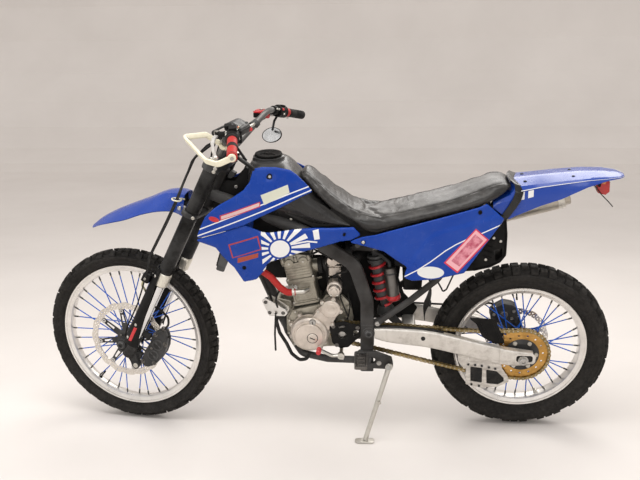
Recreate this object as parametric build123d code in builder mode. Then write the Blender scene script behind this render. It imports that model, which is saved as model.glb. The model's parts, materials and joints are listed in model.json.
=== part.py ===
"""Off-road motorcycle with spoked 21/18 inch wheels, leaning on its side stand.

Every piece is modelled upright and straight ahead: X forward, Y left, Z up, the
origin on the ground half way between the axles. At the end the steering is turned,
the bike leaned onto its stand, and the whole set down on the floor.
"""
import math
import os

from build123d import *

os.makedirs("parts", exist_ok=True)

# ---------------------------------------------------------------- driving sizes
WHEELBASE = 1450.0
FRONT_TYRE_R, REAR_TYRE_R = 340.0, 325.0
FRONT_TYRE_W, REAR_TYRE_W = 84.0, 105.0
FRONT_CROWN_R, REAR_CROWN_R = 46.0, 72.0
FRONT_RIM_R, REAR_RIM_R = 280.5, 242.5  # outer edge of the rim flanges
FRONT_RIM_W, REAR_RIM_W = 48.0, 60.0
RIM_DEPTH = 25.0
RIM_WALL = 4.0
SPOKES = 36
SPOKE_R = 1.7
RAKE = 26.5
AXLE_OFFSET = 45.0  # front axle ahead of the steering axis
FORK_OFFSET = 10.0
FORK_SPREAD = 97.0
STEER_TURN = -11.5  # parked turned to the right
LEAN = 10.6
FRONT_AXLE_R, REAR_AXLE_R = 8.5, 10.0
STEM_R = 15.0
FIT = 0.05  # radial running clearance
CHAIN_Y = 76.0
SPROCKET_R, CHAIN_PITCH_R = 91.5, 99.0
FRONT_SPROCKET_R, FRONT_CHAIN_R = 32.0, 39.5
CHAIN_H, CHAIN_W = 14.0, 15.0
FRONT_DISC_R, REAR_DISC_R = 147.0, 118.0
DISC_T = 4.0
FRONT_DISC_Y, REAR_DISC_Y = 57.0, -64.0
PIVOT = (-172.0, 420.0)  # swingarm pivot, x and z
STAND_PIVOT = (-246.0, 146.0, 302.0)
STAND_FOOT = (-160.0, 237.0)  # centre of the foot pad on the floor, leaned frame
STAND_UP = (-0.985, 0.10, 0.14)  # way the folded leg points, beside the swingarm
SHIFT_X, SHIFT_Y = -4.27, -232.52  # brings the middle of the whole bike's box to the origin

REAR = Vector(-WHEELBASE / 2, 0, REAR_TYRE_R)
FRONT = Vector(WHEELBASE / 2, 0, FRONT_TYRE_R)
_r = math.radians(RAKE)
AXIS = Vector(-math.sin(_r), 0, math.cos(_r))
AHEAD = Vector(math.cos(_r), 0, math.sin(_r))
STEER_ORIGIN = FRONT - AHEAD * AXLE_OFFSET
FRONT_SPROCKET = Vector(-76, 0, 404)


def head(u, v, s):
    """Point u ahead of the steering axis, v to the left, s along it above the axle."""
    return STEER_ORIGIN + AHEAD * u + Vector(0, v, 0) + AXIS * s


def head_plane(s, u=0.0, v=0.0):
    return Plane(origin=head(u, v, s), x_dir=AHEAD, z_dir=AXIS)


def side(y):
    """Sketch plane seen from the right: local x is X, local y is Z, normal is -Y."""
    return Plane(origin=(0, y, 0), x_dir=(1, 0, 0), z_dir=(0, -1, 0))


def across(x):
    """Sketch plane across the bike: local x is Y, local y is Z, normal is +X."""
    return Plane(origin=(x, 0, 0), x_dir=(0, 1, 0), z_dir=(1, 0, 0))


def rod(start, end, radius, mode=Mode.ADD):
    """Straight round bar between two points, added to the part being built."""
    a, b = Vector(start), Vector(end)
    with BuildSketch(Plane(origin=a, z_dir=(b - a).normalized())) as disc:
        Circle(radius)
    extrude(disc.sketch, amount=(b - a).length, mode=mode)


def tube(points, radius, bend, inner=0.0):
    """Round tube along straight runs joined by tangent arcs."""
    with BuildLine() as route:
        if len(points) > 2:
            FilletPolyline(*points, radius=bend)
        else:
            Line(*points)
    with BuildSketch(Plane(origin=route.wire() @ 0, z_dir=route.wire() % 0)) as disc:
        Circle(radius)
        if inner:
            Circle(inner, mode=Mode.SUBTRACT)
    sweep(disc.sketch, path=route.wire(), transition=Transition.ROUND)


def plate(outline, y_outer, thickness, mode=Mode.ADD):
    """Flat plate of a side outline, from y_outer inwards to the right."""
    with BuildSketch(side(y_outer)) as face:
        with BuildLine():
            Polyline(*outline, close=True)
        make_face()
    extrude(face.sketch, amount=thickness, mode=mode)


def hull_loft(sections):
    """Solid through sections (x, [(y, z), ...]) across the bike."""
    faces = []
    for x, ring in sections:
        with BuildSketch(across(x)) as cut:
            with BuildLine():
                Polyline(*ring, close=True)
            make_face()
        faces.append(cut.sketch)
    loft(faces, ruled=True)


def mirrored(half):
    """Closed ring from its left half, listed from the bottom outside to the top."""
    return half + [(-y, z) for y, z in reversed(half) if y > 0.01]


def hat(half, t):
    """Thin open-bottomed ring: outer half contour down from the middle's height to the
    edge, listed edge first, with an inner contour t inside it."""
    inner = [(y - t if y > 2 * t else y * 0.5, z if i == 0 else z - t) for i, (y, z) in enumerate(half)]
    outer_full = half + [(-y, z) for y, z in reversed(half) if y > 0.01]
    inner_full = [(-y, z) for y, z in inner if y > 0.01] + list(reversed(inner))
    return outer_full + inner_full


def floor_gap(place, centre, tyre_r, crown):
    """Height of the lowest point of a tyre's crown over the floor."""
    c = (place * Location(centre)).position
    a = (place * Location(centre + Vector(0, 1, 0))).position - c
    return c.Z - (tyre_r - crown) * math.sqrt(1 - a.Z**2) - crown


def turned(angle):
    """Rotation of the whole front end about the steering axis."""
    to = Location(STEER_ORIGIN)
    return to * Location((0, 0, 0), AXIS, angle) * Location(-STEER_ORIGIN)


def stance():
    """Leaned on the stand, pitched and lowered until both tyres touch the floor."""
    nose, lift = 0.0, 0.0
    for _ in range(12):
        place = Location((SHIFT_X, SHIFT_Y, lift)) * Rotation(0, nose, 0) * Rotation(-LEAN, 0, 0)
        f = floor_gap(place * turned(STEER_TURN), FRONT, FRONT_TYRE_R, FRONT_CROWN_R)
        r = floor_gap(place, REAR, REAR_TYRE_R, REAR_CROWN_R)
        nose += math.degrees((f - r) / WHEELBASE)
        lift -= (f + r) / 2
    return place


def table(xs, values, x):
    """Linear interpolation in a rising table."""
    if x <= xs[0]:
        return values[0]
    for a, b, va, vb in zip(xs, xs[1:], values, values[1:]):
        if x <= b:
            return va + (vb - va) * (x - a) / (b - a)
    return values[-1]


def panel(outline, surface, stations, heights, t, sign=1):
    """Curved thin side panel: a skin of y = surface(x, z), cut to a side outline."""
    skin = []
    for x in stations:
        outer = [(sign * surface(x, z), z) for z in heights]
        inner = [(sign * (surface(x, z) - t), z) for z in reversed(heights)]
        with BuildSketch(across(x)) as cut:
            with BuildLine():
                Polyline(*outer, *inner, close=True)
            make_face()
        skin.append(cut.sketch)
    loft(skin, ruled=True)
    with BuildSketch(side(0)) as face:
        with BuildLine():
            Polyline(*outline, close=True)
        make_face()
    extrude(face.sketch, amount=-sign * 260, mode=Mode.INTERSECT)


# stance of the chassis and of the steered front end, and the stand's own geometry
CHASSIS = stance()
STEERED = CHASSIS * turned(STEER_TURN)
FOOT = (CHASSIS.inverse() * Location((STAND_FOOT[0] + SHIFT_X, STAND_FOOT[1] + SHIFT_Y, 0))).position
LEG = FOOT - Vector(*STAND_PIVOT)
FOLD_AXIS = LEG.cross(Vector(*STAND_UP)).normalized()
STAND_FOLD = math.degrees(math.acos(LEG.normalized().dot(Vector(*STAND_UP).normalized())))

# ---------------------------------------------------------------- wheels
def wheel_plane(centre):
    """Half section of a wheel: local x is the radius, local y runs to the left."""
    return Plane(origin=centre, x_dir=(1, 0, 0), z_dir=(0, 0, 1))


def tyre(centre, rim_r, rim_w, tyre_r, tyre_w, crown):
    """Rubber ring from inside the rim's well to the crown of the tread."""
    hw, rw = tyre_w / 2, rim_w / 2 - RIM_WALL
    seat = rim_r - RIM_DEPTH + RIM_WALL
    shoulder = crown - math.sqrt(crown**2 - (hw * 0.80) ** 2)
    with BuildSketch(wheel_plane(centre)) as half:
        with BuildLine():
            Line((seat, -rw + 5), (seat, rw - 5))
            Line((seat, rw - 5), (seat + 6, rw))
            Line((seat + 6, rw), (rim_r, rw))
            Line((rim_r, rw), (rim_r + 4, rw + 3))
            ThreePointArc(
                (rim_r + 4, rw + 3),
                ((rim_r + tyre_r) / 2 + 2, hw),
                (tyre_r - shoulder, hw * 0.80),
            )
            ThreePointArc((tyre_r - shoulder, hw * 0.80), (tyre_r, 0), (tyre_r - shoulder, -hw * 0.80))
            ThreePointArc(
                (tyre_r - shoulder, -hw * 0.80),
                ((rim_r + tyre_r) / 2 + 2, -hw),
                (rim_r + 4, -rw - 3),
            )
            Line((rim_r + 4, -rw - 3), (rim_r, -rw))
            Line((rim_r, -rw), (seat + 6, -rw))
            Line((seat + 6, -rw), (seat, -rw + 5))
        make_face()
    revolve(half.sketch, axis=Axis(centre, (0, 1, 0)))


def rim(centre, rim_r, rim_w):
    """Channel rim: two flanges and a well."""
    rw, o = rim_w / 2 - RIM_WALL, rim_w / 2
    seat = rim_r - RIM_DEPTH + RIM_WALL
    with BuildSketch(wheel_plane(centre)) as half:
        with BuildLine():
            Polyline(
                (rim_r, rw), (seat + 6, rw), (seat, rw - 5), (seat, -rw + 5),
                (seat + 6, -rw), (rim_r, -rw), (rim_r, -o), (rim_r - 10, -o),
                (seat - 1, -rw + 1), (seat - RIM_WALL, -9), (seat - RIM_WALL, 9),
                (seat - 1, rw - 1), (rim_r - 10, o), (rim_r, o), close=True,
            )
        make_face()
    revolve(half.sketch, axis=Axis(centre, (0, 1, 0)))


def lace(centre, hub_r, flange_y, rim_r, hub_half):
    """Spokes laced three-cross between the hub flanges and the rim's well."""
    well = rim_r - RIM_DEPTH
    for i in range(SPOKES):
        left = i % 2 == 0
        lean = 1 if (i // 2) % 2 == 0 else -1
        rim_a = math.radians(360.0 / SPOKES * i)
        hub_a = rim_a + lean * math.radians(62)
        sy = 1 if left else -1
        y0 = sy * (flange_y + (4.5 if lean > 0 else -4.5))
        a = centre + Vector(hub_r * math.cos(hub_a), y0, hub_r * math.sin(hub_a))
        b = centre + Vector((well + 3) * math.cos(rim_a), sy * 5, (well + 3) * math.sin(rim_a))
        rod(a, b, SPOKE_R)
    with BuildSketch(Plane(origin=centre + Vector(0, 80, 0), z_dir=(0, -1, 0))) as well_disc:
        Circle(well)
    extrude(well_disc.sketch, amount=160, mode=Mode.INTERSECT)


with BuildPart() as front_tyre:
    tyre(FRONT, FRONT_RIM_R, FRONT_RIM_W, FRONT_TYRE_R, FRONT_TYRE_W, FRONT_CROWN_R)

with BuildPart() as rear_tyre:
    tyre(REAR, REAR_RIM_R, REAR_RIM_W, REAR_TYRE_R, REAR_TYRE_W, REAR_CROWN_R)

with BuildPart() as front_rim:
    rim(FRONT, FRONT_RIM_R, FRONT_RIM_W)

with BuildPart() as rear_rim:
    rim(REAR, REAR_RIM_R, REAR_RIM_W)

# front hub: waisted barrel, two flanges, a disc boss on the left
with BuildPart() as front_hub:
    lace(FRONT, 29, 30, FRONT_RIM_R, 40)
    with BuildSketch(wheel_plane(FRONT)):
        with BuildLine():
            Polyline(
                (FRONT_AXLE_R + FIT, -48), (20, -48), (20, -38), (36, -37), (36, -23),
                (22, -18), (19, 0), (22, 18), (36, 23), (36, 37), (40, 40), (40, 55),
                (FRONT_AXLE_R + FIT, 55), close=True,
            )
        make_face()
    revolve(axis=Axis(FRONT, (0, 1, 0)))

# rear hub: the left end carries the sprocket, the right end the disc
with BuildPart() as rear_hub:
    lace(REAR, 34, 32, REAR_RIM_R, 44)
    with BuildSketch(wheel_plane(REAR)):
        with BuildLine():
            Polyline(
                (REAR_AXLE_R + FIT, -62), (38, -62), (38, -42), (42, -39), (42, -25),
                (27, -18), (25, 0), (27, 18), (42, 25), (42, 39), (58, 44), (58, CHAIN_Y - 2.5),
                (REAR_AXLE_R + FIT, CHAIN_Y - 2.5), close=True,
            )
        make_face()
    revolve(axis=Axis(REAR, (0, 1, 0)))


def brake_disc(centre, y, outer_r, inner_r, hub_r, arms, arm_w):
    """Thin ring on a spidery carrier, centred on the plane y."""
    with BuildSketch(Plane(origin=centre + Vector(0, y + DISC_T / 2, 0), x_dir=(1, 0, 0), z_dir=(0, -1, 0))) as ring:
        Circle(outer_r)
        Circle(inner_r, mode=Mode.SUBTRACT)
        Circle(hub_r + 14)
        with PolarLocations(0, arms):
            with Locations((0, 0)):
                Rectangle(inner_r + 3, arm_w, align=(Align.MIN, Align.CENTER))
        Circle(hub_r, mode=Mode.SUBTRACT)
    extrude(ring.sketch, amount=DISC_T)


with BuildPart() as front_brake_disc:
    brake_disc(FRONT, FRONT_DISC_Y, FRONT_DISC_R, 119, 22, 6, 16)

with BuildPart() as rear_brake_disc:
    brake_disc(REAR, REAR_DISC_Y, REAR_DISC_R, 92, 22, 5, 20)

# sprocket: toothless rim under the chain, on a bolted centre
with BuildPart() as rear_sprocket:
    with BuildSketch(Plane(origin=REAR + Vector(0, CHAIN_Y + 2.5, 0), x_dir=(1, 0, 0), z_dir=(0, -1, 0))):
        Circle(SPROCKET_R)
        Circle(74, mode=Mode.SUBTRACT)
        Circle(62)
        with PolarLocations(0, 6):
            with Locations((0, 0)):
                Rectangle(80, 22, align=(Align.MIN, Align.CENTER))
        Circle(40, mode=Mode.SUBTRACT)
    extrude(amount=5)

# ---------------------------------------------------------------- front end
with BuildPart() as front_axle:
    rod(FRONT + Vector(0, -112, 0), FRONT + Vector(0, 112, 0), FRONT_AXLE_R)
    rod(FRONT + Vector(0, 55.6, 0), FRONT + Vector(0, 77, 0), 14)
    rod(FRONT + Vector(0, -77, 0), FRONT + Vector(0, -48.6, 0), 14)
    with BuildSketch(Plane(origin=FRONT + Vector(0, 120, 0), z_dir=(0, -1, 0))):
        RegularPolygon(14, 6)
    extrude(amount=9)
    with BuildSketch(Plane(origin=FRONT + Vector(0, -111, 0), z_dir=(0, -1, 0))):
        RegularPolygon(14, 6)
    extrude(amount=9)

# sliding lower legs: chromed tube, cast foot with the axle ahead of it
with BuildPart() as fork_legs:
    for v in (FORK_SPREAD, -FORK_SPREAD):
        rod(head(FORK_OFFSET, v, 40), head(FORK_OFFSET, v, 300), 21.5)
        rod(head(FORK_OFFSET, v, -36), head(FORK_OFFSET, v, 62), 24)
        inner = v - 20 if v > 0 else v + 20
        outer = v + 14 if v > 0 else v - 14
        rod(
            head(AXLE_OFFSET, inner, 0), head(AXLE_OFFSET, outer, 0), 21,
        )
        with BuildSketch(head_plane(-24, 0, 0)):
            with Locations((28, (inner + outer) / 2)):
                Rectangle(38, 34)
        extrude(amount=48)
    # caliper lugs behind the left foot
    with BuildSketch(head_plane(-30, 0, 0)):
        with Locations((-20, 84)):
            Rectangle(38, 14)
    extrude(amount=26)
    with BuildSketch(head_plane(60, 0, 0)):
        with Locations((-20, 84)):
            Rectangle(38, 14)
    extrude(amount=26)
    rod(head(FORK_OFFSET, 86, 58), head(FORK_OFFSET, 86, 88), 20)
    # lower bolt eye at the back of the left foot
    with BuildSketch(Plane(origin=head(0, 104, 0), x_dir=AHEAD, z_dir=(0, -1, 0))):
        with BuildLine():
            Polyline((14, -34), (-30, -62), (-46, -54), (-38, -38), (-10, -6), close=True)
        make_face()
    extrude(amount=26)
    rod(head(-35, 76, -50), head(-35, 108, -50), 12)
    rod(FRONT + Vector(0, -115, 0), FRONT + Vector(0, 115, 0), FRONT_AXLE_R, mode=Mode.SUBTRACT)

with BuildPart() as fork_outer_tubes:
    for v in (FORK_SPREAD, -FORK_SPREAD):
        rod(head(FORK_OFFSET, v, 300.0), head(FORK_OFFSET, v, 811), 26)
        rod(head(FORK_OFFSET, v, 296), head(FORK_OFFSET, v, 348), 29)
        rod(head(FORK_OFFSET, v, 811), head(FORK_OFFSET, v, 817), 14)
        rod(head(FORK_OFFSET, v, 290), head(FORK_OFFSET, v, 300), 22, mode=Mode.SUBTRACT)

# plastic guards round the front of each sliding leg
with BuildPart() as fork_guards:
    for sgn in (1, -1):
        with BuildSketch(head_plane(26, 0, 0)):
            with Locations((FORK_OFFSET, sgn * FORK_SPREAD)):
                Circle(36)
                Circle(32.5, mode=Mode.SUBTRACT)
        extrude(amount=334)
        with BuildSketch(Plane(origin=head(0, sgn * FORK_SPREAD + 50, 0), x_dir=AHEAD, z_dir=(0, -1, 0))):
            with BuildLine():
                Polyline((-60, 10), (-22, 10), (-10, 70), (16, 320), (20, 372), (-60, 372), close=True)
            make_face()
        extrude(amount=100, mode=Mode.SUBTRACT)
        with BuildSketch(head_plane(30, 0, 0)):
            with Locations((FORK_OFFSET + 27, sgn * FORK_SPREAD)):
                Rectangle(14, 26)
        extrude(amount=30)
        with BuildSketch(head_plane(20, 0, 0)):
            with Locations((FORK_OFFSET, sgn * FORK_SPREAD)):
                Circle(24.3)
        extrude(amount=60, mode=Mode.SUBTRACT)

# both clamps and the stem that joins them
with BuildPart() as fork_clamps:
    rod(head(0, 0, 588), head(0, 0, 806), STEM_R)
    for s, t, wide in ((588, 20, 35), (776, 28, 35)):
        with BuildSketch(head_plane(s)):
            with BuildLine():
                Polyline(
                    (-22, -18), (-16, -110), (30, -118), (44, -97), (30, -60), (34, 0),
                    (30, 60), (44, 97), (30, 118), (-16, 110), (-22, 18), close=True,
                )
            make_face()
            with Locations((FORK_OFFSET, FORK_SPREAD), (FORK_OFFSET, -FORK_SPREAD)):
                Circle(wide)
        extrude(amount=t)
    rod(head(0, 0, 804), head(0, 0, 814), 19)
    # handlebar risers on the upper clamp
    for v in (40, -40):
        with BuildSketch(head_plane(800)):
            with Locations((8, v)):
                Rectangle(32, 20)
        extrude(amount=46)
    for v in (FORK_SPREAD, -FORK_SPREAD):
        rod(head(FORK_OFFSET, v, 560), head(FORK_OFFSET, v, 830), 26, mode=Mode.SUBTRACT)
    # steering stop lugs under the lower clamp's rear edge
    rod(head(8, -60, 832), head(8, 60, 832), 11.1, mode=Mode.SUBTRACT)

BAR_R = 11.1
BAR_MID = head(8, 0, 832)
KNEE = (230.5, 193.0, 1185.2)  # where the straight for grip and levers ends
BAR = [
    (163, 391, 1136), KNEE, (BAR_MID.X, 84, BAR_MID.Z),
    (BAR_MID.X, -84, BAR_MID.Z), (KNEE[0], -KNEE[1], KNEE[2]), (163, -391, 1136),
]
with BuildPart() as handlebar:
    tube(BAR, BAR_R, 45)
    rod((266, 150.5, 1140), (266, -150.5, 1140), 6)


def along(a, b, t):
    """Point t of the way from a to b."""
    return Vector(a) + (Vector(b) - Vector(a)) * t


with BuildPart() as grips:
    for sgn in (1, -1):
        tip = Vector(163, sgn * 391, 1136)
        knee = Vector(KNEE[0], sgn * KNEE[1], KNEE[2])
        d = (tip - knee).normalized()
        rod(tip - d * 118, tip + d * 6, 16)
        rod(tip - d * 121, tip - d * 116, 22)
        rod(tip - d * 130, tip, BAR_R, mode=Mode.SUBTRACT)

# bent alloy bar that guards the left hand, from the bar's end to its inner bend
with BuildPart() as left_hand_guard:
    tip = Vector(163, 391, 1136)
    d = (tip - Vector(*KNEE)).normalized()
    tube(
        [tip + d * 15, (205, 412, 1110), (246, 394, 1118), (346, 318, 1172), (322, 186, 1158),
         along(BAR[1], BAR[2], 0.61) + Vector(12, 12, 8)],
        7.5, 14,
    )
    rod(tip + d * 6.4, tip + d * 17, 12)
    rod(along(BAR[1], BAR[2], 0.54), along(BAR[1], BAR[2], 0.68), 17)
    rod(along(BAR[1], BAR[2], 0.47), along(BAR[1], BAR[2], 0.8), BAR_R, mode=Mode.SUBTRACT)

# left: clutch perch, lever and switches; right: brake master, lever and throttle
with BuildPart() as hand_controls:
    for sgn in (1, -1):
        tip = Vector(163, sgn * 391, 1136)
        knee = Vector(KNEE[0], sgn * KNEE[1], KNEE[2])
        d = (tip - knee).normalized()
        root = tip - d * 122
        # housing on the bar beside the grip
        rod(root - d * 40, root - d * 2, 23)
        rod(root - d * 66, root - d * 44, 16)
        if sgn > 0:
            rod(root - d * 44, root - d * 40, 16)
        rod(root - d * 54 + Vector(8, 0, -3), root - d * 53 + Vector(52, -sgn * 2, -10), 10)
        # lever: from the perch out in front of the grip
        p0 = root - d * 56 + Vector(50, 0, -10)
        p1 = root + d * 10 + Vector(66, 0, -14)
        p2 = tip - d * 6 + Vector(52, 0, -10)
        tube([p0, p1, p2], 5.5, 40)
        rod(p2 - Vector(2, 0, 0), p2 + d * 9, 7.5)
        if sgn < 0:
            rod(root - d * 44, root - d * 40, 16)
            # brake fluid reservoir above its lever
            with BuildSketch(Plane(origin=root - d * 58 + Vector(52, 0, -26), x_dir=(1, 0, 0), z_dir=(0, 0, 1))):
                RectangleRounded(44, 50, 8)
            extrude(amount=26)
            rod(root - d * 60 + Vector(16, 0, -12), root - d * 60 + Vector(52, 0, -16), 11)
    add(handlebar.part, mode=Mode.SUBTRACT)

# mirrors folded down under the bar on short stems
with BuildPart() as mirrors:
    tip = Vector(163, 391, 1136)
    knee = Vector(*KNEE)
    d = (tip - knee).normalized()
    # left: stem from the perch, glass turned edge-on
    foot_l = tip - d * 150 + Vector(-4, 0, -20)
    tube([foot_l + Vector(0, 0, 2), foot_l + Vector(-16, 14, -14), (148, 316, 1110)], 4.5, 12)
    with BuildSketch(Plane(origin=(143, 318, 1106), x_dir=(-0.8274, 0, -0.5622), z_dir=(0.53, 0.33, -0.78))):
        Ellipse(37, 50)
    extrude(amount=11)
    dr = Vector(d.X, -d.Y, d.Z)
    tip_r = Vector(163, -391, 1136)
    foot_r = tip_r - dr * 150 + Vector(6, 0, -20)
    tube([foot_r + Vector(0, 0, 2), foot_r + Vector(16, -14, -20), (258, -338, 1088)], 4.5, 12)
    with BuildSketch(Plane(origin=(262, -344, 1059), x_dir=(0.93, -0.35, -0.1), z_dir=(0.25, 0.80, 0.52))):
        Ellipse(44, 31)
    extrude(amount=11)
    # the stems end on the housings beside the grips
    rod(tip - d * 166, tip - d * 118, 23, mode=Mode.SUBTRACT)
    rod(tip_r - dr * 166, tip_r - dr * 118, 23, mode=Mode.SUBTRACT)

with BuildPart() as dash:
    with BuildSketch(Plane(origin=(286, 0, 1140), x_dir=(0, 1, 0), z_dir=(-0.45, 0, 0.89))):
        RectangleRounded(118, 66, 12)
    extrude(amount=34)
    with BuildSketch(Plane(origin=(284, 0, 1096), x_dir=(0, 1, 0), z_dir=(0, 0, 1))):
        Rectangle(34, 12)
    extrude(amount=58)
    rod((266, -170, 1140), (266, 170, 1140), 6, mode=Mode.SUBTRACT)
    rod(head(8, -60, 832), head(8, 60, 832), 11.1, mode=Mode.SUBTRACT)

# front mudguard: raised middle, sides falling to the edges, pointed nose
FENDER = [
    (474, [(60, 836), (38, 908), (0, 914)]),
    (503, [(68, 853), (40, 914), (0, 919)]),
    (545, [(78, 857), (40, 911), (0, 917)]),
    (622, [(84, 842), (40, 878), (0, 886)]),
    (690, [(82, 817), (38, 851), (0, 859)]),
    (760, [(66, 796), (32, 822), (0, 829)]),
    (815, [(42, 777), (22, 794), (0, 799)]),
    (858, [(14, 757), (8, 763), (0, 766)]),
]
with BuildPart() as front_fender:
    hull_loft([(x, hat(h, 3.2)) for x, h in FENDER])
    # mounting tongue under the lower clamp and its riser inside the hump
    with BuildSketch(head_plane(581.5)):
        with Locations((32, 0)):
            RectangleRounded(104, 64, 10)
    extrude(amount=6)
    with BuildSketch(across(489)):
        with Locations((0, 889)):
            Rectangle(56, 50)
    extrude(amount=9)

with BuildPart() as front_brake_caliper:
    with BuildSketch(Plane(origin=head(0, 92, 0), x_dir=AHEAD, z_dir=(0, -1, 0))):
        with BuildLine():
            Polyline(
                (-40, -34), (-40, 92), (-50, 118), (-78, 126), (-104, 92), (-112, 40), (-96, -20), (-66, -46),
                close=True,
            )
        make_face()
    extrude(amount=54)
    fillet(front_brake_caliper.edges().filter_by(Axis.Y), radius=9)
    with BuildSketch(Plane(origin=FRONT + Vector(0, FRONT_DISC_Y + 4.5, 0), z_dir=(0, -1, 0))):
        Circle(FRONT_DISC_R + 3)
    extrude(amount=9, mode=Mode.SUBTRACT)
    # inboard half stops short of the spokes
    with BuildSketch(Plane(origin=FRONT + Vector(0, FRONT_DISC_Y - 4.5, 0), z_dir=(0, -1, 0))):
        Circle(112)
    extrude(amount=40, mode=Mode.SUBTRACT)
    with BuildSketch(Plane(origin=FRONT + Vector(0, 95, 0), z_dir=(0, -1, 0))):
        Circle(96)
    extrude(amount=60, mode=Mode.SUBTRACT)

# brake hose: master cylinder, round the front of the head, down the left leg
with BuildPart() as front_brake_hose:
    tube(
        [(292, -200, 1158), (345, -165, 1152), (400, -70, 1120), (438, 30, 1075), (452, 66, 985),
         (478, 100, 908), (516, 112, 828), (586, 116, 697), head(66, 122, 340), head(66, 112, 268),
         head(52, 56, 216), head(0, 55, 184), head(-52, 64, 168), head(-66, 76, 146), head(-66, 76, 127)],
        4.6, 12,
    )

# ---------------------------------------------------------------- frame
SPAR_Y0, SPAR_Y1 = 84.0, 110.0
with BuildPart() as main_frame:
    # head tube
    rod(head(0, 0, 610), head(0, 0, 774), 27)
    # backbone and twin spars down to the swingarm pivot
    for sgn in (1, -1):
        rod(head(-6, sgn * 16, 668), (20, sgn * 97, 792), 22.5)
        with BuildLine() as spar:
            FilletPolyline((45, sgn * 97, 796), (-122, sgn * 97, 684), (-166, sgn * 97, 540), (-166, sgn * 97, 262), radius=90)
        with BuildSketch(Plane(origin=spar.wire() @ 0, x_dir=(0, 1, 0), z_dir=spar.wire() % 0)):
            Rectangle(26, 48)
        sweep(path=spar.wire())
    # down tube, splitting into two cradle rails
    tube([head(-20, 0, 668), (292, 0, 728), (212, 0, 590), (152, 0, 432), (134, 0, 392)], 20, 120)
    for sgn in (1, -1):
        tube([(150, 0, 430), (128, sgn * 34, 382), (72, sgn * 78, 316), (-20, sgn * 86, 299), (-160, sgn * 94, 300)], 13.5, 30)
    # cross tubes: pivot, foot, top
    rod((-160, -97, 300), (-160, 97, 300), 14)
    rod((-98, -97, 705), (-98, 97, 705), 14)
    # ears for the top of the shock
    for y in (28, -22.5):
        with BuildSketch(side(y)):
            with BuildLine():
                Polyline((-102, 717), (-126, 734), (-196, 730), (-206, 716), (-196, 704), (-126, 708), (-102, 702), close=True)
            make_face()
        extrude(amount=5.5)
    # engine hangers at the front
    for sgn in (1, -1):
        with BuildSketch(side(sgn * 62 + 2)):
            with BuildLine():
                Polyline((176, 500), (192, 532), (150, 510), (128, 478), (140, 462), (176, 470), close=True)
            make_face()
        extrude(amount=4)
        rod((170, 0, 498), (170, sgn * 62, 498), 9)
    # swingarm pivot bolt
    rod((PIVOT[0], -116, PIVOT[1]), (PIVOT[0], 116, PIVOT[1]), 8)
    # side stand bracket, its shoulder and pin
    with BuildSketch(side(124)):
        with BuildLine():
            Polyline((-120, 345), (-120, 285), (-236, 280), (-262, 296), (-256, 326), (-196, 350), close=True)
        make_face()
    extrude(amount=16)
    rod((-160, 94, 315), (-160, 122, 315), 22)
    pin = Vector(*STAND_PIVOT)
    rod(pin - FOLD_AXIS * 32, pin - FOLD_AXIS * 10, 11)
    rod(pin - FOLD_AXIS * 34, pin + FOLD_AXIS * 11, 5)
    rod(pin + FOLD_AXIS * 10, pin + FOLD_AXIS * 15, 9)
    # footpeg brackets
    for sgn in (1, -1):
        rod((-146, sgn * 100, 334), (-146, sgn * 125.5, 334), 16)
    # bearing seats: stem bore and open gaps for the pieces that pass through
    rod(head(0, 0, 560), head(0, 0, 820), STEM_R + FIT, mode=Mode.SUBTRACT)

with BuildPart() as subframe:
    for sgn in (1, -1):
        tube([(-128, sgn * 72, 752), (-250, sgn * 72, 778), (-585, sgn * 70, 878)], 11, 60)
        tube([(-200, sgn * 96.5, 453), (-317, sgn * 88, 541), (-412, sgn * 81, 622), (-578, sgn * 70, 870)], 12, 60)
    rod((-585, -78, 876), (-585, 78, 876), 10)
    rod((-330, -72, 802), (-330, 72, 802), 9)
    rod((-132, -84, 750), (-132, 84, 750), 9)

# swingarm: pivot tube between the frame plates, two box beams, a brace
ARM = [
    (-193, 87, 110, 396, 436), (-225, 87, 112, 386, 437), (-391, 88, 116, 364, 429),
    (-560, 89, 122, 326, 392), (-655, 90, 122, 304, 368), (-705, 90, 122, 300, 360),
    (-760, 90, 120, 308, 352),
]
with BuildPart() as swingarm:
    for sgn in (1, -1):
        for x, y0, y1, z0, z1 in ARM:
            with BuildSketch(across(x)):
                with Locations((sgn * (y0 + y1) / 2, (z0 + z1) / 2)):
                    RectangleRounded(y1 - y0, z1 - z0, 7)
        loft()
    for sgn in (1, -1):
        rod((PIVOT[0], sgn * 40, PIVOT[1]), (PIVOT[0], sgn * 82, PIVOT[1]), 12)
        with BuildSketch(side(83.5 if sgn > 0 else -75.5)):
            with BuildLine():
                Polyline((-172, 408), (-172, 431.5), (-214, 428), (-214, 388), (-196, 390), close=True)
            make_face()
        extrude(amount=8)
        with BuildSketch(side(90 if sgn > 0 else -82)):
            with BuildLine():
                Polyline((-194, 400), (-194, 426), (-214, 426), (-214, 392), close=True)
            make_face()
        extrude(amount=8)
    rod((PIVOT[0], -60, PIVOT[1]), (PIVOT[0], 60, PIVOT[1]), 12)
    with BuildSketch(side(92)):
        with Locations((-318, 389)):
            RectangleRounded(52, 44, 10)
    extrude(amount=184)
    rod((PIVOT[0], -90, PIVOT[1]), (PIVOT[0], 90, PIVOT[1]), 8, mode=Mode.SUBTRACT)
    rod((REAR.X, -130, REAR.Z), (REAR.X, 130, REAR.Z), REAR_AXLE_R, mode=Mode.SUBTRACT)

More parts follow.
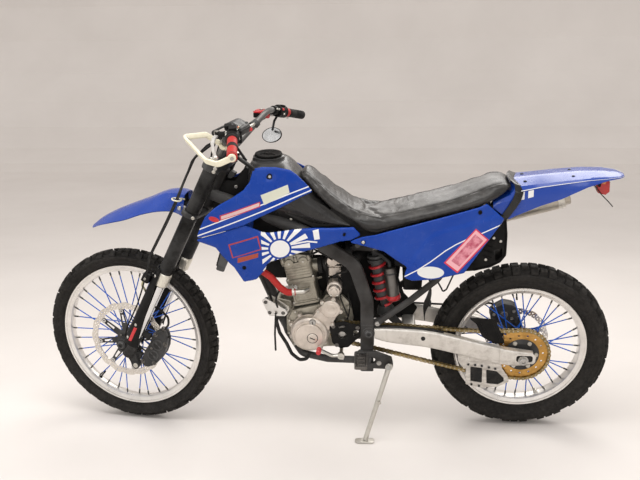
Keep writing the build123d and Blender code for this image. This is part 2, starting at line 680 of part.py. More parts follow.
with BuildPart() as rear_axle:
    rod(REAR + Vector(0, -128, 0), REAR + Vector(0, 128, 0), REAR_AXLE_R)
    rod(REAR + Vector(0, CHAIN_Y - 1.9, 0), REAR + Vector(0, 88.5, 0), 16)
    rod(REAR + Vector(0, -88.5, 0), REAR + Vector(0, -62.6, 0), 16)
    for y in (135.5, -123.5):
        with BuildSketch(Plane(origin=REAR + Vector(0, y, 0), z_dir=(0, -1, 0))):
            RegularPolygon(17, 6)
        extrude(amount=12)

# ---------------------------------------------------------------- engine
BASE = Vector(53, 0, 505)
UP = Vector(math.sin(math.radians(12)), 0, math.cos(math.radians(12)))


def bore_plane(t):
    """Plane square to the cylinder's axis, t above its base."""
    return Plane(origin=BASE + UP * t, x_dir=(UP.Z, 0, -UP.X), z_dir=UP)


with BuildPart() as crankcase:
    with BuildSketch(side(44)):
        with BuildLine():
            Polyline(
                (-110, 360), (-60, 326), (60, 322), (116, 345), (134, 395), (134, 448),
                (106.5, 493.3), (-1, 516.1), (-16, 540), (-74, 540), (-108, 505), (-116, 430), close=True,
            )
        make_face()
    extrude(amount=112)
    with BuildSketch(side(70)):
        with BuildLine():
            Polyline((-24, 340), (60, 326), (112, 352), (128, 400), (126, 446), (106.5, 493.3), (-1, 516.1), (-18, 470), close=True)
        make_face()
    extrude(amount=30)
    with BuildSketch(side(68)):
        with Locations((-40, 508)):
            Circle(30)
    extrude(amount=30)
    # output shaft and its sprocket
    rod((FRONT_SPROCKET.X, 40, FRONT_SPROCKET.Z), (FRONT_SPROCKET.X, CHAIN_Y + 12, FRONT_SPROCKET.Z), 12)
    rod((FRONT_SPROCKET.X, CHAIN_Y - 3, FRONT_SPROCKET.Z), (FRONT_SPROCKET.X, CHAIN_Y + 3, FRONT_SPROCKET.Z), FRONT_SPROCKET_R)
    # front engine lug under the hangers
    rod((170, -30, 498), (170, 30, 498), 9, mode=Mode.SUBTRACT)

with BuildPart() as cylinder:
    with BuildSketch(bore_plane(0.0)):
        RectangleRounded(98, 100, 12)
    extrude(amount=92)
    with BuildSketch(bore_plane(0.0)):
        RectangleRounded(106, 112, 12)
    extrude(amount=9)
    # coolant inlet on the left
    rod((100, 40, 560), (122, 80, 578), 12)

with BuildPart() as cylinder_head:
    with BuildSketch(bore_plane(92.0)):
        RectangleRounded(110, 114, 12)
    extrude(amount=12)
    with BuildSketch(bore_plane(104.0)):
        RectangleRounded(102, 108, 12)
    extrude(amount=58)
    with BuildSketch(bore_plane(162.0)):
        RectangleRounded(112, 118, 14)
    extrude(amount=40)
    # inlet stub and exhaust port
    rod(BASE + UP * 132 + Vector(-40, 0, 0), BASE + UP * 132 + Vector(-78, 0, 4), 26)
    rod(BASE + UP * 118 + Vector(30, -14, 0), BASE + UP * 118 + Vector(60, -16, -8), 22)
    rod(BASE + UP * 118 + Vector(40, -14.7, 0), BASE + UP * 118 + Vector(64, -16.3, -8.5), 17.5, mode=Mode.SUBTRACT)

with BuildPart() as engine_covers:
    # generator cover and starter gear cover, left
    rod((42, 70, 413), (42, 112, 413), 68)
    rod((46, 112, 404), (46, 125, 404), 50)
    rod((-36, 70, 510), (-36, 108, 510), 35)
    with BuildSketch(side(100)):
        with BuildLine():
            Polyline((-58, 484), (-30, 430), (30, 470), (10, 505), close=True)
        make_face()
    extrude(amount=29.9)
    # clutch cover, right
    rod((-20, -68, 405), (-20, -118, 405), 82)
    rod((84, -68, 400), (84, -104, 400), 46)
    rod((-28, -118, 405), (-28, -130, 405), 60)

with BuildPart() as starter_motor:
    rod((-48, -20, 575), (-48, 72, 575), 27)
    rod((-48, 72, 575), (-48, 92, 575), 22)
    rod((-48, 92, 575), (-48, 98, 575), 12)
    with BuildSketch(side(60)):
        with Locations((-44, 552)):
            Rectangle(22, 24)
    extrude(amount=40)
    with BuildSketch(side(60)):
        with Locations((-44, 520)):
            Rectangle(100, 40.02)
    extrude(amount=80, mode=Mode.SUBTRACT)

with BuildPart() as carburettor:
    c0 = BASE + UP * 132 + Vector(-88, 0, 6)
    rod(c0, (-100, 0, 668), 23)
    with BuildSketch(Plane(origin=(-48, 0, 606), x_dir=(1, 0, 0), z_dir=(0, 0, 1))):
        RectangleRounded(56, 70, 10)
    extrude(amount=112)
    rod((-48, 0, 716), (-48, 0, 742), 20)

with BuildPart() as airbox:
    tube([(-104, 0, 668), (-126, 0, 671), (-176, -66, 700), (-262, -66, 716)], 21, 22)
    with BuildSketch(side(57)):
        with BuildLine():
            Polyline((-262, 660), (-262, 770), (-330, 786), (-520, 842), (-560, 800), (-470, 690), (-400, 640), (-330, 640), close=True)
        make_face()
    extrude(amount=114)
    with BuildSketch(side(-52)):
        with BuildLine():
            Polyline((-262, 690), (-262, 742), (-300, 742), (-300, 690), close=True)
        make_face()
    extrude(amount=36)
    # inner mudguard and battery box behind it
    with BuildSketch(side(58)):
        with BuildLine():
            Polyline((-486, 640), (-500, 745), (-520, 835), (-640, 868), (-652, 790), (-652, 704), (-636, 680), (-599, 660), (-547, 645), close=True)
        make_face()
        with BuildLine():
            Polyline((-608, 724), (-636, 732), (-638, 700), (-614, 678), close=True)
        make_face(mode=Mode.SUBTRACT)
    extrude(amount=116)
    # flap in front of the tyre
    with BuildSketch(side(46)):
        with BuildLine():
            Polyline((-372, 645), (-396, 540), (-378, 440), (-372, 440), (-389, 540), (-350, 645), close=True)
        make_face()
    extrude(amount=92)

with BuildPart() as exhaust_header:
    p0 = BASE + UP * 118 + Vector(50, -15.2, -4)
    tube([p0, p0 + Vector(34, -4, -10), (192, -96, 556), (100, -134, 545), (-120, -139, 590),
          (-330, -141, 704), (-428, -140, 744)], 17, 26)

MUFFLER_A, MUFFLER_B = Vector(-433, -140, 746), Vector(-884, -132, 876)
with BuildPart() as muffler:
    d = (MUFFLER_B - MUFFLER_A).normalized()
    cone0, cone1 = MUFFLER_A, MUFFLER_A + d * 60
    with BuildSketch(Plane(origin=cone0, z_dir=d)):
        Circle(24)
    with BuildSketch(Plane(origin=cone1, z_dir=d)):
        Circle(51)
    loft()
    rod(cone1, MUFFLER_B - d * 20, 51)
    rod(MUFFLER_B - d * 20, MUFFLER_B, 44)
    rod(MUFFLER_B - d * 30, MUFFLER_B + d * 1, 22, mode=Mode.SUBTRACT)
    # strap bracket to the subframe
    with BuildSketch(Plane(origin=(-560, -84, 800), x_dir=(1, 0, 0), z_dir=(0, -1, 0))):
        Rectangle(26, 64)
    extrude(amount=14)

with BuildPart() as radiators:
    for sgn in (1, -1):
        with BuildSketch(Plane(origin=(318, sgn * 98, 765), x_dir=(0.951, 0, 0.309), z_dir=(-0.309, 0, 0.951))):
            RectangleRounded(30, 82, 5)
        extrude(amount=100, both=True)

with BuildPart() as radiator_hoses:
    tube([(122.4, 80.8, 578.4), (134, 102, 588), (190, 100, 640), (262, 92, 684), (330, 92, 700)], 12.5, 16)
    with BuildSketch(Plane(origin=(318, 98, 765), x_dir=(0.951, 0, 0.309), z_dir=(-0.309, 0, 0.951))):
        Rectangle(30.4, 90)
    extrude(amount=110, both=True, mode=Mode.SUBTRACT)

# ---------------------------------------------------------------- bodywork
TANK = [
    (245, [(45, 896), (62, 930), (60, 985), (42, 1012), (22, 1020), (0, 1022)]),
    (226, [(60, 888), (95, 930), (97, 992), (74, 1028), (40, 1040), (0, 1043)]),
    (178, [(75, 873), (112, 925), (117, 990), (90, 1032), (55, 1044), (0, 1046)]),
    (128, [(80, 858), (115, 912), (116, 980), (90, 1024), (55, 1038), (0, 1041)]),
    (100, [(82, 850), (114, 905), (114, 966), (92, 1006), (55, 1020), (0, 1023)]),
    (70, [(85, 843), (112, 895), (111, 944), (90, 976), (55, 988), (0, 991)]),
    (20, [(88, 829), (109, 862), (107, 902), (88, 928), (50, 936), (0, 938)]),
    (-50, [(88, 828), (102, 836), (100, 856), (84, 868), (50, 872), (0, 873)]),
    (-106, [(88, 827), (98, 829), (96, 833), (84, 836), (50, 837), (0, 837)]),
]
CAP = Vector(178, 0, 1044)
with BuildPart() as fuel_tank:
    hull_loft([(x, mirrored(h)) for x, h in TANK])
    rod(CAP, CAP + Vector(0, 0, 8), 54)
    rod(CAP + Vector(0, 0, -30), CAP + Vector(0, 0, 20), 40, mode=Mode.SUBTRACT)

with BuildPart() as fuel_cap:
    rod(CAP + Vector(0, 0, -28), CAP + Vector(0, 0, 8), 39.6)
    rod(CAP + Vector(0, 0, 8.2), CAP + Vector(0, 0, 17), 48)
    rod(CAP + Vector(0, 0, 7), CAP + Vector(0, 0, 9), 39.6)
    fillet(fuel_cap.faces().sort_by(Axis.Z)[-1].edges(), 4)

SEAT = [
    (60, [(58, 986), (64, 991), (56, 999), (38, 1003), (0, 1004)]),
    (37, [(72, 962), (80, 976), (74, 992), (50, 1000), (0, 1002)]),
    (-9, [(88, 920), (97, 935), (92, 950), (62, 961), (0, 964)]),
    (-48, [(92, 884), (102, 900), (98, 916), (68, 926), (0, 930)]),
    (-116, [(96, 842), (106, 855), (102, 868), (74, 878), (0, 882)]),
    (-152, [(98, 812), (109, 834), (105, 856), (78, 866), (0, 869)]),
    (-196, [(100, 802), (112, 824), (108, 848), (82, 858), (0, 861)]),
    (-243, [(102, 814), (115, 832), (112, 852), (86, 862), (0, 865)]),
    (-336, [(104, 842), (120, 858), (116, 876), (90, 885), (0, 888)]),
    (-451, [(104, 874), (120, 890), (116, 906), (90, 915), (0, 919)]),
    (-545, [(100, 902), (114, 918), (110, 936), (86, 948), (0, 956)]),
    (-600, [(90, 925), (102, 938), (98, 958), (76, 970), (0, 974)]),
    (-640, [(72, 951), (84, 956), (80, 964), (62, 970), (0, 973)]),
    (-656, [(55, 956), (62, 958), (58, 962), (46, 966), (0, 966)]),
]
with BuildPart() as seat:
    hull_loft([(x, mirrored(h)) for x, h in SEAT])

TAIL = [
    (-590, [(93, 896), (92, 904), (84, 911), (0, 915)]),
    (-646, [(91, 854), (87, 922), (78, 936), (0, 942)]),
    (-668, [(90, 866), (84, 950), (74, 966), (0, 971)]),
    (-749, [(88, 902), (80, 966), (72, 975), (0, 982)]),
    (-818, [(86, 926), (78, 976), (70, 984), (0, 989)]),
    (-901, [(82, 966), (74, 987), (66, 992), (0, 996)]),
    (-970, [(70, 986), (66, 991), (58, 994), (0, 997)]),
    (-1015, [(50, 988), (46, 990), (38, 992), (0, 994)]),
    (-1034, [(22, 985), (20, 987), (14, 988), (0, 989)]),
]
with BuildPart() as rear_fender:
    hull_loft([(x, hat(h, 3.2)) for x, h in TAIL])
    # struts down to the subframe's end
    for y in (60, -60):
        rod((-592, y, 893), (-600, y, 914), 8)

with BuildPart() as tail_light:
    with BuildSketch(side(42)):
        with BuildLine():
            Polyline((-938, 984), (-944, 930), (-972, 924), (-986, 936), (-984, 972), (-966, 985), close=True)
        make_face()
    extrude(amount=84)


def upper_skin(x, z):
    return table([-10, 60, 150, 300, 430], [118, 131, 150, 164, 156], x) - 0.16 * max(0.0, z - 900)


def lower_skin(x, z):
    return table([-160, -50, 60, 200, 300, 430], [123, 123, 130, 150, 160, 155], x) - 0.10 * max(0.0, 790 - z)


def cover_skin(x, z):
    return table([-640, -560, -430, -300, -200, -90], [103, 117, 129, 132, 127, 121], x) - 0.04 * (z - 800)


UPPER = [
    (421, 798), (405, 837), (383, 881), (357, 907), (329, 927), (286, 950), (248, 975), (227, 1002),
    (216, 1036), (210, 1046), (184, 1050), (139, 1048), (92, 1036), (69, 1018), (47, 994), (29, 972),
    (18, 957), (57, 941), (125, 910), (195, 880), (250, 852),
]
# the right-hand shroud stops lower, below the tank's shoulder
UPPER_R = [
    (421, 798), (405, 837), (383, 881), (357, 907), (329, 927), (286, 946), (252, 962), (234, 978),
    (222, 990), (208, 997), (184, 1000), (139, 998), (92, 988), (69, 978), (47, 969), (29, 962),
    (18, 957), (57, 941), (125, 910), (195, 880), (250, 852),
]
LOWER = [
    (419, 796), (413, 786), (356, 766), (336, 736), (296, 689), (264, 629), (220, 640), (186, 680),
    (182, 696), (168, 708), (126, 718), (73, 735), (-6, 757), (-74, 779), (-110, 784), (-146, 804),
    (-121, 832), (-43, 829), (18, 830), (88, 826), (166, 819), (191, 822), (248, 850),
]
COVER = [
    (-96, 778), (-151, 798), (-197, 807), (-269, 830), (-365, 857), (-446, 879), (-545, 906),
    (-568, 917), (-628, 861), (-626, 853), (-569, 769), (-501, 667), (-436, 654), (-403, 646),
    (-321, 642), (-294, 653), (-297, 672), (-304, 690), (-224, 747), (-160, 764),
]
# the right-hand cover is cut away above the silencer
COVER_R = [
    (-96, 778), (-151, 798), (-197, 807), (-269, 830), (-365, 857), (-446, 879), (-545, 906),
    (-568, 917), (-628, 889), (-560, 868), (-440, 826), (-360, 782), (-320, 748), (-224, 744), (-160, 764),
]
ZS_UP = [780, 900, 1060]
ZS_LO = [620, 790, 860]
ZS_SC = [620, 780, 930]
with BuildPart() as left_shroud_upper:
    panel(UPPER, upper_skin, [-20, 60, 150, 300, 440], ZS_UP, 3.0)
with BuildPart() as left_shroud_lower:
    panel(LOWER, lower_skin, [-170, -50, 60, 200, 300, 440], ZS_LO, 3.0)
with BuildPart() as right_shroud_upper:
    panel(UPPER_R, upper_skin, [-20, 60, 150, 300, 440], ZS_UP, 3.0, -1)
with BuildPart() as right_shroud_lower:
    panel(LOWER, lower_skin, [-170, -50, 60, 200, 300, 440], ZS_LO, 3.0, -1)
with BuildPart() as left_side_cover:
    panel(COVER, cover_skin, [-650, -560, -430, -300, -200, -80], ZS_SC, 3.0)
with BuildPart() as right_side_cover:
    panel(COVER_R, cover_skin, [-650, -560, -430, -300, -200, -80], ZS_SC, 3.0, -1)

# ---------------------------------------------------------------- running gear
with BuildPart() as rear_shock:
    rod((-190, 0, 716), (-236, 0, 448), 15)
    rod((-196, 0, 680), (-193, 0, 698), 30)
    rod((-200, 0, 658), (-196, 0, 680), 34)
    rod((-236, 0, 448), (-230, 0, 484), 34)
    rod((-262, 40, 520), (-244, 40, 652), 23)
    rod((-196, 10, 692), (-246, 40, 640), 11)
    rod((-190, -22, 716), (-190, 22, 716), 14)
    rod((-236, -18, 446), (-236, 18, 446), 14)
    # the coil as a sleeve of its own outline
    rod((-230, 0, 484), (-200, 0, 658), 35)
    # link down to the arm's brace
    with BuildSketch(side(8)):
        with BuildLine():
            Polyline((-228, 440), (-246, 452), (-292.0, 407), (-292.0, 384), close=True)
        make_face()
    extrude(amount=16)

with BuildPart() as drive_chain:
    fs, rs = FRONT_SPROCKET, REAR
    with BuildSketch(side(CHAIN_Y + CHAIN_W / 2)):
        # ring halves on the sprockets
        with Locations((rs.X, rs.Z)):
            Circle(CHAIN_PITCH_R + CHAIN_H / 2)
        with Locations((fs.X, fs.Z)):
            Circle(FRONT_CHAIN_R + CHAIN_H / 2)
        with BuildLine():
            Polyline(
                (fs.X, fs.Z + FRONT_CHAIN_R + 7), (-200, 447.5), (-400, 434), (-580, 424), (rs.X + 24, rs.Z + 103.5),
                (rs.X, rs.Z), (rs.X + 20, rs.Z - 104), (-640, 222), (-526, 248), (-380, 285), (-190, 335),
                (fs.X - 8, fs.Z - FRONT_CHAIN_R - 6), (fs.X, fs.Z), close=True,
            )
        make_face()
        with Locations((rs.X, rs.Z)):
            Circle(CHAIN_PITCH_R - CHAIN_H / 2, mode=Mode.SUBTRACT)
        with Locations((fs.X, fs.Z)):
            Circle(FRONT_CHAIN_R - CHAIN_H / 2, mode=Mode.SUBTRACT)
        with BuildLine():
            Polyline(
                (fs.X - 4, fs.Z + FRONT_CHAIN_R - 7.3), (-200, 433.5), (-400, 420), (-580, 410), (rs.X + 26, rs.Z + 88.2),
                (rs.X + 24, rs.Z - 88.8), (-640, 236.5), (-526, 262.5), (-380, 299.5), (-190, 349.5),
                (fs.X - 10, fs.Z - FRONT_CHAIN_R + 9), close=True,
            )
        make_face(mode=Mode.SUBTRACT)
    extrude(amount=CHAIN_W)

with BuildPart() as chain_guards:
    # slotted guide under the arm
    with BuildSketch(side(93)):
        with BuildLine():
            Polyline((-525, 303), (-528, 205), (-583, 192), (-643, 196), (-684, 218), (-682, 236), (-656, 276), (-652, 299), close=True)
        make_face()
        with BuildLine():
            Polyline((-542, 280), (-545, 219), (-587, 212), (-585, 274), close=True)
        make_face(mode=Mode.SUBTRACT)
        with BuildLine():
            Polyline((-600, 268), (-604, 210), (-645, 206), (-666, 220), (-665, 234), (-638, 262), close=True)
        make_face(mode=Mode.SUBTRACT)
    extrude(amount=4)
    with BuildSketch(side(93)):
        with BuildLine():
            Polyline((-535, 297), (-535, 328), (-600, 310), (-646, 300), (-646, 293), close=True)
        make_face()
    extrude(amount=4.0)
    # cover over the top run, rising off the arm
    with BuildSketch(side(92)):
        with BuildLine():
            Polyline((-526, 478), (-622, 474), (-664, 373), (-600, 388), (-578, 404), (-556, 452), close=True)
        make_face()
    extrude(amount=4)

with BuildPart() as footpegs:
    for sgn in (1, -1):
        with BuildSketch(Plane(origin=(-146, sgn * 126, 340), x_dir=(1, 0, 0), z_dir=(0, sgn * 1, 0))):
            RectangleRounded(46, 20, 6)
        extrude(amount=92)

with BuildPart() as foot_controls:
    # gear lever
    rod((-72, 44.3, 335), (-72, 130, 335), 7)
    tube([(-72, 126, 335), (-40, 130, 336), (6, 140, 366)], 6.5, 20)
    rod((6, 134, 366), (6, 178, 372), 9)
    # brake pedal
    rod((-128, -110.5, 318), (-128, -144, 318), 8)
    tube([(-128, -140, 318), (-60, -142, 312), (40, -148, 340)], 6.5, 20)
    with BuildSketch(Plane(origin=(52, -150, 342), x_dir=(1, 0, 0), z_dir=(0, 0, 1))):
        Rectangle(40, 36)
    extrude(amount=9)

with BuildPart() as rear_brake_caliper:
    with BuildSketch(side(-42)):
        with BuildLine():
            Polyline((-726, 402), (-720, 454), (-668, 470), (-618, 432), (-632, 384), (-668, 394), close=True)
        make_face()
    extrude(amount=48)
    with BuildSketch(Plane(origin=REAR + Vector(0, REAR_DISC_Y + 4.5, 0), z_dir=(0, -1, 0))):
        Circle(REAR_DISC_R + 3)
    extrude(amount=9, mode=Mode.SUBTRACT)
    # bracket down to the axle
    with BuildSketch(side(-68.5)):
        with BuildLine():
            Polyline((-742, 330), (-726, 402), (-634, 392), (-684, 360), (-708, 322), close=True)
        make_face()
        with Locations((REAR.X, REAR.Z)):
            Circle(24)
            Circle(16, mode=Mode.SUBTRACT)
    extrude(amount=7)

with BuildPart() as left_shroud:
    add(left_shroud_upper.part)
    add(left_shroud_lower.part)
with BuildPart() as right_shroud:
    add(right_shroud_upper.part)
    add(right_shroud_lower.part)

# side stand: eye on the pin, leg, flat foot on the floor
with BuildPart() as side_stand:
    eye = Vector(*STAND_PIVOT)
    down = LEG.normalized()
    floor_up = ((CHASSIS.inverse() * Location((0, 0, 1))).position - (CHASSIS.inverse() * Location((0, 0, 0))).position)
    floor_x = ((CHASSIS.inverse() * Location((1, 0, 0))).position - (CHASSIS.inverse() * Location((0, 0, 0))).position)
    rod(eye - FOLD_AXIS * 9, eye + FOLD_AXIS * 9, 13)
    rod(eye + down * 8, FOOT - down * 4, 9.5)
    with BuildSketch(Plane(origin=FOOT, x_dir=floor_x, z_dir=floor_up)):
        RectangleRounded(70, 40, 10)
    extrude(amount=6)
    # peg for the boot
    rod(eye + down * 128, eye + down * 128 + Vector(-6, 26, 4), 4.5)
    rod(eye - FOLD_AXIS * 20, eye + FOLD_AXIS * 20, 5 + FIT, mode=Mode.SUBTRACT)
    # trim what would dip below the floor
    with BuildSketch(Plane(origin=FOOT, x_dir=floor_x, z_dir=-floor_up)):
        Rectangle(200, 200)
    extrude(amount=60, mode=Mode.SUBTRACT)

# ---------------------------------------------------------------- placing and export
ON_CHASSIS = {
    "main_frame": main_frame, "subframe": subframe, "swingarm": swingarm, "rear_axle": rear_axle,
    "crankcase": crankcase, "cylinder": cylinder, "cylinder_head": cylinder_head,
    "engine_covers": engine_covers, "starter_motor": starter_motor, "carburettor": carburettor,
    "airbox": airbox, "exhaust_header": exhaust_header, "muffler": muffler,
    "radiators": radiators, "radiator_hose": radiator_hoses, "fuel_tank": fuel_tank,
    "fuel_cap": fuel_cap, "seat": seat, "rear_fender": rear_fender, "tail_light": tail_light,
    "left_shroud": left_shroud, "right_shroud": right_shroud, "left_side_cover": left_side_cover,
    "right_side_cover": right_side_cover, "rear_shock": rear_shock, "drive_chain": drive_chain,
    "chain_guards": chain_guards, "footpegs": footpegs, "foot_controls": foot_controls,
    "rear_brake_caliper": rear_brake_caliper,
    # turn with the rear wheel or fold with the stand
    "rear_tyre": rear_tyre, "rear_rim": rear_rim, "rear_hub": rear_hub,
    "rear_sprocket": rear_sprocket, "rear_brake_disc": rear_brake_disc, "side_stand": side_stand,
}
ON_STEERING = {
    "fork_clamps": fork_clamps, "fork_outer_tubes": fork_outer_tubes, "fork_legs": fork_legs,
    "fork_guards": fork_guards, "front_axle": front_axle, "front_fender": front_fender,
    "front_brake_caliper": front_brake_caliper, "front_brake_hose": front_brake_hose,
    "handlebar": handlebar, "grips": grips, "left_hand_guard": left_hand_guard,
    "hand_controls": hand_controls, "mirrors": mirrors, "dash": dash,
    "front_tyre": front_tyre, "front_rim": front_rim, "front_hub": front_hub,
    "front_brake_disc": front_brake_disc,
}
for placed, pieces in ((CHASSIS, ON_CHASSIS), (STEERED, ON_STEERING)):
    for node, piece in pieces.items():
        piece.part = piece.part.moved(placed)
        piece.part.label = node
        export_step(piece.part, f"parts/{node}.step")
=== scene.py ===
import json
import math

import bmesh
import bpy
from mathutils import Matrix, Vector
from mathutils.geometry import tessellate_polygon


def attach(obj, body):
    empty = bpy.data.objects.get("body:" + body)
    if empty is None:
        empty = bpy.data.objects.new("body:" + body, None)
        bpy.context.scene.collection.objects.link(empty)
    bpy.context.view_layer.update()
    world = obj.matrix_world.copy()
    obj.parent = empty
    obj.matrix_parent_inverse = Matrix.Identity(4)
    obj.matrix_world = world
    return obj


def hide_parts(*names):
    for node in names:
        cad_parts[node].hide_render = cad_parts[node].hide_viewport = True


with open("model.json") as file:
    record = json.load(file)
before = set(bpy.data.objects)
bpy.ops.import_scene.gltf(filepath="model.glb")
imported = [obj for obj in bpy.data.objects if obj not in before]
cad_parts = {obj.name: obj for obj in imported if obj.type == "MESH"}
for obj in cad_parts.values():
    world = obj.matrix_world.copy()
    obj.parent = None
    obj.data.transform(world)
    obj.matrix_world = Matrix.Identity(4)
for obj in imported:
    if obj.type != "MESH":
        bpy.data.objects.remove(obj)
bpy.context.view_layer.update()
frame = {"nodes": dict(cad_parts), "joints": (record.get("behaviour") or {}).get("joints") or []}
NODES = frame["nodes"]
J = {j["name"]: j for j in frame["joints"]}
SCENE = bpy.context.scene

# ------------------------------------------------------------------ the bike's own frame
# Pieces are modelled in millimetres on the upright, straight bike: X forward, Y left, Z up, the
# origin on the ground half way between the axles. Two matrices bring them to where the CAD has them.
WHEELBASE, RF, RR = 1450.0, 340.0, 325.0
RAKE = math.radians(26.5)


def _place(side_axis, steer_axis, at_row, at_bike):
    y = Vector(side_axis).normalized()
    a = Vector(steer_axis).normalized()
    ahead = y.cross(a).normalized()
    x = ahead * math.cos(RAKE) - a * math.sin(RAKE)
    z = ahead * math.sin(RAKE) + a * math.cos(RAKE)
    m = Matrix((x, y, z)).transposed().to_4x4() @ Matrix.Scale(0.001, 4)
    m.translation = Vector(at_row) - m.to_3x3() @ Vector(at_bike)
    return m


STEER_A = J["steering_turn"]["axis"]
CH = _place(J["rear_wheel_spin"]["axis"], STEER_A, J["rear_wheel_spin"]["pos_m"], (-WHEELBASE / 2, 0, RR))
ST = _place(J["front_wheel_spin"]["axis"], STEER_A, J["front_wheel_spin"]["pos_m"], (WHEELBASE / 2, 0, RF))
FRONT, REAR = Vector((WHEELBASE / 2, 0, RF)), Vector((-WHEELBASE / 2, 0, RR))
AXIS = Vector((-math.sin(RAKE), 0, math.cos(RAKE)))
AHEAD = Vector((math.cos(RAKE), 0, math.sin(RAKE)))
STEER_O = FRONT - AHEAD * 45.0
BODY_PLACE = {"chassis": CH, "rear_wheel": CH, "stand": CH, "steering": ST, "front_wheel": ST}
SLOT_OF = {}


def head(u, v, s):
    return STEER_O + AHEAD * u + Vector((0, v, 0)) + AXIS * s


def V(*a):
    return Vector(a[0]) if len(a) == 1 else Vector(a)


def basis(n, hint=None):
    """Two unit vectors square to n."""
    n = Vector(n).normalized()
    h = Vector(hint) if hint is not None else (Vector((0, 0, 1)) if abs(n.z) < 0.9 else Vector((1, 0, 0)))
    u = (h - n * h.dot(n)).normalized()
    return u, n.cross(u)


# ------------------------------------------------------------------ mesh collector
class Kit:
    """Collects faces of one piece in the bike's own frame, in millimetres."""

    def __init__(self):
        self.v, self.f, self.m, self.uv = [], [], [], {}

    def add(self, verts, faces, mat=0):
        base = len(self.v)
        self.v += [Vector(p) for p in verts]
        self.f += [tuple(base + i for i in f) for f in faces]
        self.m += [mat] * len(faces)
        return base

    # revolve a profile [(r, h), ...] about an axis
    def lathe(self, profile, centre, axis=(0, 1, 0), seg=48, mat=0, closed=False, wave=None, start=0.0):
        c, n = Vector(centre), Vector(axis).normalized()
        u, w = basis(n)
        verts, k = [], len(profile)
        for i in range(seg):
            a = start + 2 * math.pi * i / seg
            d = u * math.cos(a) + w * math.sin(a)
            for r, h in profile:
                rr = r + (wave(a, r) if wave else 0.0)
                verts.append(c + d * rr + n * h)
        faces = []
        last = k if closed else k - 1
        for i in range(seg):
            j = (i + 1) % seg
            for p in range(last):
                q = (p + 1) % k
                faces.append((i * k + p, j * k + p, j * k + q, i * k + q))
        self.add(verts, faces, mat)

    def rod(self, a, b, r, seg=20, mat=0, r2=None, chamfer=0.0):
        a, b = Vector(a), Vector(b)
        n = (b - a).normalized()
        length = (b - a).length
        r2 = r if r2 is None else r2
        c = min(chamfer, r * 0.45, r2 * 0.45, length * 0.45)
        prof = [(0.001, 0)]
        prof += [(r - c, 0), (r, c)] if c else [(r, 0)]
        prof += [(r2, length - c), (r2 - c, length)] if c else [(r2, length)]
        prof += [(0.001, length)]
        self.lathe(prof, a, n, seg, mat)

    # tube along points with rounded corners
    def tube(self, points, r, bend=20.0, seg=14, mat=0, cap=True, arc=5, radii=None, flat=None):
        pts = [Vector(p) for p in points]
        path = [pts[0]]
        for i in range(1, len(pts) - 1):
            p0, p1, p2 = pts[i - 1], pts[i], pts[i + 1]
            d0, d1 = (p0 - p1).normalized(), (p2 - p1).normalized()
            ang = d0.angle(d1)
            if ang > math.pi - 0.02:
                path.append(p1)
                continue
            t = min(bend / math.tan(ang / 2), (p0 - p1).length * 0.48, (p2 - p1).length * 0.48)
            a, b = p1 + d0 * t, p1 + d1 * t
            for s in range(arc + 1):
                q = s / arc
                path.append(a * (1 - q) ** 2 + p1 * 2 * q * (1 - q) + b * q * q)
        path.append(pts[-1])
        self.sweep(path, r, seg, mat, cap, radii, flat)
        return path

    def sweep(self, path, r, seg=14, mat=0, cap=True, radii=None, flat=None):
        n = len(path)
        tang = []
        for i in range(n):
            a, b = path[max(0, i - 1)], path[min(n - 1, i + 1)]
            tang.append((b - a).normalized())
        u, _ = basis(tang[0])
        verts = []
        for i in range(n):
            t = tang[i]
            u = (u - t * u.dot(t)).normalized()
            w = t.cross(u)
            rr = radii[i] if radii else r
            for k in range(seg):
                a = 2 * math.pi * k / seg
                verts.append(path[i] + u * math.cos(a) * rr + w * math.sin(a) * rr * (flat or 1.0))
        faces = []
        for i in range(n - 1):
            for k in range(seg):
                l = (k + 1) % seg
                faces.append((i * seg + k, i * seg + l, (i + 1) * seg + l, (i + 1) * seg + k))
        if cap:
            faces.append(tuple(range(seg - 1, -1, -1)))
            faces.append(tuple((n - 1) * seg + k for k in range(seg)))
        self.add(verts, faces, mat)

    # flat plate: outer loop and holes in the plane (o, u, w), thickness along n = u x w
    def plate(self, outer, o, u, w, thick, holes=(), mat=0, bevel=0.0, centred=False):
        o, u, w = Vector(o), Vector(u).normalized(), Vector(w).normalized()
        n = u.cross(w)
        verts2, faces = flat_plate(outer, holes, thick, bevel)
        off = 0.0 if centred else thick / 2
        self.add([o + u * x + w * y + n * (z + off) for x, y, z in verts2], faces, mat)

    def hex(self, pos, n, r, h, mat=0, socket=True, washer=0.0, sides=6):
        """Bolt head: hexagon, or a round socket head."""
        pos, n = Vector(pos), Vector(n).normalized()
        u, w = basis(n)
        if washer:
            self.lathe([(0.01, 0), (washer, 0), (washer, h * 0.18), (0.01, h * 0.18)], pos, n, 20, mat)
        seg = sides
        ring = []
        c = r * 0.12
        lv = [(r, 0.0), (r, h - c), (r - c, h)]
        if socket:
            lv += [(r * 0.55, h), (r * 0.5, h * 0.45), (0.01, h * 0.45)]
        else:
            lv += [(0.01, h)]
        self.lathe(lv, pos, n, seg if not socket else max(seg, 6), mat, start=0.26)

    def box(self, c, size, x=(1, 0, 0), z=(0, 0, 1), mat=0, taper=1.0):
        c = Vector(c)
        x = Vector(x).normalized()
        z = Vector(z)
        z = (z - x * z.dot(x)).normalized()
        y = z.cross(x)
        sx, sy, sz = (s / 2 for s in size)
        vs = []
        for k in (-1, 1):
            t = taper if k > 0 else 1.0
            for i, j in ((-1, -1), (1, -1), (1, 1), (-1, 1)):
                vs.append(c + x * i * sx * t + y * j * sy * t + z * k * sz)
        self.add(vs, [(3, 2, 1, 0), (4, 5, 6, 7), (0, 1, 5, 4), (1, 2, 6, 5), (2, 3, 7, 6), (3, 0, 4, 7)], mat)

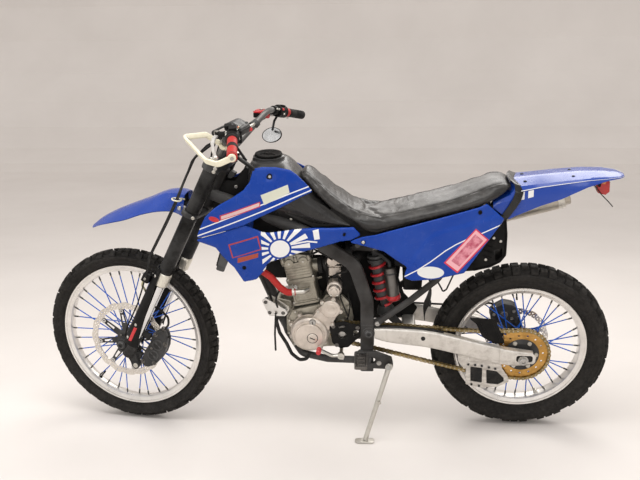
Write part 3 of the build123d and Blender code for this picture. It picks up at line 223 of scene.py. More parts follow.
    def loft(self, rings, mat=0, cap=True, closed=True):
        k = len(rings[0])
        verts = [p for r in rings for p in r]
        faces = []
        for i in range(len(rings) - 1):
            for j in range(k if closed else k - 1):
                l = (j + 1) % k
                faces.append((i * k + j, i * k + l, (i + 1) * k + l, (i + 1) * k + j))
        if cap and closed:
            faces.append(tuple(range(k - 1, -1, -1)))
            faces.append(tuple((len(rings) - 1) * k + j for j in range(k)))
        self.add(verts, faces, mat)

    def make(self, name, body, mats, replaces=(), slot=None, bevel=0.0, sub=0, sharp=38.0, flat_uv="xz", place=None,
             solidify=0.0, recalc=True, segs=2):
        me = bpy.data.meshes.new(name)
        me.from_pydata([tuple(p) for p in self.v], [], self.f)
        for i, p in enumerate(me.polygons):
            p.material_index = self.m[i]
        mats = mats if isinstance(mats, (list, tuple)) else [mats]
        for m in mats:
            me.materials.append(m)
        # flat map in the bike's own side plane, in metres: u forward, v up
        uv = me.uv_layers.new(name="side")
        ax = {"xz": (0, 2), "xy": (0, 1), "yz": (1, 2)}[flat_uv]
        for lp in me.loops:
            co = self.v[lp.vertex_index]
            uv.data[lp.index].uv = (co[ax[0]] * 0.001, co[ax[1]] * 0.001)
        me.transform(place if place is not None else BODY_PLACE[body])
        me.validate(clean_customdata=False)
        bm = bmesh.new()
        bm.from_mesh(me)
        bmesh.ops.remove_doubles(bm, verts=bm.verts, dist=1e-6)
        bmesh.ops.dissolve_degenerate(bm, edges=bm.edges, dist=1e-6)
        if recalc:
            bmesh.ops.recalc_face_normals(bm, faces=bm.faces)
        bm.to_mesh(me)
        bm.free()
        ob = bpy.data.objects.new(name, me)
        SCENE.collection.objects.link(ob)
        me.shade_smooth()
        if sharp is not None and not sub:
            me.set_sharp_from_angle(angle=math.radians(sharp))
        if solidify:
            md = ob.modifiers.new("thick", "SOLIDIFY")
            md.thickness = solidify * 0.001
            md.offset = -1.0
        if bevel:
            md = ob.modifiers.new("edge", "BEVEL")
            md.width = bevel * 0.001
            md.segments = segs
            md.limit_method = "ANGLE"
            md.angle_limit = math.radians(40)
            md.harden_normals = False
        if sub:
            md = ob.modifiers.new("sub", "SUBSURF")
            md.levels = md.render_levels = sub
        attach(ob, body)
        if replaces:
            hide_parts(*([replaces] if isinstance(replaces, str) else replaces))
        return ob


def flat_plate(outer, holes, thick, bevel):
    """Vertices and faces of a plate with holes, from Blender's own curve fill."""
    cu = bpy.data.curves.new("tmp_plate", "CURVE")
    cu.dimensions = "2D"
    cu.fill_mode = "BOTH"
    for loop in [outer, *holes]:
        sp = cu.splines.new("POLY")
        sp.points.add(len(loop) - 1)
        for p, q in zip(sp.points, loop):
            p.co = (q[0], q[1], 0, 1)
        sp.use_cyclic_u = True
    cu.extrude = max(thick / 2 - bevel, 0.001)
    cu.bevel_depth = bevel
    cu.bevel_resolution = 1 if bevel else 0
    cu.offset = -bevel
    ob = bpy.data.objects.new("tmp_plate", cu)
    SCENE.collection.objects.link(ob)
    bpy.context.view_layer.update()
    me = bpy.data.meshes.new_from_object(ob.evaluated_get(bpy.context.evaluated_depsgraph_get()))
    verts = [tuple(v.co) for v in me.vertices]
    faces = [tuple(p.vertices) for p in me.polygons]
    bpy.data.objects.remove(ob)
    bpy.data.curves.remove(cu)
    bpy.data.meshes.remove(me)
    return verts, faces


def circle(cx, cy, r, n=16, start=0.0):
    return [(cx + r * math.cos(start + 2 * math.pi * i / n), cy + r * math.sin(start + 2 * math.pi * i / n)) for i in range(n)]


def rounded(loop, r, n=4):
    """Closed outline with its corners rounded."""
    out, k = [], len(loop)
    for i in range(k):
        p0, p1, p2 = Vector(loop[i - 1]), Vector(loop[i]), Vector(loop[(i + 1) % k])
        rr = r[i] if isinstance(r, (list, tuple)) else r
        d0, d1 = p0 - p1, p2 - p1
        ang = d0.angle(d1)
        if rr <= 0 or ang > math.pi - 0.03:
            out.append(tuple(p1))
            continue
        t = min(rr / math.tan(ang / 2), d0.length * 0.45, d1.length * 0.45)
        a, b = p1 + d0.normalized() * t, p1 + d1.normalized() * t
        for s in range(n + 1):
            q = s / n
            out.append(tuple(a * (1 - q) ** 2 + p1 * 2 * q * (1 - q) + b * q * q))
    return out


def spline(pts, n=6, closed=False):
    """Catmull-Rom curve through points of any dimension."""
    P = [Vector(p) for p in pts]
    k = len(P)
    out = []
    rng = range(k if closed else k - 1)
    for i in rng:
        if closed:
            p0, p1, p2, p3 = P[i - 1], P[i], P[(i + 1) % k], P[(i + 2) % k]
        else:
            p0, p1, p2, p3 = P[max(i - 1, 0)], P[i], P[i + 1], P[min(i + 2, k - 1)]
        for s in range(n):
            t = s / n
            out.append(0.5 * ((2 * p1) + (p2 - p0) * t + (2 * p0 - 5 * p1 + 4 * p2 - p3) * t * t + (3 * p1 - p0 - 3 * p2 + p3) * t ** 3))
    if not closed:
        out.append(P[-1])
    return out


def lerp_table(xs, ys, x):
    if x <= xs[0]:
        return ys[0]
    for a, b, p, q in zip(xs, xs[1:], ys, ys[1:]):
        if x <= b:
            return p + (q - p) * (x - a) / (b - a)
    return ys[-1]


def smooth_table(xs, ys, x):
    """Smooth monotone-ish interpolation through a table."""
    if x <= xs[0]:
        return ys[0]
    if x >= xs[-1]:
        return ys[-1]
    k = len(xs)
    sl = [(ys[i + 1] - ys[i]) / (xs[i + 1] - xs[i]) for i in range(k - 1)]
    tg = [sl[0]] + [(sl[i - 1] + sl[i]) / 2 for i in range(1, k - 1)] + [sl[-1]]
    for i in range(k - 1):
        if x <= xs[i + 1]:
            h = xs[i + 1] - xs[i]
            t = (x - xs[i]) / h
            return (ys[i] * (2 * t ** 3 - 3 * t * t + 1) + tg[i] * h * (t ** 3 - 2 * t * t + t)
                    + ys[i + 1] * (-2 * t ** 3 + 3 * t * t) + tg[i + 1] * h * (t ** 3 - t * t))
    return ys[-1]


def sstep(a, b, x):
    t = max(0.0, min(1.0, (x - a) / (b - a)))
    return t * t * (3 - 2 * t)

# ------------------------------------------------------------------ materials
class Nodes:
    """Small helper that writes shader nodes."""

    def __init__(self, name):
        self.mat = bpy.data.materials.new(name)
        self.mat.use_nodes = True
        self.t = self.mat.node_tree
        self.b = self.t.nodes["Principled BSDF"]
        self._co = None

    def n(self, kind, **kw):
        nd = self.t.nodes.new(kind)
        for k, v in kw.items():
            setattr(nd, k, v)
        return nd

    def link(self, a, b):
        self.t.links.new(a, b)

    def put(self, sock, val):
        if isinstance(val, (int, float)):
            sock.default_value = val
        elif isinstance(val, (tuple, list)):
            sock.default_value = tuple(val) + ((1.0,) if len(val) == 3 and len(sock.default_value) == 4 else ())
        else:
            self.link(val, sock)

    @property
    def co(self):
        if self._co is None:
            self._co = self.n("ShaderNodeTexCoord").outputs["Object"]
        return self._co

    def scaled(self, v):
        m = self.n("ShaderNodeMapping")
        self.link(self.co, m.inputs["Vector"])
        m.inputs["Scale"].default_value = v
        return m.outputs["Vector"]

    def noise(self, scale, detail=3.0, rough=0.55, stretch=None, dist=0.0):
        nd = self.n("ShaderNodeTexNoise")
        self.link(self.scaled(stretch) if stretch else self.co, nd.inputs["Vector"])
        nd.inputs["Scale"].default_value = scale
        nd.inputs["Detail"].default_value = detail
        nd.inputs["Roughness"].default_value = rough
        nd.inputs["Distortion"].default_value = dist
        return nd.outputs["Fac"]

    def ramp(self, val, stops, mode="LINEAR"):
        nd = self.n("ShaderNodeValToRGB")
        self.link(val, nd.inputs["Fac"])
        cr = nd.color_ramp
        cr.interpolation = mode
        while len(cr.elements) < len(stops):
            cr.elements.new(0.5)
        for e, (p, c) in zip(cr.elements, stops):
            e.position = p
            e.color = (c, c, c, 1) if isinstance(c, (int, float)) else tuple(c) + (1,)
        return nd.outputs["Color"]

    def math(self, op, a, b=None, c=None, clamp=False):
        nd = self.n("ShaderNodeMath", operation=op, use_clamp=clamp)
        self.put(nd.inputs[0], a)
        if b is not None:
            self.put(nd.inputs[1], b)
        if c is not None:
            self.put(nd.inputs[2], c)
        return nd.outputs[0]

    def mix(self, fac, a, b):
        nd = self.n("ShaderNodeMix", data_type="RGBA")
        self.put(nd.inputs[0], fac)
        self.put(nd.inputs[6], a)
        self.put(nd.inputs[7], b)
        return nd.outputs[2]

    def bump(self, height, strength=0.2, dist=0.001, under=None):
        nd = self.n("ShaderNodeBump")
        nd.inputs["Strength"].default_value = strength
        nd.inputs["Distance"].default_value = dist
        self.link(height, nd.inputs["Height"])
        if under is not None:
            self.link(under, nd.inputs["Normal"])
        return nd.outputs["Normal"]

    def uv(self):
        u = self.n("ShaderNodeUVMap", uv_map="side")
        s = self.n("ShaderNodeSeparateXYZ")
        self.link(u.outputs["UV"], s.inputs[0])
        return s.outputs[0], s.outputs[1]

    def upward(self):
        """How much the surface looks up, from -1 to 1."""
        g = self.n("ShaderNodeNewGeometry")
        s = self.n("ShaderNodeSeparateXYZ")
        self.link(g.outputs["Normal"], s.inputs[0])
        return s.outputs[2]

    def wear(self, lo=0.52, hi=0.60):
        g = self.n("ShaderNodeNewGeometry")
        return self.ramp(g.outputs["Pointiness"], [(lo, 0.0), (hi, 1.0)])

    def done(self, color, rough, metal=0.0, normal=None, coat=0.0, coat_rough=0.1, sheen=0.0, spec=None, ior=None):
        self.put(self.b.inputs["Base Color"], color)
        self.put(self.b.inputs["Roughness"], rough)
        self.b.inputs["Metallic"].default_value = metal
        if normal is not None:
            self.link(normal, self.b.inputs["Normal"])
        if coat:
            self.b.inputs["Coat Weight"].default_value = coat
            self.b.inputs["Coat Roughness"].default_value = coat_rough
        if sheen:
            self.b.inputs["Sheen Weight"].default_value = sheen
            self.b.inputs["Sheen Roughness"].default_value = 0.5
        if spec is not None:
            self.b.inputs["Specular IOR Level"].default_value = spec
        return self.mat


def darker(c, k):
    return tuple(x * k for x in c)


def toward(c, d, k):
    return tuple(x + (y - x) * k for x, y in zip(c, d))


def m_plastic(name, color, rough=0.28, coat=0.35, scratch=0.35, dust=0.12):
    k = Nodes(name)
    var = k.noise(6.0, 3.0)
    c = k.mix(k.ramp(var, [(0.35, 0.0), (0.7, 1.0)]), darker(color, 0.90), toward(color, (0.5, 0.5, 0.5), 0.03))
    sc = k.noise(420.0, 2.0, 0.5, stretch=(1.0, 1.0, 0.06), dist=0.4)
    c = k.mix(k.math("MULTIPLY", k.ramp(sc, [(0.70, 0.0), (0.80, 1.0)]), dust), c, (0.55, 0.56, 0.58))
    r = k.ramp(k.noise(18.0, 4.0), [(0.3, rough * 0.75), (0.75, rough * 1.5)])
    return k.done(c, r, 0.0, k.bump(sc, 0.04 * scratch * 3, 0.0004), coat, 0.12, spec=0.3)


def m_matte(name, color, rough=0.62, grain=900.0, strength=0.25, dusty=(0.32, 0.29, 0.25), dust=0.10):
    k = Nodes(name)
    c = k.mix(k.ramp(k.noise(9.0, 4.0), [(0.3, 0.0), (0.75, 1.0)]), darker(color, 0.8), toward(color, (0.4, 0.4, 0.4), 0.015))
    dirt = k.math("MULTIPLY", k.ramp(k.noise(24.0, 6.0, 0.65), [(0.45, 0.0), (0.8, 1.0)]), dust)
    c = k.mix(dirt, c, dusty)
    r = k.ramp(k.noise(30.0, 3.0), [(0.3, rough * 0.85), (0.8, min(1.0, rough * 1.2))])
    return k.done(c, r, 0.0, k.bump(k.noise(grain, 2.0), strength, 0.0003), spec=0.09)


def m_metal(name, color, rough=0.35, stretch=(1, 1, 1), grain=260.0, strength=0.12, dirt=0.3, dirt_color=(0.09, 0.075, 0.06), metal=1.0,
            wear=0.0, lo=0.45, spec=None):
    k = Nodes(name)
    c = k.mix(k.ramp(k.noise(12.0, 4.0), [(0.3, 0.0), (0.75, 1.0)]), darker(color, 0.86), toward(color, (1, 1, 1), 0.05))
    d = k.math("MULTIPLY", k.ramp(k.noise(34.0, 7.0, 0.7), [(lo, 0.0), (0.82, 1.0)]), dirt)
    c = k.mix(d, c, dirt_color)
    if wear:
        c = k.mix(k.math("MULTIPLY", k.wear(), wear), c, toward(color, (1, 1, 1), 0.3))
    g = k.noise(grain, 3.0, 0.6, stretch=stretch)
    r = k.ramp(k.noise(26.0, 4.0), [(0.3, rough * 0.75), (0.75, min(1, rough * 1.35))])
    return k.done(c, r, metal, k.bump(g, strength, 0.0004), spec=spec if spec is not None else (0.2 if metal < 0.35 else None))


def m_cast(name, color, rough=0.5, dirt=0.45, metal=0.85, dirt_color=(0.07, 0.06, 0.05)):
    k = Nodes(name)
    c = k.mix(k.ramp(k.noise(14.0, 4.0), [(0.3, 0.0), (0.75, 1.0)]), darker(color, 0.82), toward(color, (1, 1, 1), 0.06))
    grime = k.ramp(k.noise(22.0, 8.0, 0.72), [(0.44, 0.0), (0.74, 1.0)])
    c = k.mix(k.math("MULTIPLY", grime, dirt), c, dirt_color)
    oil = k.ramp(k.noise(70.0, 5.0, 0.7), [(0.60, 0.0), (0.75, 1.0)])
    c = k.mix(k.math("MULTIPLY", oil, dirt * 0.6), c, (0.16, 0.12, 0.07))
    r = k.ramp(k.noise(40.0, 4.0), [(0.3, rough * 0.8), (0.8, min(1, rough * 1.4))])
    n1 = k.bump(k.noise(1400.0, 2.0), 0.35, 0.0003)
    return k.done(c, r, metal, k.bump(k.noise(120.0, 3.0), 0.08, 0.001, n1))


def m_rubber(name, color=(0.009, 0.009, 0.009), rough=0.75, dust=0.14, dusty=(0.22, 0.19, 0.16)):
    k = Nodes(name)
    c = k.mix(k.ramp(k.noise(16.0, 5.0, 0.6), [(0.35, 0.0), (0.7, 1.0)]), color, toward(color, (0.3, 0.3, 0.3), 0.05))
    d = k.math("MULTIPLY", k.ramp(k.noise(60.0, 6.0, 0.7), [(0.42, 0.0), (0.8, 1.0)]), dust)
    c = k.mix(d, c, dusty)
    return k.done(c, k.ramp(k.noise(50.0, 3.0), [(0.3, rough * 0.9), (0.8, min(1, rough * 1.15))]), 0.0,
                  k.bump(k.noise(700.0, 3.0), 0.3, 0.0004), spec=0.2)


def m_tyre(name, centre, r_tread):
    """Rubber with dust on the tread blocks and faint rings on the wall, from the distance to the axle."""
    k = Nodes(name)
    sub = k.n("ShaderNodeVectorMath", operation="SUBTRACT")
    k.link(k.co, sub.inputs[0])
    sub.inputs[1].default_value = tuple(centre)
    ln = k.n("ShaderNodeVectorMath", operation="LENGTH")
    k.link(sub.outputs[0], ln.inputs[0])
    r = ln.outputs["Value"]
    base = k.mix(k.ramp(k.noise(14.0, 5.0, 0.6), [(0.35, 0.0), (0.7, 1.0)]), (0.008, 0.0072, 0.0065), (0.018, 0.0165, 0.015))
    dust = k.ramp(k.noise(90.0, 6.0, 0.7), [(0.40, 0.0), (0.78, 1.0)])
    far = k.math("MULTIPLY_ADD", r, 1.0 / 0.012, -(r_tread - 0.010) / 0.012, clamp=True)
    amount = k.math("MULTIPLY_ADD", far, 0.16, 0.08)
    c = k.mix(k.math("MULTIPLY", dust, amount), base, (0.26, 0.23, 0.20))
    rings = k.math("SINE", k.math("MULTIPLY", r, 1800.0))
    n1 = k.bump(rings, 0.05, 0.0004)
    return k.done(c, k.ramp(k.noise(60.0, 3.0), [(0.3, 0.62), (0.8, 0.92)]), 0.0, k.bump(k.noise(900.0, 3.0), 0.3, 0.0004, n1), spec=0.2)


BLUE = (0.0010, 0.041, 0.315)
M = {}
M["blue"] = m_plastic("blue_plastic", BLUE, 0.24, 0.45, 0.4, 0.10)
M["tank"] = m_plastic("tank_plastic", (0.0085, 0.0080, 0.0080), 0.20, 0.12, 0.4, 0.06)
M["black"] = m_matte("black_plastic", (0.0058, 0.0055, 0.0054), 0.44, dust=0.03)
M["black_gloss"] = m_plastic("black_gloss", (0.006, 0.006, 0.006), 0.25, 0.2, 0.3, 0.03)
M["frame"] = m_metal("frame_paint", (0.014, 0.0122, 0.011), 0.42, grain=500.0, strength=0.05, dirt=0.16, dirt_color=(0.08, 0.065, 0.05), metal=0.0, wear=0.10)
M["fork_black"] = m_metal("fork_black", (0.0045, 0.0040, 0.0036), 0.26, stretch=(1, 1, 0.1), grain=300.0, strength=0.04, dirt=0.04, dirt_color=(0.03, 0.025, 0.02), metal=0.0, spec=0.10)
M["black_alloy"] = m_metal("black_alloy", (0.010, 0.010, 0.010), 0.42, grain=600.0, strength=0.10, dirt=0.14, dirt_color=(0.09, 0.07, 0.055), metal=0.1, wear=0.2)
M["alloy"] = m_metal("arm_alloy", (0.74, 0.72, 0.69), 0.40, grain=420.0, strength=0.10, dirt=0.35, dirt_color=(0.24, 0.21, 0.17), metal=0.75)
M["rim"] = m_metal("rim_alloy", (0.84, 0.81, 0.77), 0.33, grain=300.0, strength=0.08, dirt=0.32, dirt_color=(0.34, 0.31, 0.26), metal=0.75)
M["cast"] = m_cast("cast_alloy", (0.42, 0.39, 0.32), 0.45, 0.62)
M["cast_clean"] = m_cast("cast_clean", (0.68, 0.61, 0.54), 0.44, 0.30)
M["cast_dark"] = m_cast("cast_dark", (0.16, 0.15, 0.14), 0.55, 0.55)
M["steel"] = m_metal("steel", (0.46, 0.45, 0.43), 0.38, dirt=0.35, dirt_color=(0.14, 0.10, 0.07))
M["zinc"] = m_metal("zinc", (0.62, 0.60, 0.55), 0.36, dirt=0.30, dirt_color=(0.20, 0.16, 0.10))
M["chrome"] = m_metal("chrome", (0.80, 0.80, 0.80), 0.09, grain=200.0, strength=0.01, dirt=0.10)
M["disc"] = m_metal("disc_steel", (0.70, 0.66, 0.60), 0.30, grain=800.0, strength=0.06, dirt=0.25, dirt_color=(0.42, 0.34, 0.24))
M["spoke"] = m_plastic("blue_spoke", (0.010, 0.115, 0.58), 0.25, 0.3, 0.1, 0.05)
M["gold"] = m_metal("gold_sprocket", (0.56, 0.31, 0.075), 0.34, dirt=0.60, dirt_color=(0.10, 0.045, 0.018))
M["chain"] = m_metal("chain_steel", (0.34, 0.25, 0.10), 0.42, dirt=0.62, dirt_color=(0.05, 0.035, 0.02), lo=0.40)
M["rubber"] = m_rubber("rubber")
M["red_rubber"] = m_rubber("red_rubber", (0.42, 0.018, 0.016), 0.5, 0.1, (0.3, 0.12, 0.08))
M["red"] = m_plastic("red_metal", (0.52, 0.012, 0.018), 0.3, 0.4, 0.3, 0.10)
M["red_alloy"] = m_metal("red_alloy", (0.55, 0.02, 0.03), 0.3, dirt=0.15, metal=0.8)
M["cream"] = m_metal("cream_alloy", (0.80, 0.76, 0.58), 0.42, grain=500, strength=0.06, dirt=0.45, dirt_color=(0.42, 0.38, 0.20), metal=0.1)
M["white"] = m_plastic("white_plastic", (0.78, 0.78, 0.76), 0.3, 0.3, 0.3, 0.15)
M["lens"] = m_plastic("red_lens", (0.42, 0.010, 0.008), 0.10, 0.6, 0.1, 0.03)
M["amber"] = m_plastic("amber_hose", (0.46, 0.42, 0.20), 0.45, 0.1, 0.1, 0.1)
M["muffler"] = m_metal("muffler_alloy", (0.44, 0.41, 0.36), 0.38, stretch=(0.08, 1, 1), grain=260, strength=0.10, dirt=0.55, dirt_color=(0.30, 0.22, 0.12), lo=0.42)
M["header"] = m_metal("exhaust_steel", (0.36, 0.29, 0.23), 0.4, dirt=0.5, dirt_color=(0.12, 0.07, 0.04))
M["mirror"] = m_metal("mirror_glass", (0.62, 0.63, 0.64), 0.22, grain=200, strength=0.0, dirt=0.03)
M["radiator"] = m_metal("radiator_core", (0.05, 0.05, 0.052), 0.5, grain=900, strength=0.3, dirt=0.3, dirt_color=(0.2, 0.17, 0.13), metal=0.4)
M["thread"] = m_matte("seam_thread", (0.05, 0.05, 0.05), 0.7)
M["collar"] = m_metal("collar_alloy", (0.78, 0.75, 0.66), 0.34, grain=300.0, strength=0.05, dirt=0.25, dirt_color=(0.30, 0.26, 0.18), metal=0.8)
M["grey_alloy"] = m_metal("grey_alloy", (0.085, 0.078, 0.073), 0.46, grain=500.0, strength=0.08, dirt=0.18, dirt_color=(0.16, 0.13, 0.10), metal=0.3)
M["hose_yellow"] = m_plastic("hose_yellow", (0.50, 0.46, 0.27), 0.45, 0.1, 0.1, 0.1)
M["lens_dark"] = m_plastic("dial_lens", (0.012, 0.013, 0.014), 0.40, 0.1, 0.1, 0.02)
M["amber_lens"] = m_plastic("amber_lens", (0.62, 0.22, 0.03), 0.12, 0.5, 0.1, 0.03)
M["grey_plastic"] = m_matte("grey_plastic", (0.030, 0.029, 0.028), 0.55, dust=0.05)
M["bar"] = m_metal("bar_alloy", (0.13, 0.125, 0.12), 0.34, grain=300.0, strength=0.04, dirt=0.2, metal=0.6)
M["steel_dark"] = m_metal("steel_dark", (0.16, 0.15, 0.14), 0.42, dirt=0.35, dirt_color=(0.07, 0.055, 0.04))

# ------------------------------------------------------------------ tyres
def crown_y_r(tyre_r, crown, hw):
    """Tread surface: radius at a given sideways distance."""
    def f(y):
        y = abs(y)
        return tyre_r - crown + math.sqrt(max(crown ** 2 - y ** 2, 0.0))
    return f


def tyre_piece(name, body, centre, rim_r, rim_w, tyre_r, tyre_w, crown, depth, rows, mat, replaces):
    k = Kit()
    hw, rw = tyre_w / 2, rim_w / 2 - 4.0
    surf = crown_y_r(tyre_r, crown, hw)
    edge_y = hw * 0.80
    edge_r = surf(edge_y)
    # carcass profile, from the left bead over the crown to the right bead
    half = [(rim_r - 6, rw - 0.8), (rim_r + 1.0, rw + 0.2), (rim_r + 5.0, rw + 3.2)]
    mid_r, n = (rim_r + tyre_r) / 2 + 2, 9
    p0, p1, p2 = Vector((rim_r + 5, rw + 3.2)), Vector((mid_r, hw)), Vector((edge_r - depth * 0.55, edge_y + 0.5))
    ctrl = p1 * 2 - (p0 + p2) * 0.5
    wall = []
    for i in range(1, n):
        t = i / n
        q = p0 * (1 - t) ** 2 + ctrl * 2 * t * (1 - t) + p2 * t * t
        wall.append((q.x, min(q.y - 0.7, hw - 0.7)))
    ringed = []
    for r, y in wall:
        ringed.append((r, y))
    half += ringed
    crown_pts = []
    m = 12
    for i in range(m + 1):
        y = edge_y * math.cos(math.pi * i / m / 2 * 1.0) if False else edge_y * (1 - i / m)
        crown_pts.append((surf(y) - depth, y))
    half += crown_pts
    prof = half + [(r, -y) for r, y in reversed(half[:-1])]
    k.lathe(prof, centre, (0, 1, 0), 180, 0)
    # bead ring and wall lines
    for rr, hgt, wid in ((rim_r + 8.5, 1.3, 2.0), (mid_r - 8, 0.7, 1.0), (mid_r + 9, 0.7, 1.0)):
        for sg in (1, -1):
            t = (rr - (rim_r + 5)) / (p2.x - (rim_r + 5))
            best = min(range(200), key=lambda i: abs((p0 * (1 - i / 199) ** 2 + ctrl * 2 * (i / 199) * (1 - i / 199) + p2 * (i / 199) ** 2).x - rr))
            q = best / 199
            y = (p0 * (1 - q) ** 2 + ctrl * 2 * q * (1 - q) + p2 * q * q).y - 0.7
            y = min(y, hw - 0.7)
            pr = [(rr - wid, y - 0.6), (rr - wid * 0.4, y + min(hgt, hw - y - 0.05)), (rr + wid * 0.4, y + min(hgt, hw - y - 0.05)), (rr + wid, y - 0.6)]
            k.lathe([(a, sg * b) for a, b in pr], centre, (0, 1, 0), 120, 0, closed=True)

    def block(phi, y, dphi, dy, h=depth, skew=0.0, base=1.28, side=False):
        """A tread block: a frustum from the carcass up to the tread surface."""
        nu, nv = 3, 3
        top, bot = [], []
        for s, lst, hh in ((1.0, top, 0.0), (base, bot, -h - 1.2)):
            for j in range(nv):
                for i in range(nu):
                    a = (i / (nu - 1) - 0.5) * s
                    b = (j / (nv - 1) - 0.5) * s
                    yy = y + b * dy
                    ph = phi + (a * dphi + skew * b * dy) / tyre_r
                    yc = max(-edge_y - 1.0, min(edge_y + 1.0, yy)) if not side else yy
                    r = surf(min(abs(yc), crown * 0.999)) + hh - (0.15 if hh == 0 else 0.0)
                    if side:
                        r += 0
                    lst.append(Vector(centre) + Vector((math.cos(ph) * r, yc, math.sin(ph) * r)))
        vs = top + bot
        fs = []
        for j in range(nv - 1):
            for i in range(nu - 1):
                q = j * nu + i
                fs.append((q, q + 1, q + nu + 1, q + nu))
        rim_idx = [0, 1, 2, 5, 8, 7, 6, 3]
        for a, b in zip(rim_idx, rim_idx[1:] + rim_idx[:1]):
            fs.append((a, 9 + a, 9 + b, b))
        k.add(vs, fs, 0)

    def shoulder(phi, sg, dphi, w, h):
        """A shoulder block that wraps from the tread's edge down the wall."""
        secs = []
        for a in (-0.5, 0.5):
            ring = []
            for s, hh in ((1.0, 0.0), (1.22, -h)):
                ph = phi + a * dphi * s / tyre_r
                pts = []
                for t in (0.0, 0.35, 0.7, 1.0):
                    if t <= 0.7:
                        y = edge_y - w * (1 - t / 0.7)
                        r = surf(y)
                        y2, r2 = y, r
                    else:
                        y2, r2 = min(hw - 0.4, edge_y + 2.6), edge_r - 8.5
                    r2 = r2 + (hh if t <= 0.7 else hh * 0.2)
                    y2 = y2 if hh == 0 else y2 - (0 if t <= 0.7 else 1.6)
                    pts.append(Vector(centre) + Vector((math.cos(ph) * (r2 - 0.15), sg * y2, math.sin(ph) * (r2 - 0.15))))
                ring.append(pts)
            secs.append(ring)
        (ta, ba), (tb, bb) = secs
        vs = ta + tb + ba + bb
        fs = []
        for i in range(3):
            fs.append((i, i + 1, 4 + i + 1, 4 + i))
            fs.append((8 + i, 8 + i + 1, i + 1, i))
            fs.append((4 + i, 4 + i + 1, 12 + i + 1, 12 + i))
        fs.append((3, 11, 15, 7))
        fs.append((0, 4, 12, 8))
        k.add(vs, fs, 0)

    pitch = 2 * math.pi / rows["n"]
    for i in range(rows["n"]):
        ph = i * pitch
        for phase, y, dphi, dy, skew in rows["blocks"][i % len(rows["blocks"])]:
            for sg in (1, -1):
                if y == 0 and sg < 0:
                    continue
                block(ph + phase * pitch, sg * y, dphi, dy, skew=sg * skew)
        for sg in (1, -1):
            shoulder(ph + rows["sh_phase"] * pitch, sg, rows["sh"][0], rows["sh"][1], depth)
    return k.make(name, body, mat, replaces=replaces, slot="tyre", sharp=30)


ft_c = Vector(J["front_wheel_spin"]["pos_m"])
rt_c = Vector(J["rear_wheel_spin"]["pos_m"])
M["front_tyre"] = m_tyre("front_tyre_rubber", ft_c, 0.340)
M["rear_tyre"] = m_tyre("rear_tyre_rubber", rt_c, 0.325)

FRONT_ROWS = {"n": 38, "sh_phase": 0.5, "sh": (24.0, 9.0), "blocks": [
    [(0.0, 8.2, 21.0, 13.0, 0.0), (0.5, 18.5, 20.0, 9.5, 0.1)],
    [(0.0, 0.0, 21.0, 15.0, 0.0), (0.0, 17.5, 16.0, 9.0, 0.15), (0.5, 8.0, 19.0, 12.0, 0.0)]]}
REAR_ROWS = {"n": 30, "sh_phase": 0.0, "sh": (27.0, 12.0), "blocks": [
    [(0.0, 9.5, 25.0, 16.0, 0.0), (0.5, 25.0, 25.0, 15.0, 0.12)],
    [(0.0, 0.0, 24.0, 20.0, 0.0), (0.5, 8.5, 22.0, 14.0, 0.0), (0.0, 26.0, 22.0, 13.0, 0.1)]]}
tyre_piece("FrontTyre", "front_wheel", FRONT, 280.5, 48.0, 340.0, 84.0, 46.0, 11.0, FRONT_ROWS, M["front_tyre"], "front_tyre")
tyre_piece("RearTyre", "rear_wheel", REAR, 242.5, 60.0, 325.0, 105.0, 72.0, 13.0, REAR_ROWS, M["rear_tyre"], "rear_tyre")


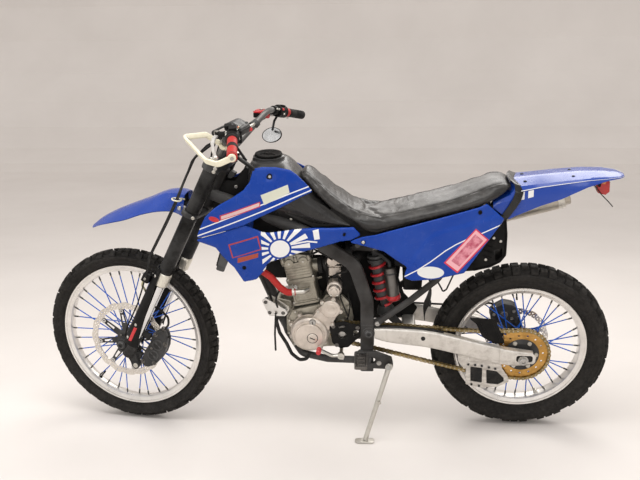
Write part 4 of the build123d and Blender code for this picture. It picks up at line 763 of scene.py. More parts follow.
# ------------------------------------------------------------------ rims, spokes, hubs
def rim_piece(name, body, c, rim_r, rim_w, replaces, spokes, valve_deg):
    k = Kit()
    o, rw = rim_w / 2, rim_w / 2 - 4.0
    seat = rim_r - 21.0
    half = [(rim_r - 0.6, rw), (rim_r - 2.0, rw), (rim_r - 13, rw), (seat + 5, rw - 1), (seat, rw - 6)]
    out = [(seat - 4.4, 9.0), (seat - 3.0, rw - 7.0), (seat - 1.2, rw - 1.6), (rim_r - 13, o - 1.6), (rim_r - 10.2, o - 0.25), (rim_r - 5.5, o - 1.7),
           (rim_r - 2.4, o - 0.6), (rim_r - 0.9, o - 0.1), (rim_r - 0.2, o - 1.0), (rim_r - 0.1, rw + 1.0)]
    left = half[::-1]
    prof = [(r, y) for r, y in left] + [(r, -y) for r, y in half] if False else None
    loop = [(r, y) for r, y in half] + [(r, -y) for r, y in half[::-1]] + [(r, -y) for r, y in out[::-1]] + [(r, y) for r, y in out]
    # order: inner channel left to right, then round the outside back to the left
    loop = ([(rim_r - 0.6, rw), (rim_r - 13, rw), (seat + 5, rw - 1), (seat, rw - 6), (seat, -rw + 6), (seat + 5, -rw + 1), (rim_r - 13, -rw), (rim_r - 0.6, -rw)]
            + [(r, -y) for r, y in out[::-1]] + out)
    k.lathe(loop, c, (0, 1, 0), 180, 0, closed=True)
    # dimples and nipples where the spokes meet the well
    well = seat - 4.0
    for i in range(spokes):
        a = 2 * math.pi * i / spokes
        sy = 1 if i % 2 == 0 else -1
        lean = 1 if (i // 2) % 2 == 0 else -1
        d = Vector((math.cos(a), 0, math.sin(a)))
        p = Vector(c) + d * (well + 0.6) + Vector((0, sy * 5, 0))
        k.lathe([(5.2, 0.6), (5.0, -0.6), (3.6, -1.4), (0.01, -1.6)], p, d, 14, 0)
    a = math.radians(valve_deg)
    d = Vector((math.cos(a), 0, math.sin(a)))
    p = Vector(c) + d * (well - 0.5)
    k.lathe([(0.01, -34), (3.0, -34), (3.4, -33), (3.4, -24), (2.6, -23.5), (2.6, 0), (6.5, -1), (6.5, 1.0), (0.01, 1.0)], p, d, 14, 1)
    # rim lock nut opposite the valve
    a2 = math.radians(valve_deg + 165)
    d2 = Vector((math.cos(a2), 0, math.sin(a2)))
    p2 = Vector(c) + d2 * (well - 0.5)
    k.lathe([(0.01, -20), (3.4, -20), (3.4, -10), (7.0, -9.5), (7.0, -3.0), (9.0, -2.0), (9.0, 0.5), (0.01, 0.5)], p2, d2, 6, 2)
    k.make(name, body, [M["rim"], M["black"], M["zinc"]], replaces=replaces, slot="rim_alloy", sharp=35)


rim_piece("FrontRim", "front_wheel", FRONT, 280.5, 48.0, "front_rim", 36, 308)
rim_piece("RearRim", "rear_wheel", REAR, 242.5, 60.0, "rear_rim", 36, 84.5)


def lacing(k, c, hub_r, flange_y, rim_r, r=1.85):
    well = rim_r - 25.0
    c = Vector(c)
    for i in range(36):
        sy = 1 if i % 2 == 0 else -1
        lean = 1 if (i // 2) % 2 == 0 else -1
        ra = math.radians(10.0 * i)
        ha = ra + lean * math.radians(62)
        y0 = sy * (flange_y + (4.5 if lean > 0 else -4.5))
        a = c + Vector((hub_r * math.cos(ha), y0, hub_r * math.sin(ha)))
        b = c + Vector(((well + 2) * math.cos(ra), sy * 5, (well + 2) * math.sin(ra)))
        d = (b - a).normalized()
        k.rod(a, b - d * 24, r, 8, 0)
        # head of the spoke in the flange
        k.lathe([(0.01, -3.2), (3.0, -3.0), (3.4, -1.2), (2.6, 0.6), (r, 2.2)], a, d, 8, 2)
        # dark threaded end and silver nipple
        k.rod(b - d * 26, b - d * 17, r * 0.92, 8, 1)
        k.lathe([(r, 0), (3.2, 0.3), (3.2, 10.5), (2.7, 11.5), (2.7, 16.5)], b - d * 17.5, d, 8, 1)


def hub_profile_front():
    return [(12.0, -47.6), (19.6, -47.6), (19.6, -38.6), (34.0, -38.0), (35.8, -36.6), (35.8, -24.0), (33.0, -23.0), (23.0, -18.6), (19.4, -10.0), (18.8, 0),
            (19.4, 10.0), (23.0, 18.6), (33.0, 23.0), (35.8, 24.0), (35.8, 36.6), (37.5, 37.6), (39.6, 41.0), (39.6, 54.4), (12.0, 54.4)]


k = Kit()
k.lathe(hub_profile_front(), FRONT, (0, 1, 0), 64, 1)
lacing(k, FRONT, 29, 30, 280.5, 2.1)
k.make("FrontHub", "front_wheel", [M["spoke"], M["black_alloy"], M["zinc"], M["steel"]], replaces="front_hub", slot="blue_spokes", sharp=35)

k = Kit()
k.lathe([(15.0, -61.6), (37.4, -61.6), (37.8, -60.6), (37.8, -43.0), (41.0, -39.6), (41.8, -38.6), (41.8, -26.0), (39.0, -25.0), (29.0, -19.0), (25.4, -11.0), (24.8, 0),
         (25.4, 11.0), (29.0, 19.0), (39.0, 25.0), (41.8, 26.0), (41.8, 38.0), (47.0, 40.6), (57.4, 44.4), (57.8, 45.6), (57.8, 72.8), (57.0, 73.3), (15.0, 73.3)],
        REAR, (0, 1, 0), 72, 1)
lacing(k, REAR, 34, 32, 242.5, 2.2)
k.make("RearHub", "rear_wheel", [M["spoke"], M["black_alloy"], M["zinc"], M["steel"]], replaces="rear_hub", slot="blue_spokes", sharp=35)


# ------------------------------------------------------------------ discs and sprocket
def disc_piece(name, body, c, y, r_out, r_in, hub_r, arms, arm_w, waves, wave_h, rows, slots, replaces, arm_start):
    """Waved, drilled ring carried on a dark star by silver buttons."""
    k = Kit()
    T = 4.0
    u, w = Vector((1, 0, 0)), Vector((0, 0, 1))
    o = Vector(c) + Vector((0, y, 0))
    n_out = waves * 10
    outer = []
    for i in range(n_out):
        a = 2 * math.pi * i / n_out
        outer.append(((r_out - wave_h * (0.5 - 0.5 * math.cos(waves * a)) ** 1.4 - 0.1) * math.cos(a),
                      (r_out - wave_h * (0.5 - 0.5 * math.cos(waves * a)) ** 1.4 - 0.1) * math.sin(a)))
    inner = []
    n_in = arms * 12
    for i in range(n_in):
        a = arm_start + 2 * math.pi * i / n_in
        t = abs(((a - arm_start) * arms / (2 * math.pi) + 0.5) % 1.0 - 0.5) * 2
        rr = r_in + 4.0 - 7.5 * sstep(0.30, 0.06, t) if t < 0.30 else r_in + 4.0
        rr = r_in + 4.0 - 8.0 * (1 - sstep(0.06, 0.28, t))
        inner.append((rr * math.cos(a), rr * math.sin(a)))
    holes = []
    for rr, per, ph, hr in rows:
        cnt = waves * per
        for i in range(cnt):
            a = 2 * math.pi * (i + ph) / cnt
            t = abs(((a - arm_start) * arms / (2 * math.pi) + 0.5) % 1.0 - 0.5) * 2
            holes.append(circle(rr * math.cos(a), rr * math.sin(a), hr, 10))
    k.plate(outer, o, u, w, T - 0.3, holes=[inner] + holes, mat=0, centred=True)
    # star carrier
    star = []
    nn = arms * 16
    hub_o = hub_r + 13.0
    tip = r_in - 3.5
    for i in range(nn):
        a = arm_start + 2 * math.pi * i / nn
        t = abs(((a - arm_start) * arms / (2 * math.pi) + 0.5) % 1.0 - 0.5) * 2
        half = math.atan2(arm_w / 2, tip)
        ang = t * math.pi / arms
        lim = half * 1.0
        if ang <= lim:
            rr = tip
        else:
            rr = max(hub_o, min(tip, (arm_w * 0.5 + 5.0) / math.sin(min(ang, math.pi / 2))))
        star.append((rr * math.cos(a), rr * math.sin(a)))
    hole = circle(0, 0, hub_r + 0.4, 36)
    lighten = []
    k.plate(circle(0, 0, hub_o + 7, 64), o, u, w, T - 0.1, holes=[hole], mat=1, centred=True, bevel=0.6)
    for i in range(arms):
        a = arm_start + 2 * math.pi * i / arms
        ca, sa = math.cos(a), math.sin(a)
        r0, r1 = hub_o - 6, tip
        q = arm_w / 15.0

        def turn(pts):
            return [(x * ca - z * sa, x * sa + z * ca) for x, z in pts]
        arm_pts = rounded([(r0, -13.5 * q), (r1 - 4, -7.6 * q), (r1, -5.5 * q), (r1, 5.5 * q), (r1 - 4, 7.6 * q), (r0, 13.5 * q)], 2)
        slot_pts = rounded([(r0 + (r1 - r0) * 0.42, -5.2 * q), (r0 + (r1 - r0) * 0.80, -3.6 * q), (r0 + (r1 - r0) * 0.80, 3.6 * q), (r0 + (r1 - r0) * 0.42, 5.2 * q)], 2.4)
        k.plate(turn(arm_pts), o, u, w, T - 0.2, holes=[turn(slot_pts)], mat=1, centred=True, bevel=0.6)
    for i in range(arms):
        a = arm_start + 2 * math.pi * i / arms
        d = Vector((math.cos(a), 0, math.sin(a)))
        p = o + d * (r_in - 5.5)
        for sg in (1, -1):
            k.lathe([(9.4, 0.0), (9.4, 0.7), (8.8, 1.1), (7.0, 1.1)], p + Vector((0, sg * 1.2, 0)), (0, sg, 0), 20, 1)
            k.lathe([(7.2, 0.0), (7.2, 1.7), (6.4, 2.1), (3.6, 2.1), (3.2, 1.3)], p + Vector((0, sg * 1.2, 0)), (0, sg, 0), 20, 3)
            k.lathe([(3.3, 1.2), (0.01, 1.2)], p + Vector((0, sg * 1.2, 0)), (0, sg, 0), 16, 1)
    # hub bolts
    for i in range(6):
        a = 2 * math.pi * (i + 0.5) / 6
        d = Vector((math.cos(a), 0, math.sin(a)))
        sg = 1 if y > 0 else -1
        k.hex(o + d * (hub_r + 7.5) + Vector((0, sg * 1.9, 0)), (0, sg, 0), 4.6, 2.6, mat=2)
    k.make(name, body, [M["disc"], M["black_alloy"], M["steel_dark"], M["alloy"]], replaces=replaces, slot="steel", sharp=35)


disc_piece("FrontBrakeDisc", "front_wheel", FRONT, 57.0, 147.0, 119.0, 22.0, 8, 15.0, 16, 4.0,
           [(139.5, 3, 0.0, 2.6), (133.5, 3, 0.5, 2.6), (127.5, 3, 0.0, 2.6)], 0, "front_brake_disc", math.radians(-9))
disc_piece("RearBrakeDisc", "rear_wheel", REAR, -64.0, 118.0, 92.0, 22.0, 5, 22.0, 12, 4.0,
           [(111.0, 3, 0.0, 2.8), (104.5, 3, 0.5, 2.8), (98.5, 3, 0.0, 2.4)], 0, "rear_brake_disc", 0.3)

# sprocket: drilled, with teeth up to the chain's outside
k = Kit()
teeth = 48
PITCH_R = 99.0
outer = []
for i in range(teeth * 8):
    a = 2 * math.pi * i / (teeth * 8)
    t = (i % 8) / 8
    rr = PITCH_R - 3.6 + 8.4 * max(0.0, math.cos(2 * math.pi * (t - 0.5)) * 0.5 + 0.5) ** 0.8
    outer.append((rr * math.cos(a), rr * math.sin(a)))
holes = []
for i in range(6):
    a0 = 2 * math.pi * (i + 0.5) / 6
    seg = []
    for s in range(9):
        a = a0 + (s / 8 - 0.5) * 0.66
        seg.append((76 * math.cos(a), 76 * math.sin(a)))
    for s in range(9):
        a = a0 - (s / 8 - 0.5) * 0.50
        seg.append((61 * math.cos(a), 61 * math.sin(a)))
    holes.append(rounded(seg, 0))
for i in range(24):
    a = 2 * math.pi * (i + 0.5) / 24
    holes.append(circle(85.5 * math.cos(a), 85.5 * math.sin(a), 3.6, 10))
holes = []
for i in range(15):
    a = 2 * math.pi * (i + 0.3) / 15
    holes.append(circle(76.5 * math.cos(a), 76.5 * math.sin(a), 3.9, 14))
holes.append(circle(0, 0, 63, 64))
k.plate(circle(0, 0, 65, 72), Vector(REAR) + Vector((0, 76.0, 0)), (1, 0, 0), (0, 0, 1), 4.6, holes=[circle(0, 0, 41, 48)], mat=2, centred=True, bevel=0.6)
k.plate(outer, Vector(REAR) + Vector((0, 76.0, 0)), (1, 0, 0), (0, 0, 1), 5.0, holes=holes, mat=0, centred=True, bevel=0.5)
for i in range(6):
    a = 2 * math.pi * i / 6
    d = Vector((math.cos(a), 0, math.sin(a)))
    k.lathe([(0.01, 0), (8.0, 0), (8.0, 1.2), (6.6, 1.2), (6.6, 5.6), (6.0, 6.2), (3.2, 6.2), (3.0, 4.0), (0.01, 4.0)], Vector(REAR) + d * 52 + Vector((0, 78.4, 0)), (0, 1, 0), 16, 1)
k.make("RearSprocket", "rear_wheel", [M["gold"], M["zinc"], M["black_alloy"]], replaces="rear_sprocket", slot="gold_sprocket", sharp=35)


# ------------------------------------------------------------------ bodywork skins and outlines
def upper_skin(x, z):
    return smooth_table([-10, 60, 150, 300, 430], [118, 131, 150, 164, 156], x) - 0.16 * max(0.0, z - 900)


def lower_skin(x, z):
    return smooth_table([-160, -50, 60, 200, 300, 430], [123, 123, 130, 150, 160, 155], x) - 0.10 * max(0.0, 790 - z)


def cover_skin(x, z):
    return smooth_table([-640, -560, -430, -300, -200, -90], [103, 117, 129, 132, 127, 121], x) - 0.04 * (z - 800)


UPPER = [(421, 798), (405, 837), (383, 881), (357, 907), (329, 927), (286, 950), (248, 975), (227, 1002), (216, 1036), (210, 1046), (184, 1050),
         (139, 1048), (92, 1036), (69, 1018), (47, 994), (29, 972), (18, 957), (57, 941), (125, 910), (195, 880), (250, 852)]
UPPER_R = [(421, 798), (405, 837), (383, 881), (357, 907), (329, 927), (286, 946), (252, 962), (234, 978), (222, 990), (208, 997), (184, 1000),
           (139, 998), (92, 988), (69, 978), (47, 969), (29, 962), (18, 957), (57, 941), (125, 910), (195, 880), (250, 852)]
LOWER = [(419, 796), (413, 786), (356, 766), (336, 736), (296, 689), (264, 629), (220, 640), (186, 680), (182, 696), (168, 708), (126, 718),
         (73, 735), (-6, 757), (-74, 779), (-110, 784), (-146, 804), (-121, 832), (-43, 829), (18, 830), (88, 826), (166, 819), (191, 822), (248, 850)]
COVER = [(-96, 778), (-151, 798), (-197, 807), (-269, 830), (-365, 857), (-446, 879), (-545, 906), (-568, 917), (-628, 861), (-626, 853), (-569, 769),
         (-501, 667), (-436, 654), (-403, 646), (-321, 642), (-294, 653), (-297, 672), (-304, 690), (-224, 747), (-160, 764)]
COVER_R = [(-96, 778), (-151, 798), (-197, 807), (-269, 830), (-365, 857), (-446, 879), (-545, 906), (-568, 917), (-628, 889), (-560, 868),
           (-440, 826), (-360, 782), (-320, 748), (-224, 744), (-160, 764)]


def seg_dist(p, a, b):
    ax, az, bx, bz = a[0], a[1], b[0], b[1]
    dx, dz = bx - ax, bz - az
    L = dx * dx + dz * dz
    t = max(0.0, min(1.0, ((p[0] - ax) * dx + (p[1] - az) * dz) / L)) if L else 0.0
    qx, qz = ax + dx * t, az + dz * t
    d = math.hypot(p[0] - qx, p[1] - qz)
    side = dx * (p[1] - az) - dz * (p[0] - ax)
    return d, (1 if side > 0 else -1)


def line_dist(p, line):
    """Signed distance to an open line; positive on its left."""
    best = (1e9, 1)
    for a, b in zip(line, line[1:]):
        d = seg_dist(p, a, b)
        if d[0] < best[0] - 1e-9:
            best = d
    return best[0] * best[1]


def loop_dist(p, loop):
    return min(seg_dist(p, loop[i - 1], loop[i])[0] for i in range(len(loop)))


def skin_mesh(k, outline, skin, sign, feat=None, mat=0, grid=8.0, lip=3.0, lip_w=5.0, corner=6.0, round_n=3):
    """Adds one curved panel, cut from its side outline, with rolled edges, to a kit."""
    loop = rounded(outline, corner, round_n)
    bm = bmesh.new()
    vs = [bm.verts.new((x, 0, z)) for x, z in loop]
    f = bm.faces.new(vs)
    for w in (1.2, 2.4):
        bmesh.ops.inset_region(bm, faces=[f], thickness=w, depth=0.0, use_boundary=True, use_even_offset=True)
    xs = [p[0] for p in loop]
    zs = [p[1] for p in loop]
    x = min(xs) + grid
    while x < max(xs):
        bmesh.ops.bisect_plane(bm, geom=bm.verts[:] + bm.edges[:] + bm.faces[:], plane_co=(x, 0, 0), plane_no=(1, 0, 0), dist=1e-4)
        x += grid
    z = min(zs) + grid
    while z < max(zs):
        bmesh.ops.bisect_plane(bm, geom=bm.verts[:] + bm.edges[:] + bm.faces[:], plane_co=(0, 0, z), plane_no=(0, 0, 1), dist=1e-4)
        z += grid
    bmesh.ops.remove_doubles(bm, verts=bm.verts, dist=0.05)
    for v in bm.verts:
        p = (v.co.x, v.co.z)
        d = loop_dist(p, loop)
        drop = 0.0
        if d < lip_w:
            q = 1 - d / lip_w
            drop = lip * (1 - math.sqrt(max(0.0, 1 - q * q)))
        y = skin(*p) - drop + (feat(p[0], p[1], d) if feat else 0.0)
        v.co.y = sign * y
    bm.normal_update()
    tot = sum(f.normal.y * f.calc_area() for f in bm.faces)
    if tot * sign < 0:
        bmesh.ops.reverse_faces(bm, faces=bm.faces)
    bm.verts.index_update()
    k.add([v.co.copy() for v in bm.verts], [[v.index for v in f.verts] for f in bm.faces], mat)
    bm.free()


class Deco:
    """Masks drawn in the side plane, for stripes and plain patches."""

    def __init__(self, k):
        self.k = k
        self.u, self.v = k.uv()

    def half(self, p, q, soft=0.0008):
        """1 on the left of the line from p to q."""
        k = self.k
        dx, dz = (q[0] - p[0]) / 1000, (q[1] - p[1]) / 1000
        L = math.hypot(dx, dz)
        a, b = -dz / L, dx / L
        c = -(a * p[0] + b * p[1]) / 1000
        s = k.math("MULTIPLY_ADD", self.u, a, c)
        s = k.math("MULTIPLY_ADD", self.v, b, s)
        return k.math("MULTIPLY_ADD", s, 1.0 / soft, 0.5, clamp=True)

    def poly(self, pts, soft=0.0008):
        """Convex patch, corners listed anticlockwise seen from the left... either way round works."""
        area = sum(pts[i - 1][0] * pts[i][1] - pts[i][0] * pts[i - 1][1] for i in range(len(pts)))
        if area < 0:
            pts = pts[::-1]
        m = None
        for i in range(len(pts)):
            h = self.half(pts[i - 1], pts[i], soft)
            m = h if m is None else self.k.math("MULTIPLY", m, h)
        return m

    def curve(self, a, b, c, half_w, soft=0.0008):
        """Stripe along v = a u^2 + b u + c."""
        k = self.k
        t = k.math("MULTIPLY_ADD", self.u, a, b)
        t = k.math("MULTIPLY_ADD", t, self.u, c)
        d = k.math("ABSOLUTE", k.math("SUBTRACT", self.v, t))
        d = k.math("SUBTRACT", half_w / 1000, d)
        return k.math("MULTIPLY_ADD", d, 1.0 / soft, 0.5, clamp=True)

    def line(self, pts, half_w, soft=0.0008):
        """Stripe along a run of straight stretches."""
        out = None
        for p, q in zip(pts, pts[1:]):
            d = Vector((q[0] - p[0], q[1] - p[1])).normalized()
            n = Vector((-d.y, d.x)) * half_w
            e = d * half_w * 0.3
            m = self.poly([(p[0] - n.x - e.x, p[1] - n.y - e.y), (q[0] - n.x + e.x, q[1] - n.y + e.y), (q[0] + n.x + e.x, q[1] + n.y + e.y),
                           (p[0] + n.x - e.x, p[1] + n.y - e.y)], soft)
            out = m if out is None else self.k.math("MAXIMUM", out, m)
        return out

    def radius(self, cx, cz, sx=1.0, sz=1.0, tilt=0.0):
        k = self.k
        c, s = math.cos(tilt), math.sin(tilt)
        du = k.math("SUBTRACT", self.u, cx / 1000)
        dv = k.math("SUBTRACT", self.v, cz / 1000)
        x = k.math("MULTIPLY_ADD", du, c, k.math("MULTIPLY", dv, s))
        y = k.math("MULTIPLY_ADD", du, -s, k.math("MULTIPLY", dv, c))
        x = k.math("MULTIPLY", x, 1.0 / sx)
        y = k.math("MULTIPLY", y, 1.0 / sz)
        return k.math("SQRT", k.math("ADD", k.math("MULTIPLY", x, x), k.math("MULTIPLY", y, y))), du, dv

    def below(self, val, lim, soft=0.0008):
        k = self.k
        return k.math("MULTIPLY_ADD", k.math("SUBTRACT", lim, val), 1.0 / soft, 0.5, clamp=True)


def painted(name, layers, base=BLUE, rough=0.22, coat=0.1, seams=()):
    """Blue plastic with drawn stripes and plain patches."""
    k = Nodes(name)
    d = Deco(k)
    var = k.noise(5.0, 3.0)
    c = k.mix(k.ramp(var, [(0.35, 0.0), (0.7, 1.0)]), darker(base, 0.92), toward(base, (0.2, 0.35, 0.7), 0.05))
    for make, col in layers:
        m = make(d)
        if callable(col):
            col = col(k, d)
        c = k.mix(m, c, col)
    sc = k.noise(420.0, 2.0, 0.5, stretch=(1.0, 1.0, 0.06), dist=0.4)
    c = k.mix(k.math("MULTIPLY", k.ramp(sc, [(0.72, 0.0), (0.82, 1.0)]), 0.10), c, (0.55, 0.58, 0.62))
    dust = k.ramp(k.noise(30.0, 7.0, 0.7), [(0.52, 0.0), (0.85, 1.0)])
    c = k.mix(k.math("MULTIPLY", dust, 0.05), c, (0.5, 0.47, 0.42))
    r = k.ramp(k.noise(16.0, 4.0), [(0.3, rough * 0.8), (0.75, rough * 1.5)])
    return k.done(c, r, 0.0, k.bump(sc, 0.03, 0.0004), coat, 0.10, spec=0.2)


WHITE = (0.80, 0.80, 0.79)
PALE = (0.62, 0.63, 0.52)


def rays(d):
    k = d.k
    r, du, dv = d.radius(134, 757)
    ang = k.math("ARCTAN2", dv, du)
    s = k.math("MULTIPLY_ADD", k.math("SINE", k.math("MULTIPLY", ang, 17.0)), 6.0, 0.6, clamp=True)
    ring = k.math("MULTIPLY", d.below(k.math("MULTIPLY", r, -1.0), -0.040), d.below(r, 0.104))
    m = k.math("MULTIPLY", s, ring)
    disc = d.below(r, 0.033)
    m = k.math("MAXIMUM", m, disc)
    m = k.math("MAXIMUM", m, d.poly([(20, 822), (0, 826), (-4, 790), (15, 787)]))
    m = k.math("MAXIMUM", m, d.line([(96, 772), (40, 782), (6, 778)], 3.0))
    return k.math("MULTIPLY", m, d.poly([(-8, 700), (196, 650), (196, 860), (-8, 860)]))


def mottled(col_a, col_b, scale, lo, hi):
    def f(k, d):
        return k.mix(k.ramp(k.noise(scale, 3.0, 0.6), [(lo, 0.0), (hi, 1.0)]), col_a, col_b)
    return f


STR1 = (-0.22037037, -0.28292593, 0.9854)

S1 = (-0.18182786, -0.29742792, 0.98531699)
S2 = (-0.0480349, -0.36887958, 0.97158561)
M["shroud_l"] = painted("left_shroud_paint", [
    (lambda d: d.curve(*S1, 2.1), WHITE),
    (lambda d: d.curve(*S2, 2.1), WHITE),
    (lambda d: d.poly([(191, 957), (100, 988), (95, 959), (180, 922)]), PALE),
    (lambda d: d.poly([(331, 870), (262, 893), (193, 917), (193, 935), (262, 912), (331, 889)]), (0.50, 0.03, 0.04)),
    (lambda d: d.below(d.radius(352, 874, 1.9, 1.0, 0.33)[0], 0.0095), (0.50, 0.03, 0.04)),
    (lambda d: d.poly([(327, 874), (262, 896), (196, 919), (196, 931), (262, 908.5), (327, 886)]), (0.66, 0.46, 0.46)),
    (lambda d: d.k.math("SUBTRACT", d.poly([(299, 727), (309, 781), (206, 811), (197, 757)]), d.poly([(295, 731), (304, 777.5), (209.5, 805), (201, 760)])), (0.42, 0.05, 0.03)),
    (lambda d: d.poly([(280, 728), (208, 745), (210, 728), (282, 708)]), (0.36, 0.07, 0.04)),
    (rays, WHITE),
])
M["shroud_r"] = painted("right_shroud_paint", [
    (lambda d: d.curve(*S1, 2.1), WHITE),
    (lambda d: d.curve(*S2, 2.1), WHITE),
    (rays, WHITE),
])
LINE_C = [(-286, 654), (-340, 684), (-383, 714), (-433, 754), (-468, 776), (-500, 792), (-560, 816), (-640, 850)]
M["cover_l"] = painted("left_cover_paint", [
    (lambda d: d.line(LINE_C, 1.9), WHITE),
    (lambda d: d.poly([(-534, 832), (-580, 789), (-477, 669), (-429, 710)]), (0.62, 0.04, 0.07)),
    (lambda d: d.poly([(-534, 826), (-573, 789.5), (-477.5, 676), (-436, 711)]), (0.80, 0.42, 0.46)),
    (lambda d: d.poly([(-532, 812), (-561, 787), (-483, 694), (-454, 716)]), mottled((0.72, 0.30, 0.36), (0.42, 0.06, 0.11), 46.0, 0.36, 0.66)),
    (lambda d: d.below(d.radius(-385, 674, 2.05, 1.0, 0.06)[0], 0.0225), (0.74, 0.75, 0.73)),
])
M["cover_r"] = painted("right_cover_paint", [(lambda d: d.line(LINE_C, 1.9), WHITE)])


def upper_feat(x, z, d):
    # a shallow scoop along the middle, a crisp shoulder above the stripes and a bolt recess
    s = line_dist((x, z), [(430, 850), (300, 905), (160, 958), (20, 1000)])
    h = 2.2 * sstep(-14, 14, -s) - 1.6 * math.exp(-((s - 34) / 22) ** 2)
    b = math.hypot(x - 160, z - 1017)
    h -= 4.2 * (1 - sstep(9.0, 13.5, b))
    return h


def lower_feat(x, z, d):
    s = line_dist((x, z), [(300, 800), (190, 812), (60, 818), (-146, 822)])
    h = -2.6 * sstep(0.0, 7.0, -s) if x < 240 else 0.0
    h += 1.6 * math.exp(-((s + 3) / 5) ** 2) if x < 240 else 0.0
    # front edge turns in toward the radiator
    s2 = line_dist((x, z), [(252, 628), (300, 712), (345, 752), (430, 800)])
    h -= 3.5 * sstep(16.0, 2.0, abs(s2)) if z < 790 else 0.0
    for bx, bz in ((-88, 806), (260, 688)):
        b = math.hypot(x - bx, z - bz)
        h -= 2.4 * (1 - sstep(8.0, 11.0, b))
    return h


CREASE = [(-286, 650), (-296, 676), (-312, 706), (-341, 751), (-368, 790), (-392, 812), (-428, 826), (-464, 836), (-548, 858), (-640, 884)]
SEAM = [(-160, 806), (-175, 795), (-229, 752), (-303, 689), (-330, 664)]


def cover_feat(x, z, d):
    s = line_dist((x, z), CREASE)       # positive below and behind
    h = 3.4 * sstep(-2.0, 3.0, s)
    low = line_dist((x, z), LINE_C)
    h -= 0.055 * max(0.0, -low if False else (low if low > 0 else 0.0))
    g = abs(line_dist((x, z), SEAM))
    if x > -320:
        h -= 1.8 * (1 - sstep(1.0, 3.4, g))
    for bx, bz in ((-153, 779), (-546, 887)):
        b = math.hypot(x - bx, z - bz)
        h -= 2.4 * (1 - sstep(8.0, 11.0, b))
    return h


def cover_feat_r(x, z, d):
    h = cover_feat(x, z, d)
    return h


def screw(k, x, z, skin, sign, r=6.5, h=3.5, mat=1, washer_mat=2, sink=0.0, ring=9.5):
    y = skin(x, z)
    dy = (skin(x + 4, z) - skin(x - 4, z)) / 8
    dz = (skin(x, z + 4) - skin(x, z - 4)) / 8
    n = Vector((-dy, 1.0, -dz)).normalized()
    n.y *= sign
    p = Vector((x, sign * (y - sink), z))
    k.lathe([(0.01, -2.5), (ring, -2.5), (ring, 0.4), (ring - 1.0, 1.0), (r + 0.3, 0.6), (0.01, 0.6)], p, n, 20, washer_mat)
    k.hex(p + n * 0.5, n, r, h, mat=mat)


def shroud(side_name, sign, paint, cad):
    k = Kit()
    skin_mesh(k, UPPER if sign > 0 else UPPER_R, upper_skin, sign, upper_feat, 0, grid=7.0, lip=3.2, lip_w=6.0, corner=10)
    skin_mesh(k, LOWER, lower_skin, sign, lower_feat, 0, grid=7.0, lip=3.2, lip_w=6.0, corner=8)
    k.make(side_name + "Shroud", "chassis", [paint, M["zinc"], M["black"]], replaces=cad, slot="blue_plastic", solidify=2.8, recalc=False, sharp=50)
    b = Kit()
    screw(b, 160, 1017 if sign > 0 else 978, upper_skin, sign, 5.2, 2.4, 1, 2, sink=1.2, ring=11.0)
    screw(b, -88, 806, lower_skin, sign, 5.6, 3.2, 2, 2, sink=3.0, ring=8.0)
    screw(b, 260, 688, lower_skin, sign, 5.6, 3.2, 2, 2, sink=2.2, ring=8.0)
    b.make(side_name + "ShroudBolts", "chassis", [paint, M["zinc"], M["black"]], slot="steel", sharp=35)


shroud("Left", 1, M["shroud_l"], "left_shroud")
shroud("Right", -1, M["shroud_r"], "right_shroud")

k = Kit()
skin_mesh(k, COVER, cover_skin, 1, cover_feat, 0, grid=7.0, lip=3.0, lip_w=5.0, corner=8)
k.make("LeftSideCover", "chassis", [M["cover_l"]], replaces="left_side_cover", slot="blue_plastic", solidify=2.8, recalc=False, sharp=50)
k = Kit()
skin_mesh(k, COVER_R, cover_skin, -1, cover_feat_r, 0, grid=7.0, lip=3.0, lip_w=5.0, corner=8)
k.make("RightSideCover", "chassis", [M["cover_r"]], replaces="right_side_cover", slot="blue_plastic", solidify=2.8, recalc=False, sharp=50)
k = Kit()
for sg in (1, -1):
    screw(k, -153, 779, cover_skin, sg, 6.0, 3.4, 0, 1, sink=2.2, ring=8.6)
    screw(k, -546, 887, cover_skin, sg, 5.6, 3.0, 1, 1, sink=2.2, ring=8.0)
k.make("CoverBolts", "chassis", [M["zinc"], M["black"]], slot="steel", sharp=35)

# ------------------------------------------------------------------ tank
TANK = [
    (245, [(45, 896), (62, 930), (60, 985), (42, 1012), (22, 1020), (0, 1022)]),
    (226, [(60, 888), (95, 930), (97, 992), (74, 1028), (40, 1040), (0, 1043)]),
    (178, [(75, 873), (112, 925), (117, 990), (90, 1032), (55, 1044), (0, 1046)]),
    (128, [(80, 858), (115, 912), (116, 980), (90, 1024), (55, 1038), (0, 1041)]),
    (100, [(82, 850), (114, 905), (114, 966), (92, 1006), (55, 1020), (0, 1023)]),
    (70, [(85, 843), (112, 895), (111, 944), (90, 976), (55, 988), (0, 991)]),
    (20, [(88, 829), (109, 862), (107, 902), (88, 928), (50, 936), (0, 938)]),
    (-50, [(88, 828), (102, 836), (100, 856), (84, 868), (50, 872), (0, 873)]),
    (-106, [(88, 827), (98, 829), (96, 833), (84, 836), (50, 837), (0, 837)]),
]


